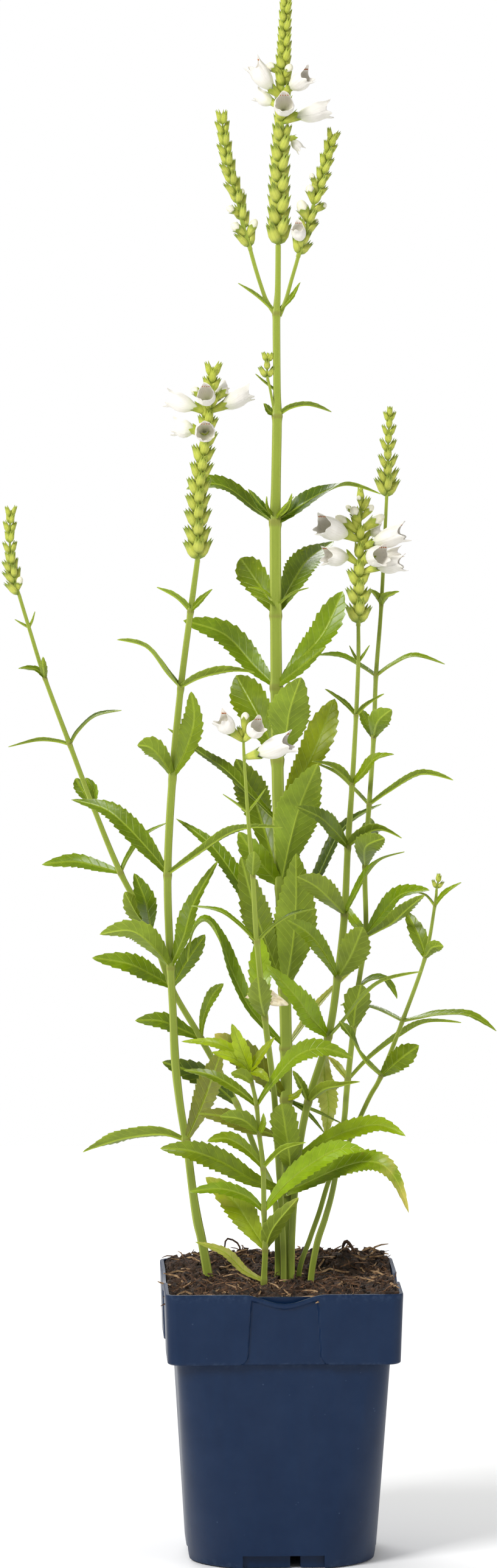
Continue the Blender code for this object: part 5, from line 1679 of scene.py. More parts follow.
    def build(self, sweep: NodeTree, scatter: NodeTree, forms: tuple[Object, Object],
              finishes: dict[str, Material]) -> Object:
        """Make the spike without its flowers.

        Args:
            sweep: the tree that sweeps stems.
            scatter: the tree that sets cups on points.
            forms: the objects of a closed and of an open cup.
            finishes: the finishes by name.

        Returns:
            The joined object.
        """
        luck = np.random.default_rng(sum(map(ord, self.name)))
        pieces = [self.stalk().build(sweep, finishes["stem"])]
        held = [self.holder(at(start), at(end), max(2.1 * girth, 1.4))
                for start, end, girth in self.flowers]
        held += [self.holder(at(centre), None, half_wide * 1.05) for centre, _, half_wide in self.buds]
        for form, group in zip(forms, (self.cups(), held)):
            if group:
                pieces.append(self.dress(group, form, scatter, finishes["calyx"], luck))
        if self.buds:
            skin = Skin()
            for centre, half_length, half_wide in self.buds:
                spot = at(centre)
                direction = unit(spot - self.nearest(spot, 4.5))
                middle = spot + direction * 0.6
                skin.add(blob(middle, direction, half_length * 1.25, half_wide * 1.12, 9, 14))
            pieces.append(skin.build("buds", [finishes["bud"]], 80.0))
        return join(self.name + "_dressed", pieces)

    def build_flowers(self, petal: Material, anther: Material) -> list[Object]:
        """Make each open flower as a piece of its own.

        Args:
            petal: the petals' finish.
            anther: the anthers' finish.

        Returns:
            The flowers, in the order of their notes.
        """
        luck = np.random.default_rng(7 + sum(map(ord, self.name)))
        made = []
        for number, (start, end, girth) in enumerate(self.flowers, 1):
            tube, anthers = Flower(start, end, girth).grow(luck)
            skin = Skin()
            skin.add(outward(tube))
            for grain in anthers:
                skin.add(outward(grain), 1)
            name = f"flower_{self.name[6:]}_{number}_dressed"
            made.append(skin.build(name, [petal, anther], 80.0, False))
        return made


@dataclass
class DryPetal:
    """A fallen petal, crumpled and dry, that lies caught between the leaves."""

    outline: Sequence[tuple[float, float]]
    depth: float
    rings: int = 9
    around: int = 63
    half_thick: float = 0.09

    def build(self, finish: Material) -> Object:
        """Make the piece.

        Args:
            finish: its finish.

        Returns:
            The object.
        """
        rim = np.array([(x, 0.0, z) for x, z in (*self.outline, self.outline[0])])
        rim = line_at(rim, np.linspace(0, 1, self.around, endpoint=False))
        middle = rim.mean(axis=0)
        points = []
        for side in (1, -1):
            for ring in range(self.rings)[::side]:
                share = (ring + 0.3) / (self.rings - 0.7)
                for spot in middle + (rim - middle) * share:
                    fold = noise.noise(Vector((spot[0] * 0.42, 2.0, spot[2] * 0.42))) * 1.3
                    crease = noise.noise(Vector((spot[0] * 1.2, 5.0, spot[2] * 1.2))) * 0.45
                    shift = np.array([0.0, fold + crease - side * self.half_thick, crease * 0.6])
                    points.append(at((spot[0], spot[2], self.depth + 0.3)) + shift)
        skin = Skin()
        skin.add(Shape(np.array(points), ring_faces(2 * self.rings, self.around)))
        return skin.build("dry_petal_dressed", [finish], 80.0)


@dataclass
class Pot:
    """The square nursery pot: collar with sunk panels and thumb dips, label pocket, notched foot."""

    height: float = 130.0
    rim_half: float = 55.0
    rim_corner: float = 5.5
    collar_low: float = 97.0
    collar_half: float = 53.9
    collar_wall: float = 1.8
    body_half: float = 49.5
    body_corner: float = 10.0
    foot_half: float = 44.0
    foot_corner: float = 33.0
    wall: float = 1.6
    edge: float = 0.8
    floor_under: float = 6.4
    floor_top: float = 8.8
    under_half: float = 38.4
    dip_half: float = 19.5
    dip_low: float = 112.0
    dip_depth: float = 4.3
    lip: float = 2.3
    panel_top: float = 15.1
    panel_low: float = 17.2
    panel_sink: float = 1.25
    panel_round: float = 4.0
    notch_half: float = 19.0
    notch_height: float = 6.0
    notch_depth: float = 3.6
    drain_across: float = 5.5
    drain_half: float = 2.4
    pocket_half: float = 12.0
    pocket_wall: float = 1.2
    pocket_slot: float = 2.6
    pocket_top: float = 128.4
    rib: float = 0.7
    corner_steps: int = 14
    sharp: float = 38.0

    def ring(self, half: float, corner: float, height: float) -> np.ndarray:
        """Points round a square with rounded corners, close together where the panels end.

        Args:
            half: half the square's width.
            corner: the corners' radius.
            height: the height that it lies at.

        Returns:
            The points, the same count for every ring.
        """
        near = np.arange(12.5, 23.6, 0.5)
        far = np.array([0.0, 4.0, 8.0])
        cuts = np.unique(np.concatenate([-near, -far, far, near]))
        points = []
        for quarter in range(4):
            middle = math.pi / 4 + quarter * math.pi / 2
            centre = np.array([math.cos(middle), math.sin(middle)]) * (half - corner) * math.sqrt(2)
            for step in range(self.corner_steps + 1):
                angle = quarter * math.pi / 2 + step / self.corner_steps * math.pi / 2
                points.append((centre[0] + corner * math.cos(angle), centre[1] + corner * math.sin(angle)))
            turn = (quarter + 1) * math.pi / 2
            flat = half - corner
            ease = min(1.0, flat / 24.5)
            out = np.array([math.cos(turn), math.sin(turn)]) * half
            way = np.array([-math.sin(turn), math.cos(turn)])
            points += [tuple(out + way * cut * ease) for cut in cuts]
        return np.column_stack([np.array(points), np.full(len(points), height)])

    def body_at(self, height: float) -> tuple[float, float]:
        """The outside below the collar.

        Args:
            height: the height.

        Returns:
            Half the width there, and the corner radius.
        """
        share = max(height / self.collar_low, 0.0)
        return (self.foot_half + (self.body_half - self.foot_half) * share,
                self.foot_corner + (self.body_corner - self.foot_corner) * share ** 0.8)

    def collar_at(self, height: float) -> float:
        """Half the collar's width outside."""
        share = (height - self.collar_low) / (self.height - self.collar_low)
        return self.collar_half + (self.rim_half - self.collar_half) * share

    def dip(self, across: np.ndarray) -> np.ndarray:
        """How much lower the rim is where it dips in the middle of a side."""
        share = np.minimum(np.abs(across) / self.dip_half, 1.0)
        return self.dip_depth * (0.5 + 0.5 * np.cos(np.pi * share))

    def inner_rows(self) -> list[Row]:
        """The rings of the inside, from the rim down to the floor.

        Returns:
            Half the width, corner radius and height of each.
        """
        bend = self.collar_low + self.wall
        rows = [(self.collar_at(height) - self.collar_wall, self.rim_corner - self.collar_wall, height)
                for height in (self.height, self.height - 1.0, 126.0, 120.0, self.dip_low, bend + 0.2)]
        for height in (bend - 0.2, 80.0, 60.0, 40.0, 20.0, self.floor_top):
            half, corner = self.body_at(height)
            rows.append((half - self.wall, corner - self.wall, height))
        return rows

    def press(self, ring: np.ndarray, outside: bool) -> np.ndarray:
        """Dip the rim and sink the panels into the collar.

        Args:
            ring: points of one ring.
            outside: whether the ring lies on the outside, where the panels are.

        Returns:
            The moved points.
        """
        moved = ring.copy()
        flat = np.abs(moved[:, 0]) < np.abs(moved[:, 1])
        across = np.where(flat, moved[:, 0], moved[:, 1])
        facing = np.abs(moved[:, :2]).max(axis=1)
        on_flat = facing > self.collar_half - 4.0
        near = on_flat & (np.abs(across) < self.dip_half)
        top_part = np.clip((moved[:, 2] - self.dip_low) / (self.height - self.dip_low), 0.0, 1.0)
        moved[:, 2] -= np.where(near, self.dip(across) * top_part ** 1.5, 0.0)
        if outside:
            height = moved[:, 2]
            share = np.clip((height - self.collar_low) / (self.height - self.collar_low), 0.0, 1.0)
            low = np.clip((self.collar_low + self.panel_round - height) / self.panel_round, 0.0, 1.0)
            limit = self.panel_low + (self.panel_top - self.panel_low) * share
            limit += self.panel_round * (1 - np.sqrt(np.maximum(1 - low ** 2, 0.0)))
            ceiling = self.height - self.dip(across) - self.lip
            sink = smooth((limit - np.abs(across)) / 0.7 + 0.5) * smooth((ceiling - height) / 0.8 + 0.5)
            scale = 1 - np.where(on_flat, sink, 0.0) * self.panel_sink / facing
            moved[flat, 1] *= scale[flat]
            moved[~flat, 0] *= scale[~flat]
        return moved

    def shell(self) -> Shape:
        """The walls, collar, floor and foot as one closed form.

        Returns:
            The shape, with how scuffed it is.
        """
        under, foot, edge, low = self.under_half, self.foot_corner, self.edge, self.collar_low
        rows = [(under - 1.0, foot - 6.6, self.floor_under), (under, foot - 5.6, 0.4),
                (self.foot_half - edge - 4.0, foot - edge - 4.0, 0.0),
                (self.foot_half - edge, foot - edge, 0.0),
                (self.foot_half - 0.2, foot - 0.2, 0.25), (self.foot_half, foot, edge)]
        rows += [(*self.body_at(height), height)
                 for height in (4.0, 8.0, 14.0, 22.0, 32.0, 42.0, 52.0, 62.0, 72.0, 82.0, 90.0, 95.6,
                                low - 0.3)]
        collar_from = len(rows)
        rows += [(self.body_half + 0.5, self.body_corner - 1.0, low - 0.02),
                 (self.collar_half - edge, self.rim_corner, low),
                 (self.collar_half - 0.24, self.rim_corner + edge, low + 0.24)]
        heights = (*np.arange(low + edge, 103.0, 0.6), 105.0, 108.0, 111.0, 114.0, 117.0, 120.0,
                   *np.arange(122.0, 129.3, 0.55))
        rows += [(self.collar_at(height), self.rim_corner, height) for height in heights]
        rows += [(self.rim_half - 0.12, self.rim_corner - 0.12, self.height - 0.26),
                 (self.rim_half - 0.4, self.rim_corner - 0.4, self.height)]
        inside_from = len(rows)
        rings = [self.ring(*row) for row in rows + self.inner_rows()]
        for number in range(collar_from, len(rings)):
            rings[number] = self.press(rings[number], number < inside_from)
        points = np.concatenate(rings)
        height = points[:, 2]
        scuff = np.exp(-((height - low) / 1.2) ** 2) + smooth((height - 125.0) / 5.0)
        scuff += smooth((4.0 - height) / 4.0)
        return Shape(points, ring_faces(len(rings), len(rings[0])), {"scuff": np.clip(scuff, 0, 1)})

    def cut(self, pot: Object, others: Sequence[Object], operation: str) -> None:
        """Join the pot with other forms or cut them out of it, one after the other, and remove them.

        Args:
            pot: the pot.
            others: the other forms.
            operation: UNION to join them, or DIFFERENCE to cut them out.
        """
        for other in others:
            change = pot.modifiers.new("change", "BOOLEAN")
            change.operation = operation
            change.object = other
            change.solver = "MANIFOLD"
            pot.data = plain_mesh(pot)
            pot.modifiers.clear()
            bpy.data.objects.remove(other, do_unlink=True)

    def block(self, low: Row, high: Row, turn: int = 0) -> Object:
        """Make a plain box.

        Args:
            low: its low corner.
            high: its high corner.
            turn: how many quarters it is then turned about the pot's middle.

        Returns:
            The box.
        """
        corners = np.array(list(product(*zip(low, high))))
        angle = turn * math.pi / 2
        turned = corners.copy()
        turned[:, 0] = corners[:, 0] * math.cos(angle) - corners[:, 1] * math.sin(angle)
        turned[:, 1] = corners[:, 0] * math.sin(angle) + corners[:, 1] * math.cos(angle)
        skin = Skin(placed=False)
        faces = [(0, 1, 3, 2), (4, 6, 7, 5), (0, 4, 5, 1), (2, 3, 7, 6), (0, 2, 6, 4), (1, 5, 7, 3)]
        skin.add(Shape(turned, faces, {"scuff": np.zeros(len(turned))}))
        return skin.build("block", ())

    def build(self, finish: Material) -> Object:
        """Make the piece.

        Args:
            finish: the plastic.

        Returns:
            The pot, with its label pocket joined and its foot notched.
        """
        skin = Skin(placed=False)
        skin.add(self.shell())
        pot = skin.build("pot_dressed", [finish], self.sharp)
        inside = self.rim_half - self.collar_wall
        back = inside - self.pocket_slot
        low = self.collar_low + self.wall / 2
        half, rib = self.pocket_half, self.rib
        joined = [self.block((-half, -back, low), (half, -back + self.pocket_wall, self.pocket_top))]
        for x in (-half + rib / 2, -half / 2 - rib, 0.0, half / 2 + rib, half - rib / 2):
            joined.append(self.block((x - rib / 2, -inside + rib + 0.2, low),
                                     (x + rib / 2, -back + 0.3, self.pocket_top - 3.4)))
        self.cut(pot, joined, "UNION")
        cutters = []
        front, notch = -self.foot_half, self.notch_height
        drain_low, drain_high = self.drain_across - self.drain_half, self.drain_across + self.drain_half
        for turn in range(4):
            cutters.append(self.block((-self.notch_half, front - 5, -2.0),
                                      (self.notch_half, front + self.notch_depth, notch), turn))
            cutters.append(self.block((drain_low, front - 2, -3.0),
                                      (drain_high, 3 - self.under_half, notch - 0.7), turn))
        self.cut(pot, cutters, "DIFFERENCE")
        pot.data.polygons.foreach_set("material_index", [0] * len(pot.data.polygons))
        soften(pot.data, self.sharp)
        return pot


@dataclass(frozen=True)
class PeatScatter:
    """A tree of Geometry Nodes that strews a form over a surface, turned and sized at random."""

    def build(self) -> NodeTree:
        """Make the tree.

        Returns:
            The tree, whose inputs say how much, how large, how tilted and in which order.
        """
        grow = NodeGarden("peat_scatter", {
            "Form": "Object", "Finish": "Material", "Per Area": "Float", "Smallest": "Float",
            "Largest": "Float", "Tilt": "Float", "Seed": "Int"})
        seed = grow.given("Seed")
        form = grow.node("GeometryNodeObjectInfo", sockets={"Object": grow.given("Form")})
        strewn = grow.node("GeometryNodeDistributePointsOnFaces", sockets={
            "Mesh": grow.given("Geometry"), "Density": grow.given("Per Area"), "Seed": seed})
        tilt = grow.node("ShaderNodeCombineXYZ", sockets={"X": grow.given("Tilt"), "Y": grow.given("Tilt"),
                                                          "Z": math.pi})
        back = grow.node("ShaderNodeVectorMath", {"operation": "SCALE"},
                         {0: tilt.outputs[0], "Scale": -1.0})
        turn = grow.node("FunctionNodeRandomValue", {"data_type": "FLOAT_VECTOR"}, {
            "Min": back.outputs[0], "Max": tilt.outputs[0], "Seed": seed})
        size = grow.node("FunctionNodeRandomValue", {"data_type": "FLOAT"}, {
            2: grow.given("Smallest"), 3: grow.given("Largest"), "Seed": seed})
        rotation = grow.node("FunctionNodeEulerToRotation", sockets={"Euler": turn.outputs[0]})
        placed = grow.node("GeometryNodeInstanceOnPoints", sockets={
            "Points": strewn.outputs[0], "Instance": form.outputs["Geometry"],
            "Rotation": rotation.outputs[0],
            "Scale": size.outputs[1]})
        return grow.finish(placed.outputs[0])


def rod(points: np.ndarray, half: float, sides: int = 5, rows: int = 9) -> Shape:
    """A thin bent rod, tapered a little to its ends.

    Args:
        points: the noted points that it runs through.
        half: half its width in the middle.
        sides: the count of its sides.
        rows: the count of its rings.

    Returns:
        The shape.
    """
    shares = np.linspace(0, 1, rows)
    line = line_at(points, shares)
    ahead = unit(np.gradient(line, axis=0))
    turns = np.arange(sides) * 2 * np.pi / sides
    rings = []
    for spot, way, share in zip(line, ahead, shares):
        side, front = frame_of(way)
        wide = half * (1 - 0.6 * abs(2 * share - 1) ** 3)
        rings.append([spot + (side * math.cos(turn) + front * math.sin(turn)) * wide for turn in turns])
    return Shape(np.array(rings).reshape(-1, 3), ring_faces(rows, sides))


@dataclass
class Peat:
    """The peat in the pot: a heaped crumbly top, crumbs and fibres strewn over it, twigs and straws."""

    level: float = 127.2
    half: float = 52.7
    body_top: float = 110.0
    edge_top: float = 131.0
    cells: int = 150
    ground_in: float = 1.6
    ground_cells: int = 60
    straws: tuple[tuple[Row | float, ...], ...] = (
        ((-26, 141, 44), (-25, 147.5, 40), (-19.5, 145, 40), (-18.5, 139, 42), 0.5),
        ((29, 143, 30), (31, 146.4, 28), (35, 141, 27), 0.9),
        ((-28, 129, -20), (-24.6, 125.4, -22), (-21, 121.5, -25), 0.32),
        ((-45, 139, 20), (-41, 133, 14), (-38, 129, 8), 0.34),
        ((37, 130, -30), (37.4, 126, -36), (35.5, 121, -40), 0.32),
        ((-5, 123.5, -32), (8, 123.2, -33), (25, 121, -36), 0.3),
        ((7, 132, 0), (6.3, 126, -6), (7.5, 120.5, -14), 0.45),
        ((12, 136, 30), (20, 138.6, 26), (27, 137, 22), 0.4),
        ((-36, 131, 10), (-30, 130.6, 4), (-22, 127, -2), 0.35),
        ((20, 128, -8), (30, 129.6, -12), (41, 126, -14), 0.35))

    def height_at(self, x: float, y: float) -> float:
        """The height of the peat: heaped at the back and the near right, low at the near left.

        Args:
            x: the place to the right of the pot's middle.
            y: the place behind it.

        Returns:
            The height there.
        """
        level = self.level + 6.0 * float(smooth((y - 12) / 34) * smooth((x + 58) / 22))
        level += 5.0 * float(smooth((x - 34) / 18) * smooth((14 - y) / 40))
        level -= 2.0 * float(smooth((-x - 20) / 25) * smooth((-y - 10) / 30))
        level += 5.0 * math.exp(-((x - 31) ** 2 + (y - 31) ** 2) / 80)
        level -= 6.0 * float(smooth((16 - abs(x)) / 4) * smooth((-y - 43) / 4))
        heaps = noise.noise(Vector((x * 0.09, y * 0.09, 3.1)))
        crumbs = noise.noise(Vector((x * 0.3, y * 0.3, 7.7)))
        fine = noise.fractal(Vector((x * 0.55, y * 0.55, 1.3)), 0.6, 2.1, 4)
        grain = abs(noise.noise(Vector((x * 1.3, y * 1.3, 4.9))))
        return level + 2.1 * heaps + 1.3 * crumbs + 0.9 * fine + 0.7 * grain

    def top(self) -> Shape:
        """The heaped top with short sides, closed below.

        Returns:
            The shape.
        """
        steps = np.linspace(-self.half, self.half, self.cells)
        points = []
        for y in steps:
            for x in steps:
                height = self.height_at(x, y)
                at_wall = max(abs(x), abs(y)) / self.half > 0.97
                points.append((x, y, min(height, self.edge_top) if at_wall else height))
        count = self.cells
        rim = list(range(count)) + [row * count + count - 1 for row in range(1, count)]
        rim += [(count - 1) * count + step for step in reversed(range(count - 1))]
        rim += [row * count for row in reversed(range(1, count - 1))]
        first = len(points)
        points += [(*points[number][:2], self.body_top) for number in rim]
        faces = grid_faces(count)
        faces += [(number, first + step, first + (step + 1) % len(rim), rim[(step + 1) % len(rim)])
                  for step, number in enumerate(rim)]
        faces.append(tuple(range(first, first + len(rim))))
        return Shape(np.array(points, float), faces)

    def crumb(self) -> Shape:
        """A lump of peat of size 1.

        Returns:
            The shape.
        """
        work = bmesh.new()
        bmesh.ops.create_icosphere(work, subdivisions=1, radius=0.5)
        points = np.array([vert.co * (1 + 0.5 * noise.noise(vert.co * 2.6)) for vert in work.verts])
        points[:, 2] *= 0.62
        faces = [tuple(vert.index for vert in face.verts) for face in work.faces]
        work.free()
        return Shape(points, faces)

    def fibre(self) -> Shape:
        """A bent thread of peat of length 1.

        Returns:
            The shape.
        """
        bend = ((-0.5, 0.0, -0.02), (-0.2, 0.1, 0.05), (0.1, -0.06, 0.08), (0.34, 0.05, 0.02),
                (0.5, 0.16, 0.0))
        return rod(np.array(bend), 0.034, 3, 7)

    def ground(self) -> Mesh:
        """The part of the top that things are strewn over, a little inside the pot's wall.

        Returns:
            The mesh.
        """
        reach = self.half - self.ground_in
        steps = np.linspace(-reach, reach, self.ground_cells)
        points = [(x * MM, y * MM, (self.height_at(x, y) + 0.1) * MM) for y in steps for x in steps]
        mesh = bpy.data.meshes.new("ground")
        mesh.from_pydata(points, [], grid_faces(self.ground_cells))
        return mesh

    def build(self, scatter: NodeTree, finishes: dict[str, Material]) -> Object:
        """Make the piece.

        Args:
            scatter: the tree that strews forms.
            finishes: the finishes by name.

        Returns:
            The joined object.
        """
        skin = Skin(placed=False)
        skin.add(self.top())
        pieces = [skin.build("soil_top", [finishes["peat"]], 70.0)]
        # form, finish, count to a square metre, smallest, largest, tilt and seed
        kinds = (
            (self.crumb(), "peat", 80000.0, 0.0009, 0.0044, 3.1, 3),
            (self.crumb(), "bark", 9000.0, 0.0012, 0.0048, 3.1, 5),
            (self.fibre(), "thread", 40000.0, 0.004, 0.013, 0.8, 8),
            (self.fibre(), "straw", 9000.0, 0.006, 0.018, 0.6, 13))
        for form, finish, density, least, most, tilt, seed in kinds:
            mould = form_object("mould", form)
            mesh = run_nodes(add_object("ground", self.ground()), scatter, {
                "Form": mould, "Finish": finishes[finish], "Per Area": density,
                "Smallest": least, "Largest": most, "Tilt": tilt, "Seed": seed})
            bpy.data.objects.remove(mould, do_unlink=True)
            pieces.append(finish_mesh("strewn", mesh, (), 50.0))
        rods = Skin()
        for *points, half in self.straws:
            rods.add(rod(np.array([at(point) for point in points]), half))
        pieces.append(rods.build("straws", [finishes["bark"]], 60.0))
        return join("soil_dressed", pieces)


@dataclass
class Studio:
    """The pale floor, the soft lights round the plant and the white room."""

    floor_half: float = 1.3
    floor_down: float = 0.0005
    room: float = 0.43
    shown: float = 1.0
    target: Row = (0.0, 0.0, 0.32)
    lights: tuple[tuple[str, Row, float, float], ...] = (
        ("key", (-1.3, -1.5, 1.7), 0.8, 44.0),
        ("fill", (1.8, -1.4, 0.9), 1.2, 9.0),
        ("back", (-0.4, 1.7, 1.5), 1.2, 26.0))

    def light(self, name: str, spot: Row, size: float, power: float) -> None:
        """Add a square soft light.

        Args:
            name: its name.
            spot: where it hangs, in metres.
            size: its side in metres.
            power: its strength in watts.
        """
        data = bpy.data.lights.new(name, "AREA")
        data.size = size
        data.energy = power
        aim(add_object(name, data), spot, self.target)

    def build(self, finish: Material) -> None:
        """Make the floor, the lights and the room.

        Args:
            finish: the floor's finish.
        """
        half, low = self.floor_half, -self.floor_down
        mesh = bpy.data.meshes.new("floor")
        mesh.from_pydata([(-half, -half, low), (half, -half, low), (half, half, low), (-half, half, low)],
                         [], [(0, 1, 2, 3)])
        mesh.materials.append(finish)
        floor = add_object("floor", mesh)
        world = bpy.data.worlds.new("room")
        world.use_nodes = True
        nodes, links = world.node_tree.nodes, world.node_tree.links
        shine = nodes["Background"]
        wall = nodes.new("ShaderNodeBackground")
        for background, strength in ((shine, self.room), (wall, self.shown)):
            background.inputs["Color"].default_value = (1.0, 1.0, 1.0, 1.0)
            background.inputs["Strength"].default_value = strength
        mix = nodes.new("ShaderNodeMixShader")
        links.new(nodes.new("ShaderNodeLightPath").outputs["Is Camera Ray"], mix.inputs[0])
        links.new(shine.outputs[0], mix.inputs[1])
        links.new(wall.outputs[0], mix.inputs[2])
        links.new(mix.outputs[0], nodes["World Output"].inputs["Surface"])
        bpy.context.scene.world = world
        bpy.context.scene.view_settings.view_transform = "Standard"
        for light in self.lights:
            self.light(*light)


# stems, bottom to top: (across, up, depth, width)
STEMS = {
    "stem_main": (
        (3.2, 113, 6, 5.2), (3.2, 150, 6, 5.2), (3.0, 185, 5, 5.4), (2.8, 215, 4, 5.4), (2.3, 257, 2, 5.6),
        (-0.6, 340, 0, 5.6), (-1.6, 385, 0, 5.6), (-2.1, 430, 0, 5.3), (-2.4, 480, 0, 5.2),
        (-2.1, 500, 0, 4.5), (-1.6, 530, 0, 4.4), (-1.65, 545, 0, 3.5), (-1.9, 577, 0, 3.5),
        (-1.3, 590, 0, 2.7), (-1.1, 610.7, 0, 2.5)),
    "stem_left": (
        (-30.6, 113, 12, 4.4), (-33.4, 129, 10, 4.4), (-36.6, 147, 9, 4.2), (-38.6, 156, 9, 4.4),
        (-40.8, 170, 8, 3.9), (-43.3, 190, 7, 3.7), (-46.6, 210, 5, 3.6), (-48.9, 231, 4, 4.0),
        (-50.0, 255, 3, 3.5), (-51.0, 275, 2, 3.6), (-52.4, 318, 0, 3.6), (-50.2, 362, 0, 3.6),
        (-46.4, 404, 0, 3.0), (-41.8, 440, 0, 2.8), (-38.4, 465.2, 0, 2.4)),
    "stem_far_left": (
        (-1.4, 113, 7, 2.6), (-1.4, 150, 7, 2.6), (-3.6, 171, 9, 2.6), (-9.8, 185, 13, 2.6),
        (-20.3, 211, 15, 2.6), (-36.8, 241.5, 16, 2.8), (-50.7, 266, 14, 2.6), (-60.4, 293, 9, 2.6),
        (-74.3, 319.5, 5, 2.6), (-86.8, 350, 3, 2.3), (-97.8, 379.5, 1, 2.2), (-109.3, 410.5, 0, 1.9),
        (-116.6, 434, 0, 1.7), (-121.0, 448.7, 0, 1.6)),
    "stem_right": (
        (5.3, 113, 0, 3.2), (5.5, 150, 0, 3.2), (8.4, 186, 0.6, 3.2), (12.9, 211.6, 2, 3.4),
        (22.3, 242.4, 0, 3.4), (26.5, 269.5, -1, 3.4), (29.8, 299.5, -2, 3.2), (31.3, 331, -2, 2.9),
        (33.3, 360.5, -1, 2.4), (35.1, 392.7, -1, 2.0), (36.1, 417.7, 0, 1.9), (36.1, 435.4, 0, 1.7)),
    "stem_thin_right": (
        (14.2, 113, 0, 3.0), (14.4, 129, -1, 3.0), (17.2, 145.4, -3, 3.0), (21.2, 158, -4, 2.8),
        (25.0, 173, -4, 2.6), (29.6, 202, -3, 2.6), (31.4, 222, -2, 2.7), (36.3, 266, 1, 2.3),
        (39.7, 290.5, 2, 2.3), (39.3, 322, 2, 2.3), (41.2, 351, 2, 2.2), (43.3, 383, 3, 2.1),
        (44.3, 411.5, 5, 2.0), (46.7, 444, 8, 1.8), (49.1, 494.2, 9, 1.5)),
    "stem_far_right": (
        (9.0, 113, 5, 2.4), (8.9, 132, 5, 2.4), (14.0, 148, 8, 2.3), (18.2, 160, 10, 2.3),
        (23.5, 177, 11, 2.2), (31.4, 192, 9, 2.1), (41.3, 213.6, 5, 2.1), (47.0, 224.3, 2, 2.1),
        (56.9, 250, 0, 1.9), (67.4, 280, 0, 1.7), (71.8, 304, 0, 1.4), (72.6, 311.4, 0, 1.2)),
    "stem_front": (
        (1.5, 113, -3, 2.8), (1.5, 140, -3, 2.8), (0.3, 165, -6, 2.8), (-1.3, 190, -8, 2.8),
        (-3.0, 217, -12, 2.8), (-7.0, 250, -16, 2.8), (-10.9, 287, -20, 2.6), (-12.8, 318, -22, 2.2),
        (-15.2, 348, -24, 1.7), (-16.8, 372.6, -25, 1.3)),
    "stem_short": (
        (-7.7, 113, -10, 3.0), (-7.6, 127, -10, 3.0), (-7.0, 143, -12, 2.6), (-7.6, 161, -14, 2.4),
        (-8.0, 181, -15, 2.4), (-9.8, 197, -17, 2.0), (-11.0, 210, -19, 2.0), (-13.2, 221, -20, 1.6),
        (-14.2, 227, -20, 1.3)),
}

# side branches that carry small spikes, joined to the main stem
BRANCHES = (
    ((-2.0, 578, 0, 2.2), (-6.2, 584.5, 0, 1.9), (-8.4, 590, 0, 1.8), (-11.6, 600, 0, 1.8),
     (-14.2, 609.4, 0, 1.8)),
    ((-0.6, 578, 0, 2.2), (2.3, 585, 0, 1.8), (5.0, 594.5, 0, 1.7), (7.2, 602, 0, 1.7), (8.3, 606, 0, 1.7)),
    ((-2.4, 531.5, 0, 1.6), (-4.2, 541, -1, 1.2), (-5.4, 547, -1, 1.2), (-6.2, 550, -1, 1.3)),
)

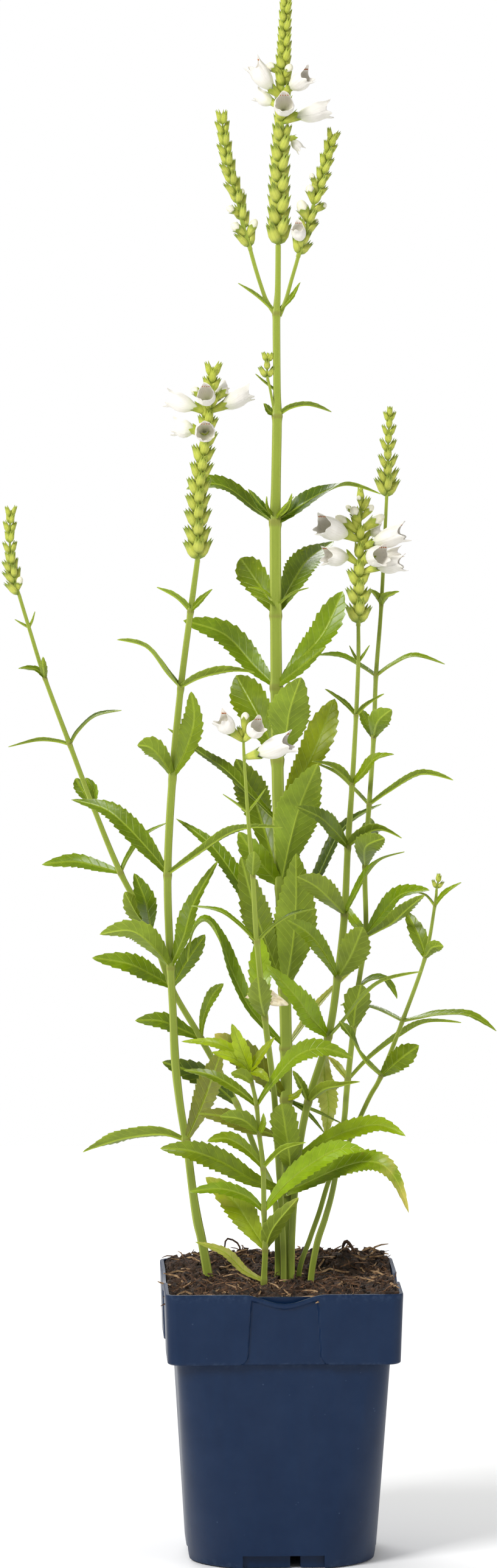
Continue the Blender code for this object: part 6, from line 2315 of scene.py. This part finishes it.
# leaves: (height on the stem, width, (turn at the root, turn at the tip), place of the greatest
# width, then points along the midrib to the tip). Turn 0 shows the upper face, 90 lays it flat
# and edge on, 180 shows the underside.
LEAVES = {
    "stem_main": (
        (579.2, 4.2, (115, 110), 0.45, (-10, 586.5, -1), (-19.5, 593.2, -2)),
        (579.2, 4.0, (60, 50), 0.5, (5, 586, -1), (9, 593.5, -2)),
        (531.8, 4.4, (40, 40), 0.6, (-5.4, 534, -1), (-7.8, 537.6, -2)),
        (531.8, 6.0, (110, 110), 0.5, (4.5, 535.6, -1), (13, 536.9, -2), (23.5, 533.8, -3)),
        (543.5, 1.6, (60, 60), 0.4, (-7.4, 547.6, -1), (-11.5, 551.3, -2)),
        (482.3, 12.0, (60, 50), 0.62, (-11, 488, 4), (-23, 497.6, 8), (-33, 500.5, 11.5), (-43.5, 498, 12)),
        (482.3, 12.5, (25, 115), 0.34, (9, 490, -3), (20, 496.5, -5), (31, 500, -7), (46.3, 495.8, -8)),
        (483.5, 4.6, (30, 30), 0.5, (-9.5, 490.6, -3), (-15, 498, -4)),
        (484.5, 2.2, (60, 60), 0.45, (-6.2, 489.5, -3), (-6.3, 494.6, -4)),
        (484.0, 2.2, (50, 50), 0.45, (1.0, 488.4, -4.8), (6, 494.5, -6.4)),
        (484.0, 3.0, (140, 140), 0.5, (3.4, 489, -3), (5.3, 496, -4)),
        (439.8, 15.5, (10, 40), 0.52, (6.6, 456, 4), (13, 465.5, 9.5), (24.6, 473.8, 16)),
        (439.8, 14.5, (10, -10), 0.72, (-9.6, 453, 4), (-18.5, 466, 9)),
        (446.0, 2.6, (60, 60), 0.45, (-8, 450.6, -2), (-15, 452.6, -3)),
        (444.0, 2.4, (60, 60), 0.45, (-7, 446.6, -4), (-12.5, 448.6, -5)),
        (443.5, 2.6, (90, 90), 0.5, (5, 449.6, -3), (13, 452.3, -4)),
        (405.9, 14.0, (30, 20), 0.6, (-12, 415.5, 3), (-26, 430.5, 8), (-45, 437, 10)),
        (405.9, 14.0, (50, 5), 0.74, (9, 418.5, 0), (20, 431.5, -2), (28.8, 450.6, -4)),
        (406.5, 8.5, (40, 30), 0.5, (8.5, 414.6, -6), (20.8, 424.7, -8)),
        (371.8, 20.5, (180, 175), 0.6, (2.6, 384, -5), (4.6, 396, -8), (9.6, 410.6, -11)),
        (371.8, 17.5, (5, -10), 0.72, (-9.5, 391, 6), (-20.5, 411.5, 12)),
        (342.8, 15.0, (50, 0), 0.76, (6.5, 358, 4), (15.5, 376, 6), (25.2, 400.6, 8)),
        (342.8, 9.5, (60, 50), 0.5, (-14.5, 356.4, -1), (-26, 367.8, 1), (-38, 376, 5), (-52.2, 386.8, 8)),
        (313.5, 16.5, (0, 0), 0.66, (-8.4, 342, 8), (-13.2, 357, 12), (-20.6, 372.6, 14)),
        (313.5, 13.0, (0, -10), 0.55, (-10.4, 325.6, -3), (-19.4, 338.6, -3)),
        (313.5, 21.5, (180, 175), 0.56, (4.6, 334, -6), (9.6, 352, -10), (17.4, 370.4, -14)),
        (275.0, 11.0, (40, 30), 0.45, (-12, 302, 2), (-21, 317, 3), (-33, 333, 5), (-48.4, 344.7, 6)),
        (275.0, 9.0, (40, 60), 0.6, (10, 299, 8), (19, 320.5, 12), (30, 341, 14), (46.8, 351.6, 15)),
        (264.0, 21.0, (180, 180), 0.52, (5.6, 284, -6), (7.4, 305, -9), (7.4, 328.6, -12)),
        (264.0, 15.0, (0, 0), 0.6, (-7, 287, -5), (-12.4, 304, -7), (-18.4, 327, -8)),
        (237.5, 12.0, (35, 100), 0.4, (-13, 254, -3), (-22, 271.5, -4), (-28, 288, -6), (-34.6, 297, -8),
         (-40.6, 292, -9), (-43.2, 278, -9)),
        (237.5, 6.5, (60, 60), 0.4, (11, 248.5, 8), (19, 259, 12), (28, 268.4, 14), (36, 276, 14)),
        (213.5, 14.5, (0, 0), 0.6, (-13.5, 231, -3), (-30.6, 244, -3)),
        (213.5, 4.0, (60, 60), 0.4, (12, 207, 7), (21, 197, 9)),
        (213.0, 4.0, (80, 80), 0.5, (12, 209.6, 8), (20, 206, 9), (30, 201.4, 9)),
        (213.5, 3.4, (30, 30), 0.5, (7.6, 215, -2), (10.2, 218.6, -3)),
        (178.0, 14.0, (180, 190), 0.84, (4.6, 182.6, -10.8), (3.2, 195, -15), (0.6, 211.2, -18.5)),
        (170.0, 12.5, (20, 10), 0.6, (-13, 175.4, 1), (-28, 184, -3), (-42, 189, -8), (-56, 190.2, -10)),
        (168.0, 13.0, (40, 20), 0.55, (3.3, 169.4, -5.2), (12, 173.6, -8.2), (26, 180, -10.5),
         (38, 183.6, -12),
         (47, 182.6, -13), (54, 175, -13), (60, 159.8, -13)),
    ),
    "stem_left": (
        (441.3, 6.0, (110, 115), 0.4, (-48, 447.6, -2), (-57.2, 452.5, -3)),
        (441.3, 4.6, (50, 50), 0.5, (-37, 446, -2), (-31.6, 451.6, -3)),
        (406.2, 9.0, (65, 120), 0.45, (-52.6, 413, -3), (-62, 424.6, -5), (-75.6, 428.2, -7)),
        (406.2, 8.5, (115, 115), 0.5, (-37, 410.6, -5), (-24, 413.6, -7), (-12, 413, -8)),
        (364.3, 11.5, (150, 150), 0.6, (-55, 372.6, -5), (-60.6, 378, -8), (-66.4, 379, -10)),
        (364.3, 12.5, (25, 20), 0.55, (-43.4, 378, -3), (-40, 391, -4), (-41.4, 404, -4)),
        (319.0, 12.5, (20, 40), 0.5, (-61, 329.6, -4), (-72, 341.6, -7), (-82, 349.4, -8),
         (-97, 353.6, -9)),
        (319.0, 8.0, (120, 120), 0.5, (-41, 326.6, -5), (-25, 337.4, -10), (-14, 340.6, -14),
         (1, 340.6, -16)),
        (275.3, 14.0, (145, 145), 0.5, (-60, 286, -6), (-70, 292.4, -10), (-84, 290.6, -12)),
        (275.3, 11.0, (40, 40), 0.5, (-45, 289, -1), (-40.2, 305, 0), (-29, 325, 0)),
        (193.8, 12.0, (120, 120), 0.5, (-55, 197, 2), (-70, 195.6, -1), (-81, 192.6, -3), (-92, 188.5, -4)),
        (193.8, 13.0, (20, 20), 0.55, (-36.6, 210, -1.5), (-31.4, 224, -6), (-27, 237.4, -8)),
    ),
    "stem_far_left": (
        (434.0, 1.4, (60, 60), 0.4, (-119.8, 435.6, 0), (-123, 437.6, 0)),
        (434.0, 1.4, (60, 60), 0.4, (-115, 437, 0), (-113.8, 441.2, 0)),
        (410.5, 4.4, (40, 60), 0.5, (-113.6, 414.2, -1), (-121.4, 414.8, -2)),
        (410.5, 3.8, (180, 180), 0.45, (-109.8, 415, -3), (-110, 420.2, -4)),
        (379.5, 4.5, (105, 105), 0.6, (-104, 381, 0), (-113, 381.2, -1), (-126.2, 378.3, -2)),
        (379.5, 4.5, (75, 75), 0.6, (-94, 385.6, 0), (-86, 392.6, -1), (-73.8, 395.3, -2)),
        (351.0, 6.5, (0, 0), 0.6, (-92, 358, 6), (-95, 363.6, 7)),
        (351.0, 5.5, (0, 0), 0.6, (-87, 357.6, 6), (-90.4, 363.8, 7)),
        (319.5, 8.2, (30, 30), 0.62, (-84, 322, 4), (-96, 324.6, 3), (-110.8, 323.2, 2)),
        (319.5, 5.0, (65, 65), 0.5, (-70.6, 327, 7), (-63, 337, 9), (-52.4, 343, 10)),
        (293.0, 10.5, (20, 20), 0.55, (-62.6, 305, 1), (-68, 319.2, -2)),
        (293.0, 10.0, (160, 180), 0.6, (-66.4, 300, 1), (-72.2, 310.6, -3)),
        (266.0, 12.0, (25, 25), 0.58, (-60, 271.6, 9), (-71, 276.8, 3), (-87.6, 279.6, -1)),
        (266.0, 9.5, (10, 0), 0.64, (-43.6, 278, 12), (-35, 290.6, 10)),
        (241.5, 10.0, (30, 20), 0.56, (-47, 246.4, 13), (-56, 250, 9), (-67.6, 250.2, 6)),
        (241.5, 7.0, (60, 20), 0.66, (-35.4, 252, 14), (-31.6, 261.6, 12), (-26.4, 267.6, 11)),
        (211.0, 11.5, (10, 10), 0.6, (-35, 223.4, 13), (-55, 230.8, 9)),
    ),
    "stem_right": (
        (417.7, 1.8, (50, 50), 0.4, (34, 421, 0), (32, 425.4, 0)),
        (417.7, 2.0, (50, 50), 0.4, (38.6, 421, 0), (41.3, 425.6, 0)),
        (393.0, 4.4, (60, 60), 0.5, (29.4, 398.6, -2), (20.8, 405.2, -3)),
        (393.0, 4.0, (115, 115), 0.5, (40, 397.8, -3), (48, 403, -4)),
        (360.8, 7.0, (120, 115), 0.45, (28.4, 366, -4), (22.4, 369.8, -6), (14.6, 371.6, -8)),
        (360.8, 7.0, (35, 60), 0.55, (38.4, 366, -3), (44, 372.6, -4), (52.6, 374.8, -5)),
        (331.5, 10.5, (30, 35), 0.5, (24.4, 339.6, -9), (17.6, 345.6, -15), (7, 350.4, -19)),
        (331.5, 8.5, (125, 120), 0.45, (37, 336.4, -5), (46, 339.8, -7), (56.4, 335.7, -8)),
        (300.0, 14.0, (150, 150), 0.56, (23.6, 306.6, -11), (16, 313.4, -16), (7.8, 317.6, -19)),
        (300.0, 7.6, (40, 110), 0.45, (34.6, 309, -5), (40.6, 319.6, -6), (47, 326, -6), (57.6, 329.3, -7)),
        (270.5, 9.5, (10, 20), 0.66, (20.8, 281, -9), (13, 291, -15), (3.4, 297.2, -18)),
        (270.5, 15.0, (180, 190), 0.62, (32.6, 280, -7), (38.4, 294, -15)),
        (242.8, 13.0, (30, 20), 0.5, (14.6, 251, -6), (7, 261.6, -12), (-6.8, 276.6, -14)),
        (242.8, 6.6, (70, 115), 0.62, (29, 250, -6), (38, 261, -11), (47.6, 268.8, -12),
         (65.6, 273.3, -11)),
        (237.0, 10.5, (0, 0), 0.55, (20.4, 224, 13), (22.4, 211, 16), (21.2, 196.6, 16)),
        (212.0, 5.0, (150, 150), 0.5, (9.8, 219.6, -3), (5.8, 226.8, -6)),
        (212.0, 8.0, (140, 110), 0.4, (20, 218, -6), (28, 219.8, -8), (37, 221.6, -9)),
        (186.5, 11.5, (30, 30), 0.55, (20, 193, -4), (33, 198.6, -7), (46, 201, -8), (58.4, 196, -9)),
        (186.5, 2.2, (60, 60), 0.45, (4, 190.4, -3), (0.4, 195.6, -4)),
    ),
    "stem_thin_right": (
        (444.2, 4.6, (130, 130), 0.5, (44.4, 448.6, 6), (41, 451.6, 5)),
        (444.2, 5.4, (140, 120), 0.5, (49, 448, 5), (55, 450.6, 3)),
        (411.5, 5.0, (75, 60), 0.66, (38, 415.5, 8), (28, 420.4, 10), (17.6, 421, 9)),
        (411.5, 4.5, (75, 65), 0.66, (52, 416.8, 4), (62, 420.6, 3), (76.2, 416.8, 2)),
        (382.6, 11.0, (190, 170), 0.55, (45.2, 390, -3), (51.6, 395.6, -5)),
        (382.6, 5.6, (0, 0), 0.55, (40.2, 389.6, 7), (37, 396, 8)),
        (351.5, 3.4, (75, 60), 0.66, (34.4, 358.4, 4), (26, 366, 6), (15, 371.2, 8)),
        (351.5, 6.5, (110, 125), 0.66, (51, 358, 1), (65, 365.6, 0), (80.2, 362.8, -1)),
        (322.4, 12.5, (180, 170), 0.5, (39.8, 331.6, -10), (48.4, 335.6, -15)),
        (322.4, 9.5, (0, 0), 0.6, (40.6, 334.4, 6), (42, 345, 8)),
        (290.5, 5.2, (20, 20), 0.4, (33.4, 298, 7), (24.6, 312, 10)),
        (290.5, 11.0, (20, 60), 0.58, (48, 301, 0), (56.6, 309.4, -2), (69.2, 311.4, -3)),
        (289.5, 10.5, (125, 130), 0.6, (51, 295.6, -4), (59, 302.6, -6), (67, 309, -7)),
        (266.0, 7.6, (80, 60), 0.6, (42, 269.6, 3.2), (48.6, 269.2, 4.6), (54.4, 260.6, 4)),
        (246.0, 13.5, (180, 180), 0.66, (35, 255.6, -3), (37.6, 267, -6)),
        (222.6, 3.6, (20, 20), 0.5, (26.6, 229, 0), (22, 233.4, -1)),
        (222.6, 7.0, (110, 110), 0.66, (42, 233.4, 4), (56, 243.6, 6), (68, 249.6, 6), (84.2, 249.4, 5)),
    ),
    "stem_far_right": (
        (304.3, 1.6, (75, 75), 0.5, (67.8, 309, 0), (61.8, 310.8, 0)),
        (304.3, 4.2, (55, 60), 0.5, (76.4, 309.6, -1), (84, 315, -2)),
        (280.0, 8.6, (10, 10), 0.5, (64, 290.4, 0), (58.4, 301.6, 1.5)),
        (280.0, 6.8, (180, 160), 0.55, (70.6, 284.4, -4), (75.8, 285.2, -6)),
        (250.3, 7.5, (75, 60), 0.68, (64, 251.6, -1), (74, 253.2, -2), (88, 252.6, -3), (100.6, 245.4, -4)),
        (250.3, 5.0, (75, 100), 0.4, (46, 255.6, 6), (37, 257.8, 9), (28, 257.6, 10)),
        (224.5, 8.0, (150, 30), 0.7, (39.6, 231.4, -7), (33.4, 241.6, -10), (27.4, 250, -11)),
        (224.5, 11.5, (0, 10), 0.66, (55, 231.6, -3), (64.6, 238.6, -5)),
    ),
    "stem_front": (
        (348.0, 1.6, (70, 70), 0.4, (-20, 351.6, -24), (-26.6, 356.2, -24)),
        (348.0, 1.6, (60, 60), 0.4, (-11, 353, -25), (-6.8, 359, -26)),
        (318.0, 7.4, (180, 180), 0.55, (-12.6, 323, -27), (-12.2, 329.4, -31)),
        (287.2, 4.2, (60, 60), 0.6, (-20, 296, -22), (-29, 301.8, -21), (-41.6, 304, -19)),
        (287.2, 4.6, (110, 60), 0.6, (-3.6, 294.4, -22), (5, 299.8, -23), (16.2, 302.8, -23)),
        (252.0, 12.0, (180, 185), 0.62, (-9.0, 259, -24.5), (-10.4, 270.8, -29)),
        (252.0, 11.5, (0, 0), 0.6, (-9.4, 270, -12), (-9.4, 289.6, -11)),
        (196.0, 9.5, (20, 10), 0.55, (-14, 200, -7), (-26, 205, -6.5), (-38.4, 206.6, -6.5)),
    ),
    "stem_short": (
        (142.6, 15.0, (10, 10), 0.6, (-14, 153.6, -10), (-22, 165.6, -7), (-34.8, 176.6, -5)),
        (142.8, 10.0, (165, 165), 0.5, (-3, 153, -17), (8.6, 167, -22)),
        (160.6, 8.0, (30, 30), 0.6, (-16, 167.4, -16), (-28, 171, -17), (-42.6, 169.6, -18)),
        (160.6, 12.5, (30, 20), 0.55, (2, 172.4, -18), (14, 182.4, -18), (27, 189.6, -17), (40, 189, -15)),
        (181.0, 8.5, (30, 40), 0.6, (-16, 189.6, -18), (-25, 194.6, -19), (-34, 193.5, -20)),
        (181.0, 5.0, (125, 120), 0.5, (1, 189.6, -20), (11.8, 193, -22)),
        (197.0, 9.5, (160, 150), 0.55, (-17.4, 203.6, -22), (-28, 205.2, -25)),
        (197.2, 3.2, (20, 20), 0.5, (-7.8, 201.6, -21), (-7.8, 206.8, -22)),
        (210.3, 6.5, (30, 30), 0.55, (-20, 217.6, -19), (-32, 224.4, -17), (-45, 226.9, -15)),
        (210.3, 11.0, (60, 10), 0.62, (-3, 221.6, -22), (8, 233.6, -24), (20, 237, -24),
         (33.6, 232.6, -22)),
        (220.8, 7.0, (150, 150), 0.55, (-17.4, 224.4, -24), (-22.8, 225.8, -27)),
        (226.2, 5.0, (20, 20), 0.5, (-9.4, 225.4, -22), (-5.2, 221.6, -23)),
        (226.0, 6.0, (20, 20), 0.5, (-21, 232.2, -22), (-32, 235.4, -22)),
        (226.4, 6.0, (40, 20), 0.5, (-22, 235.6, -20), (-32, 239.8, -19), (-46, 240.4, -17)),
        (226.6, 8.0, (0, 0), 0.5, (-18, 236.4, -22), (-22.6, 248.8, -24)),
        (226.6, 5.2, (30, 30), 0.45, (-9, 234, -21), (-2.6, 242.4, -22)),
        (127.5, 6.0, (40, 30), 0.6, (-17, 132.4, -12), (-26, 141, -14), (-39.6, 146, -16)),
    ),
}

# spikes: (axis points, space between rows low and high, calyx length low and high, swelling low and high)
SPIKES = {
    "spike_main": (((-1.1, 611.1, 0), (-0.7, 630, 0), (-0.3, 650, 0), (0.9, 670, 0), (1.2, 688, 0),
                    (1.6, 704, 0), (2.3, 721, 0)), (4.8, 3.9), (8.4, 4.4), (2.4, 1.3)),
    "spike_side_left": (((-14.3, 609.8, 0), (-17.4, 620, 0), (-19.6, 630, 0), (-23, 642, 0),
                         (-25.5, 655, 0), (-27, 669, 0)), (5.2, 4.0), (7.0, 5.2), (1.5, 1.3)),
    "spike_side_right": (((8.4, 606.4, 0), (11.8, 618, 0), (15.4, 630, 0), (18.6, 640, 0),
                          (21.2, 650, 0), (23.6, 659.4, 0)), (4.8, 3.4), (6.4, 4.6), (1.5, 1.2)),
    "spike_left": (((-38.3, 465.6, 0), (-38.4, 480, 0), (-38, 495, 0), (-36.4, 510, 0),
                    (-34.2, 525, 0), (-33, 536, 0), (-31.6, 550.6, 0)), (3.7, 3.7), (8.0, 5.6),
                    (2.2, 1.5)),
    "spike_far_left": (((-121.1, 449.1, 0), (-123, 455, 0), (-124.6, 462, 0), (-125.3, 475, 0),
                        (-124.9, 486, 0)), (4.3, 3.2), (6.4, 4.0), (1.5, 1.1)),
    "spike_right": (((36.1, 435.8, 0), (36.3, 450, 0), (36.3, 465, 0), (36.8, 480, 0),
                    (37.4, 494.6, 0)), (4.6, 4.2), (7.4, 5.4), (2.1, 1.5)),
    "spike_thin_right": (((49.1, 494.6, 18), (49.5, 505, 18), (49.8, 520, 18), (50.4, 533, 18)),
                         (4.0, 2.8), (7.6, 3.6), (1.6, 0.9)),
    "spike_front": (((-16.8, 373.1, -55), (-17.1, 380, -55), (-16.6, 387, -55)), (4.6, 4.0),
                    (4.6, 4.4), (1.2, 1.2)),
    "spike_far_right": (((72.65, 311.8, 0), (73.2, 315, 0), (73.6, 317, 0)), (2.4, 2.0), (3.4, 3.0),
                        (0.9, 0.9)),
}

# how many rows of cups are left out at the foot of a spike
SPIKE_ROWS_SKIPPED = {"spike_front": 2}

# a small side spike that grows on the main stem
SHOOT = (((-6.1, 549.4, -1), (-6.2, 554, -1), (-5.9, 559, -1)), (3.8, 3.2), (4.4, 3.4), (1.3, 1.1))

# flowers: (throat end of the calyx, mouth, girth)
FLOWERS = {
    "spike_main": (
        ((-3.2, 681.6, -1.5), (-11.6, 693, -3), 1.0),
        ((3.6, 682.6, -2), (11.8, 688.4, -7), 0.95),
        ((6.4, 669.6, -1.5), (20.6, 673.4, -3), 1.0),
        ((1.2, 672.6, -4.5), (1.6, 676.2, -15), 1.05),
        ((-3.0, 675.6, 3.5), (-9.6, 679.6, 6.5), 0.75),
        ((4.9, 659.6, 1.9), (9.0, 655.2, 3.2), 0.5)),
    "spike_side_right": (
        ((9.4, 612.6, -3.4), (8.0, 618.6, -9), 0.75),),
    "spike_left": (
        ((-38.2, 535.4, -1), (-50.4, 540, -2), 0.95),
        ((-28.2, 535.6, -1), (-16, 542.6, -3), 0.95),
        ((-33.6, 538.6, -4), (-34.6, 542.4, -13.5), 0.95),
        ((-30.2, 539, 4), (-26.2, 545.4, 8), 0.6),
        ((-35.2, 524.6, -5), (-34.8, 525, -15), 1.05),
        ((-39.4, 525, 0.5), (-47.4, 527, 1), 0.95)),
    "spike_right": (
        ((31.4, 476.8, -2), (19.6, 481.6, -5), 1.15),
        ((31.8, 466.4, 1), (21.6, 467.4, 1.5), 1.0),
        ((41.8, 472.6, -2), (55.6, 478, -4), 1.05),
        ((40.8, 476.9, 3.8), (46.0, 479.3, 5.2), 0.6),
        ((40.2, 466.6, -4.5), (46.6, 467.6, -12.5), 1.1),
        ((43.6, 461.6, -1.5), (55.4, 464, -3), 0.9),
        ((45.0, 465.8, 2.5), (54.6, 469, 2), 0.6)),
    "spike_front": (
        ((-21.4, 384.6, -56.5), (-27, 391, -59), 0.95),
        ((-14.6, 384.0, -58), (-10.4, 388, -64), 0.95),
        ((-11.6, 374.8, -57), (3.0, 380.6, -61), 1.15)),
}

# buds that stand in their calyces: (centre, half length, half width)
BUDS = {
    "spike_main": (((-3.9, 692.4, -1.5), 2.0, 1.7), ((3.4, 691.2, -1.5), 2.0, 1.7)),
    "spike_side_left": (((-18, 634.4, 0), 1.4, 1.2), ((-22.6, 627, 0), 1.9, 1.5),
                        ((-20.2, 618.6, 0), 2.3, 1.8), ((-12.9, 619.4, 0), 2.4, 1.8)),
    "spike_side_right": (((10.4, 627.2, -1), 3.2, 2.3), ((13.6, 635.8, -1.6), 1.9, 1.7),
                         ((18.9, 628.4, 0), 1.8, 1.6), ((15.6, 621, 1), 1.5, 1.1),
                         ((14.7, 641.8, 0), 1.3, 1.1)),
    "spike_left": (((-38.9, 543, 1), 1.9, 1.7), ((-26.6, 542.2, 0), 2.0, 1.7)),
    "spike_far_left": (((-120.9, 454.8, -1), 1.7, 1.4),),
    "spike_right": (((29.6, 482.6, -1), 3.6, 2.1), ((43.6, 483.0, 1), 3.8, 2.1),
                    ((34.5, 487, -3), 2.3, 1.9), ((32.0, 488.8, 0), 1.4, 1.1),
                    ((41.0, 488.4, 0), 1.8, 1.5), ((36.4, 493.2, -1.5), 1.1, 0.9)),
    "spike_front": (((-16.4, 391.2, -55), 2.1, 1.8),),
}

# the fallen petal: its outline as (across, up), and its depth
PETAL_SCRAP = ((-16.6, 261), (-12, 264.4), (-6.6, 266), (-2.6, 263.4), (3.8, 257.6), (-5.6, 257.4),
               (-11, 259.6))
PETAL_SCRAP_DEPTH = -41.3

# how far a spike's rows of cups are turned about it in degrees, and how far on all the others
TWISTS = {"spike_main": 42.0, "spike_side_left": 34.0, "spike_side_right": 26.0, "spike_far_left": 30.0}
PLAIN_TWIST = 12.0

# leaves whose tone stands out: by height and width, with their age. On the front stem two of these tones
# are painted light: one leaf is brightened for the light that shines through it, and another is dulled as
# painted shade
TONES = {
    "stem_main": {
        (342.8, 15.0): (LeafTone.LIME, 0.1), (213.5, 14.5): (LeafTone.OLIVE, 0.5),
        (213.5, 3.4): (LeafTone.LIME, 0.1), (168.0, 13.0): (LeafTone.FRESH, 0.52),
        (237.5, 6.5): (LeafTone.YELLOW, 0.1), (264.0, 21.0): (LeafTone.MID, 0.1),
        (313.5, 21.5): (LeafTone.MID, 0.1), (371.8, 20.5): (LeafTone.MID, 0.05),
    },
    "stem_left": {(193.8, 13.0): (LeafTone.OLIVE, 0.1)},
    "stem_right": {(212.0, 8.0): (LeafTone.LIME, 0.2), (237.0, 10.5): (LeafTone.YELLOW, 0.05)},
    "stem_thin_right": {(290.5, 5.2): (LeafTone.FRESH, 0.0), (222.6, 3.6): (LeafTone.YELLOW, 0.6)},
    # front stem: the fresh tone of the leaf at 252 is painted light, brightened for the light that shines
    # through the leaf
    # front stem: the olive tone of the leaf at 196 is painted shade, for the shadow that falls on its upper
    # face
    "stem_front": {(252.0, 11.5): (LeafTone.FRESH, 0.0), (196.0, 9.5): (LeafTone.OLIVE, 0.1)},
    "stem_short": {
        (127.5, 6.0): (LeafTone.YELLOW, 0.2), (142.6, 15.0): (LeafTone.LIME, 0.42),
        (160.6, 12.5): (LeafTone.FRESH, 0.1), (210.3, 11.0): (LeafTone.FRESH, 0.0),
        (226.4, 6.0): (LeafTone.LIME, 0.0), (226.6, 8.0): (LeafTone.LIME, 0.0),
        (226.6, 5.2): (LeafTone.LIME, 0.0), (226.0, 6.0): (LeafTone.LIME, 0.0),
        (226.2, 5.0): (LeafTone.LIME, 0.0), (220.8, 7.0): (LeafTone.LIME, 0.0),
        (181.0, 8.5): (LeafTone.FRESH, 0.1),
    },
}


def main() -> None:
    """Build the plant piece by piece, then its surroundings."""
    logging.basicConfig(level=logging.INFO, format="%(message)s")
    for item in list(bpy.data.objects):
        if item.type in {"CAMERA", "LIGHT"}:
            bpy.data.objects.remove(item, do_unlink=True)
    EYE.build()
    finishes = {
        "stem": StemFinish().build(),
        "leaf": LeafFinish().build(),
        "calyx": CupFinish().build(),
        "petal": PetalFinish().build(),
        "bud": BudFinish().build(),
        "anther": SpeckledFinish("anther", tone(214, 140, 84), tone(150, 74, 40), 0.6, 0.7, 0.1).build(),
        "dry": SpeckledFinish("dry", tone(232, 222, 192), tone(206, 190, 152), 2.4, 0.7, 0.25).build(),
        "peat": PeatFinish().build(),
        "bark": SpeckledFinish("bark", tone(96, 68, 48), tone(48, 34, 25), 1.6, 0.9, 0.3).build(),
        "thread": SpeckledFinish("thread", tone(120, 86, 58), tone(62, 44, 31), 1.4, 0.9, 0.1).build(),
        "straw": SpeckledFinish("straw", tone(184, 152, 112), tone(122, 90, 60), 2.0, 0.8, 0.1).build(),
        "pot": PotFinish().build(),
    }
    sweep = StemSweep().build()
    scatter = CupScatter().build()
    forms = (form_object("plump_cup", PLUMP_CUP.shape()), form_object("open_cup", OPEN_CUP.shape()))

    stand_for(Pot().build(finishes["pot"]), "pot", "pot")
    stand_for(Peat().build(PeatScatter().build(), finishes), "soil", "soil")
    for name, route in STEMS.items():
        shoots = []
        if name == "stem_main":
            shoots.append(Spike("spike_shoot", *SHOOT).build(sweep, scatter, forms, finishes))
        branches = BRANCHES if name == "stem_main" else ()
        stem = LeafyStem(name, route, LEAVES[name], branches, TONES.get(name, {}))
        stand_for(stem.build(sweep, finishes["stem"], finishes["leaf"], shoots), "foliage", name)
    for name, notes in SPIKES.items():
        skipped, twist = SPIKE_ROWS_SKIPPED.get(name, 0), TWISTS.get(name, PLAIN_TWIST)
        spike = Spike(name, *notes, FLOWERS.get(name, ()), BUDS.get(name, ()), skipped, twist)
        stand_for(spike.build(sweep, scatter, forms, finishes), "spikes", name)
        for number, flower in enumerate(spike.build_flowers(finishes["petal"], finishes["anther"]), 1):
            stand_for(flower, "petals", f"flower_{name[6:]}_{number}")
    stand_for(DryPetal(PETAL_SCRAP, PETAL_SCRAP_DEPTH).build(finishes["dry"]), "dry_petal", "dry_petal")
    for form in forms:
        bpy.data.objects.remove(form, do_unlink=True)
    Studio().build(FloorFinish().build())


if __name__ == "__main__":
    main()
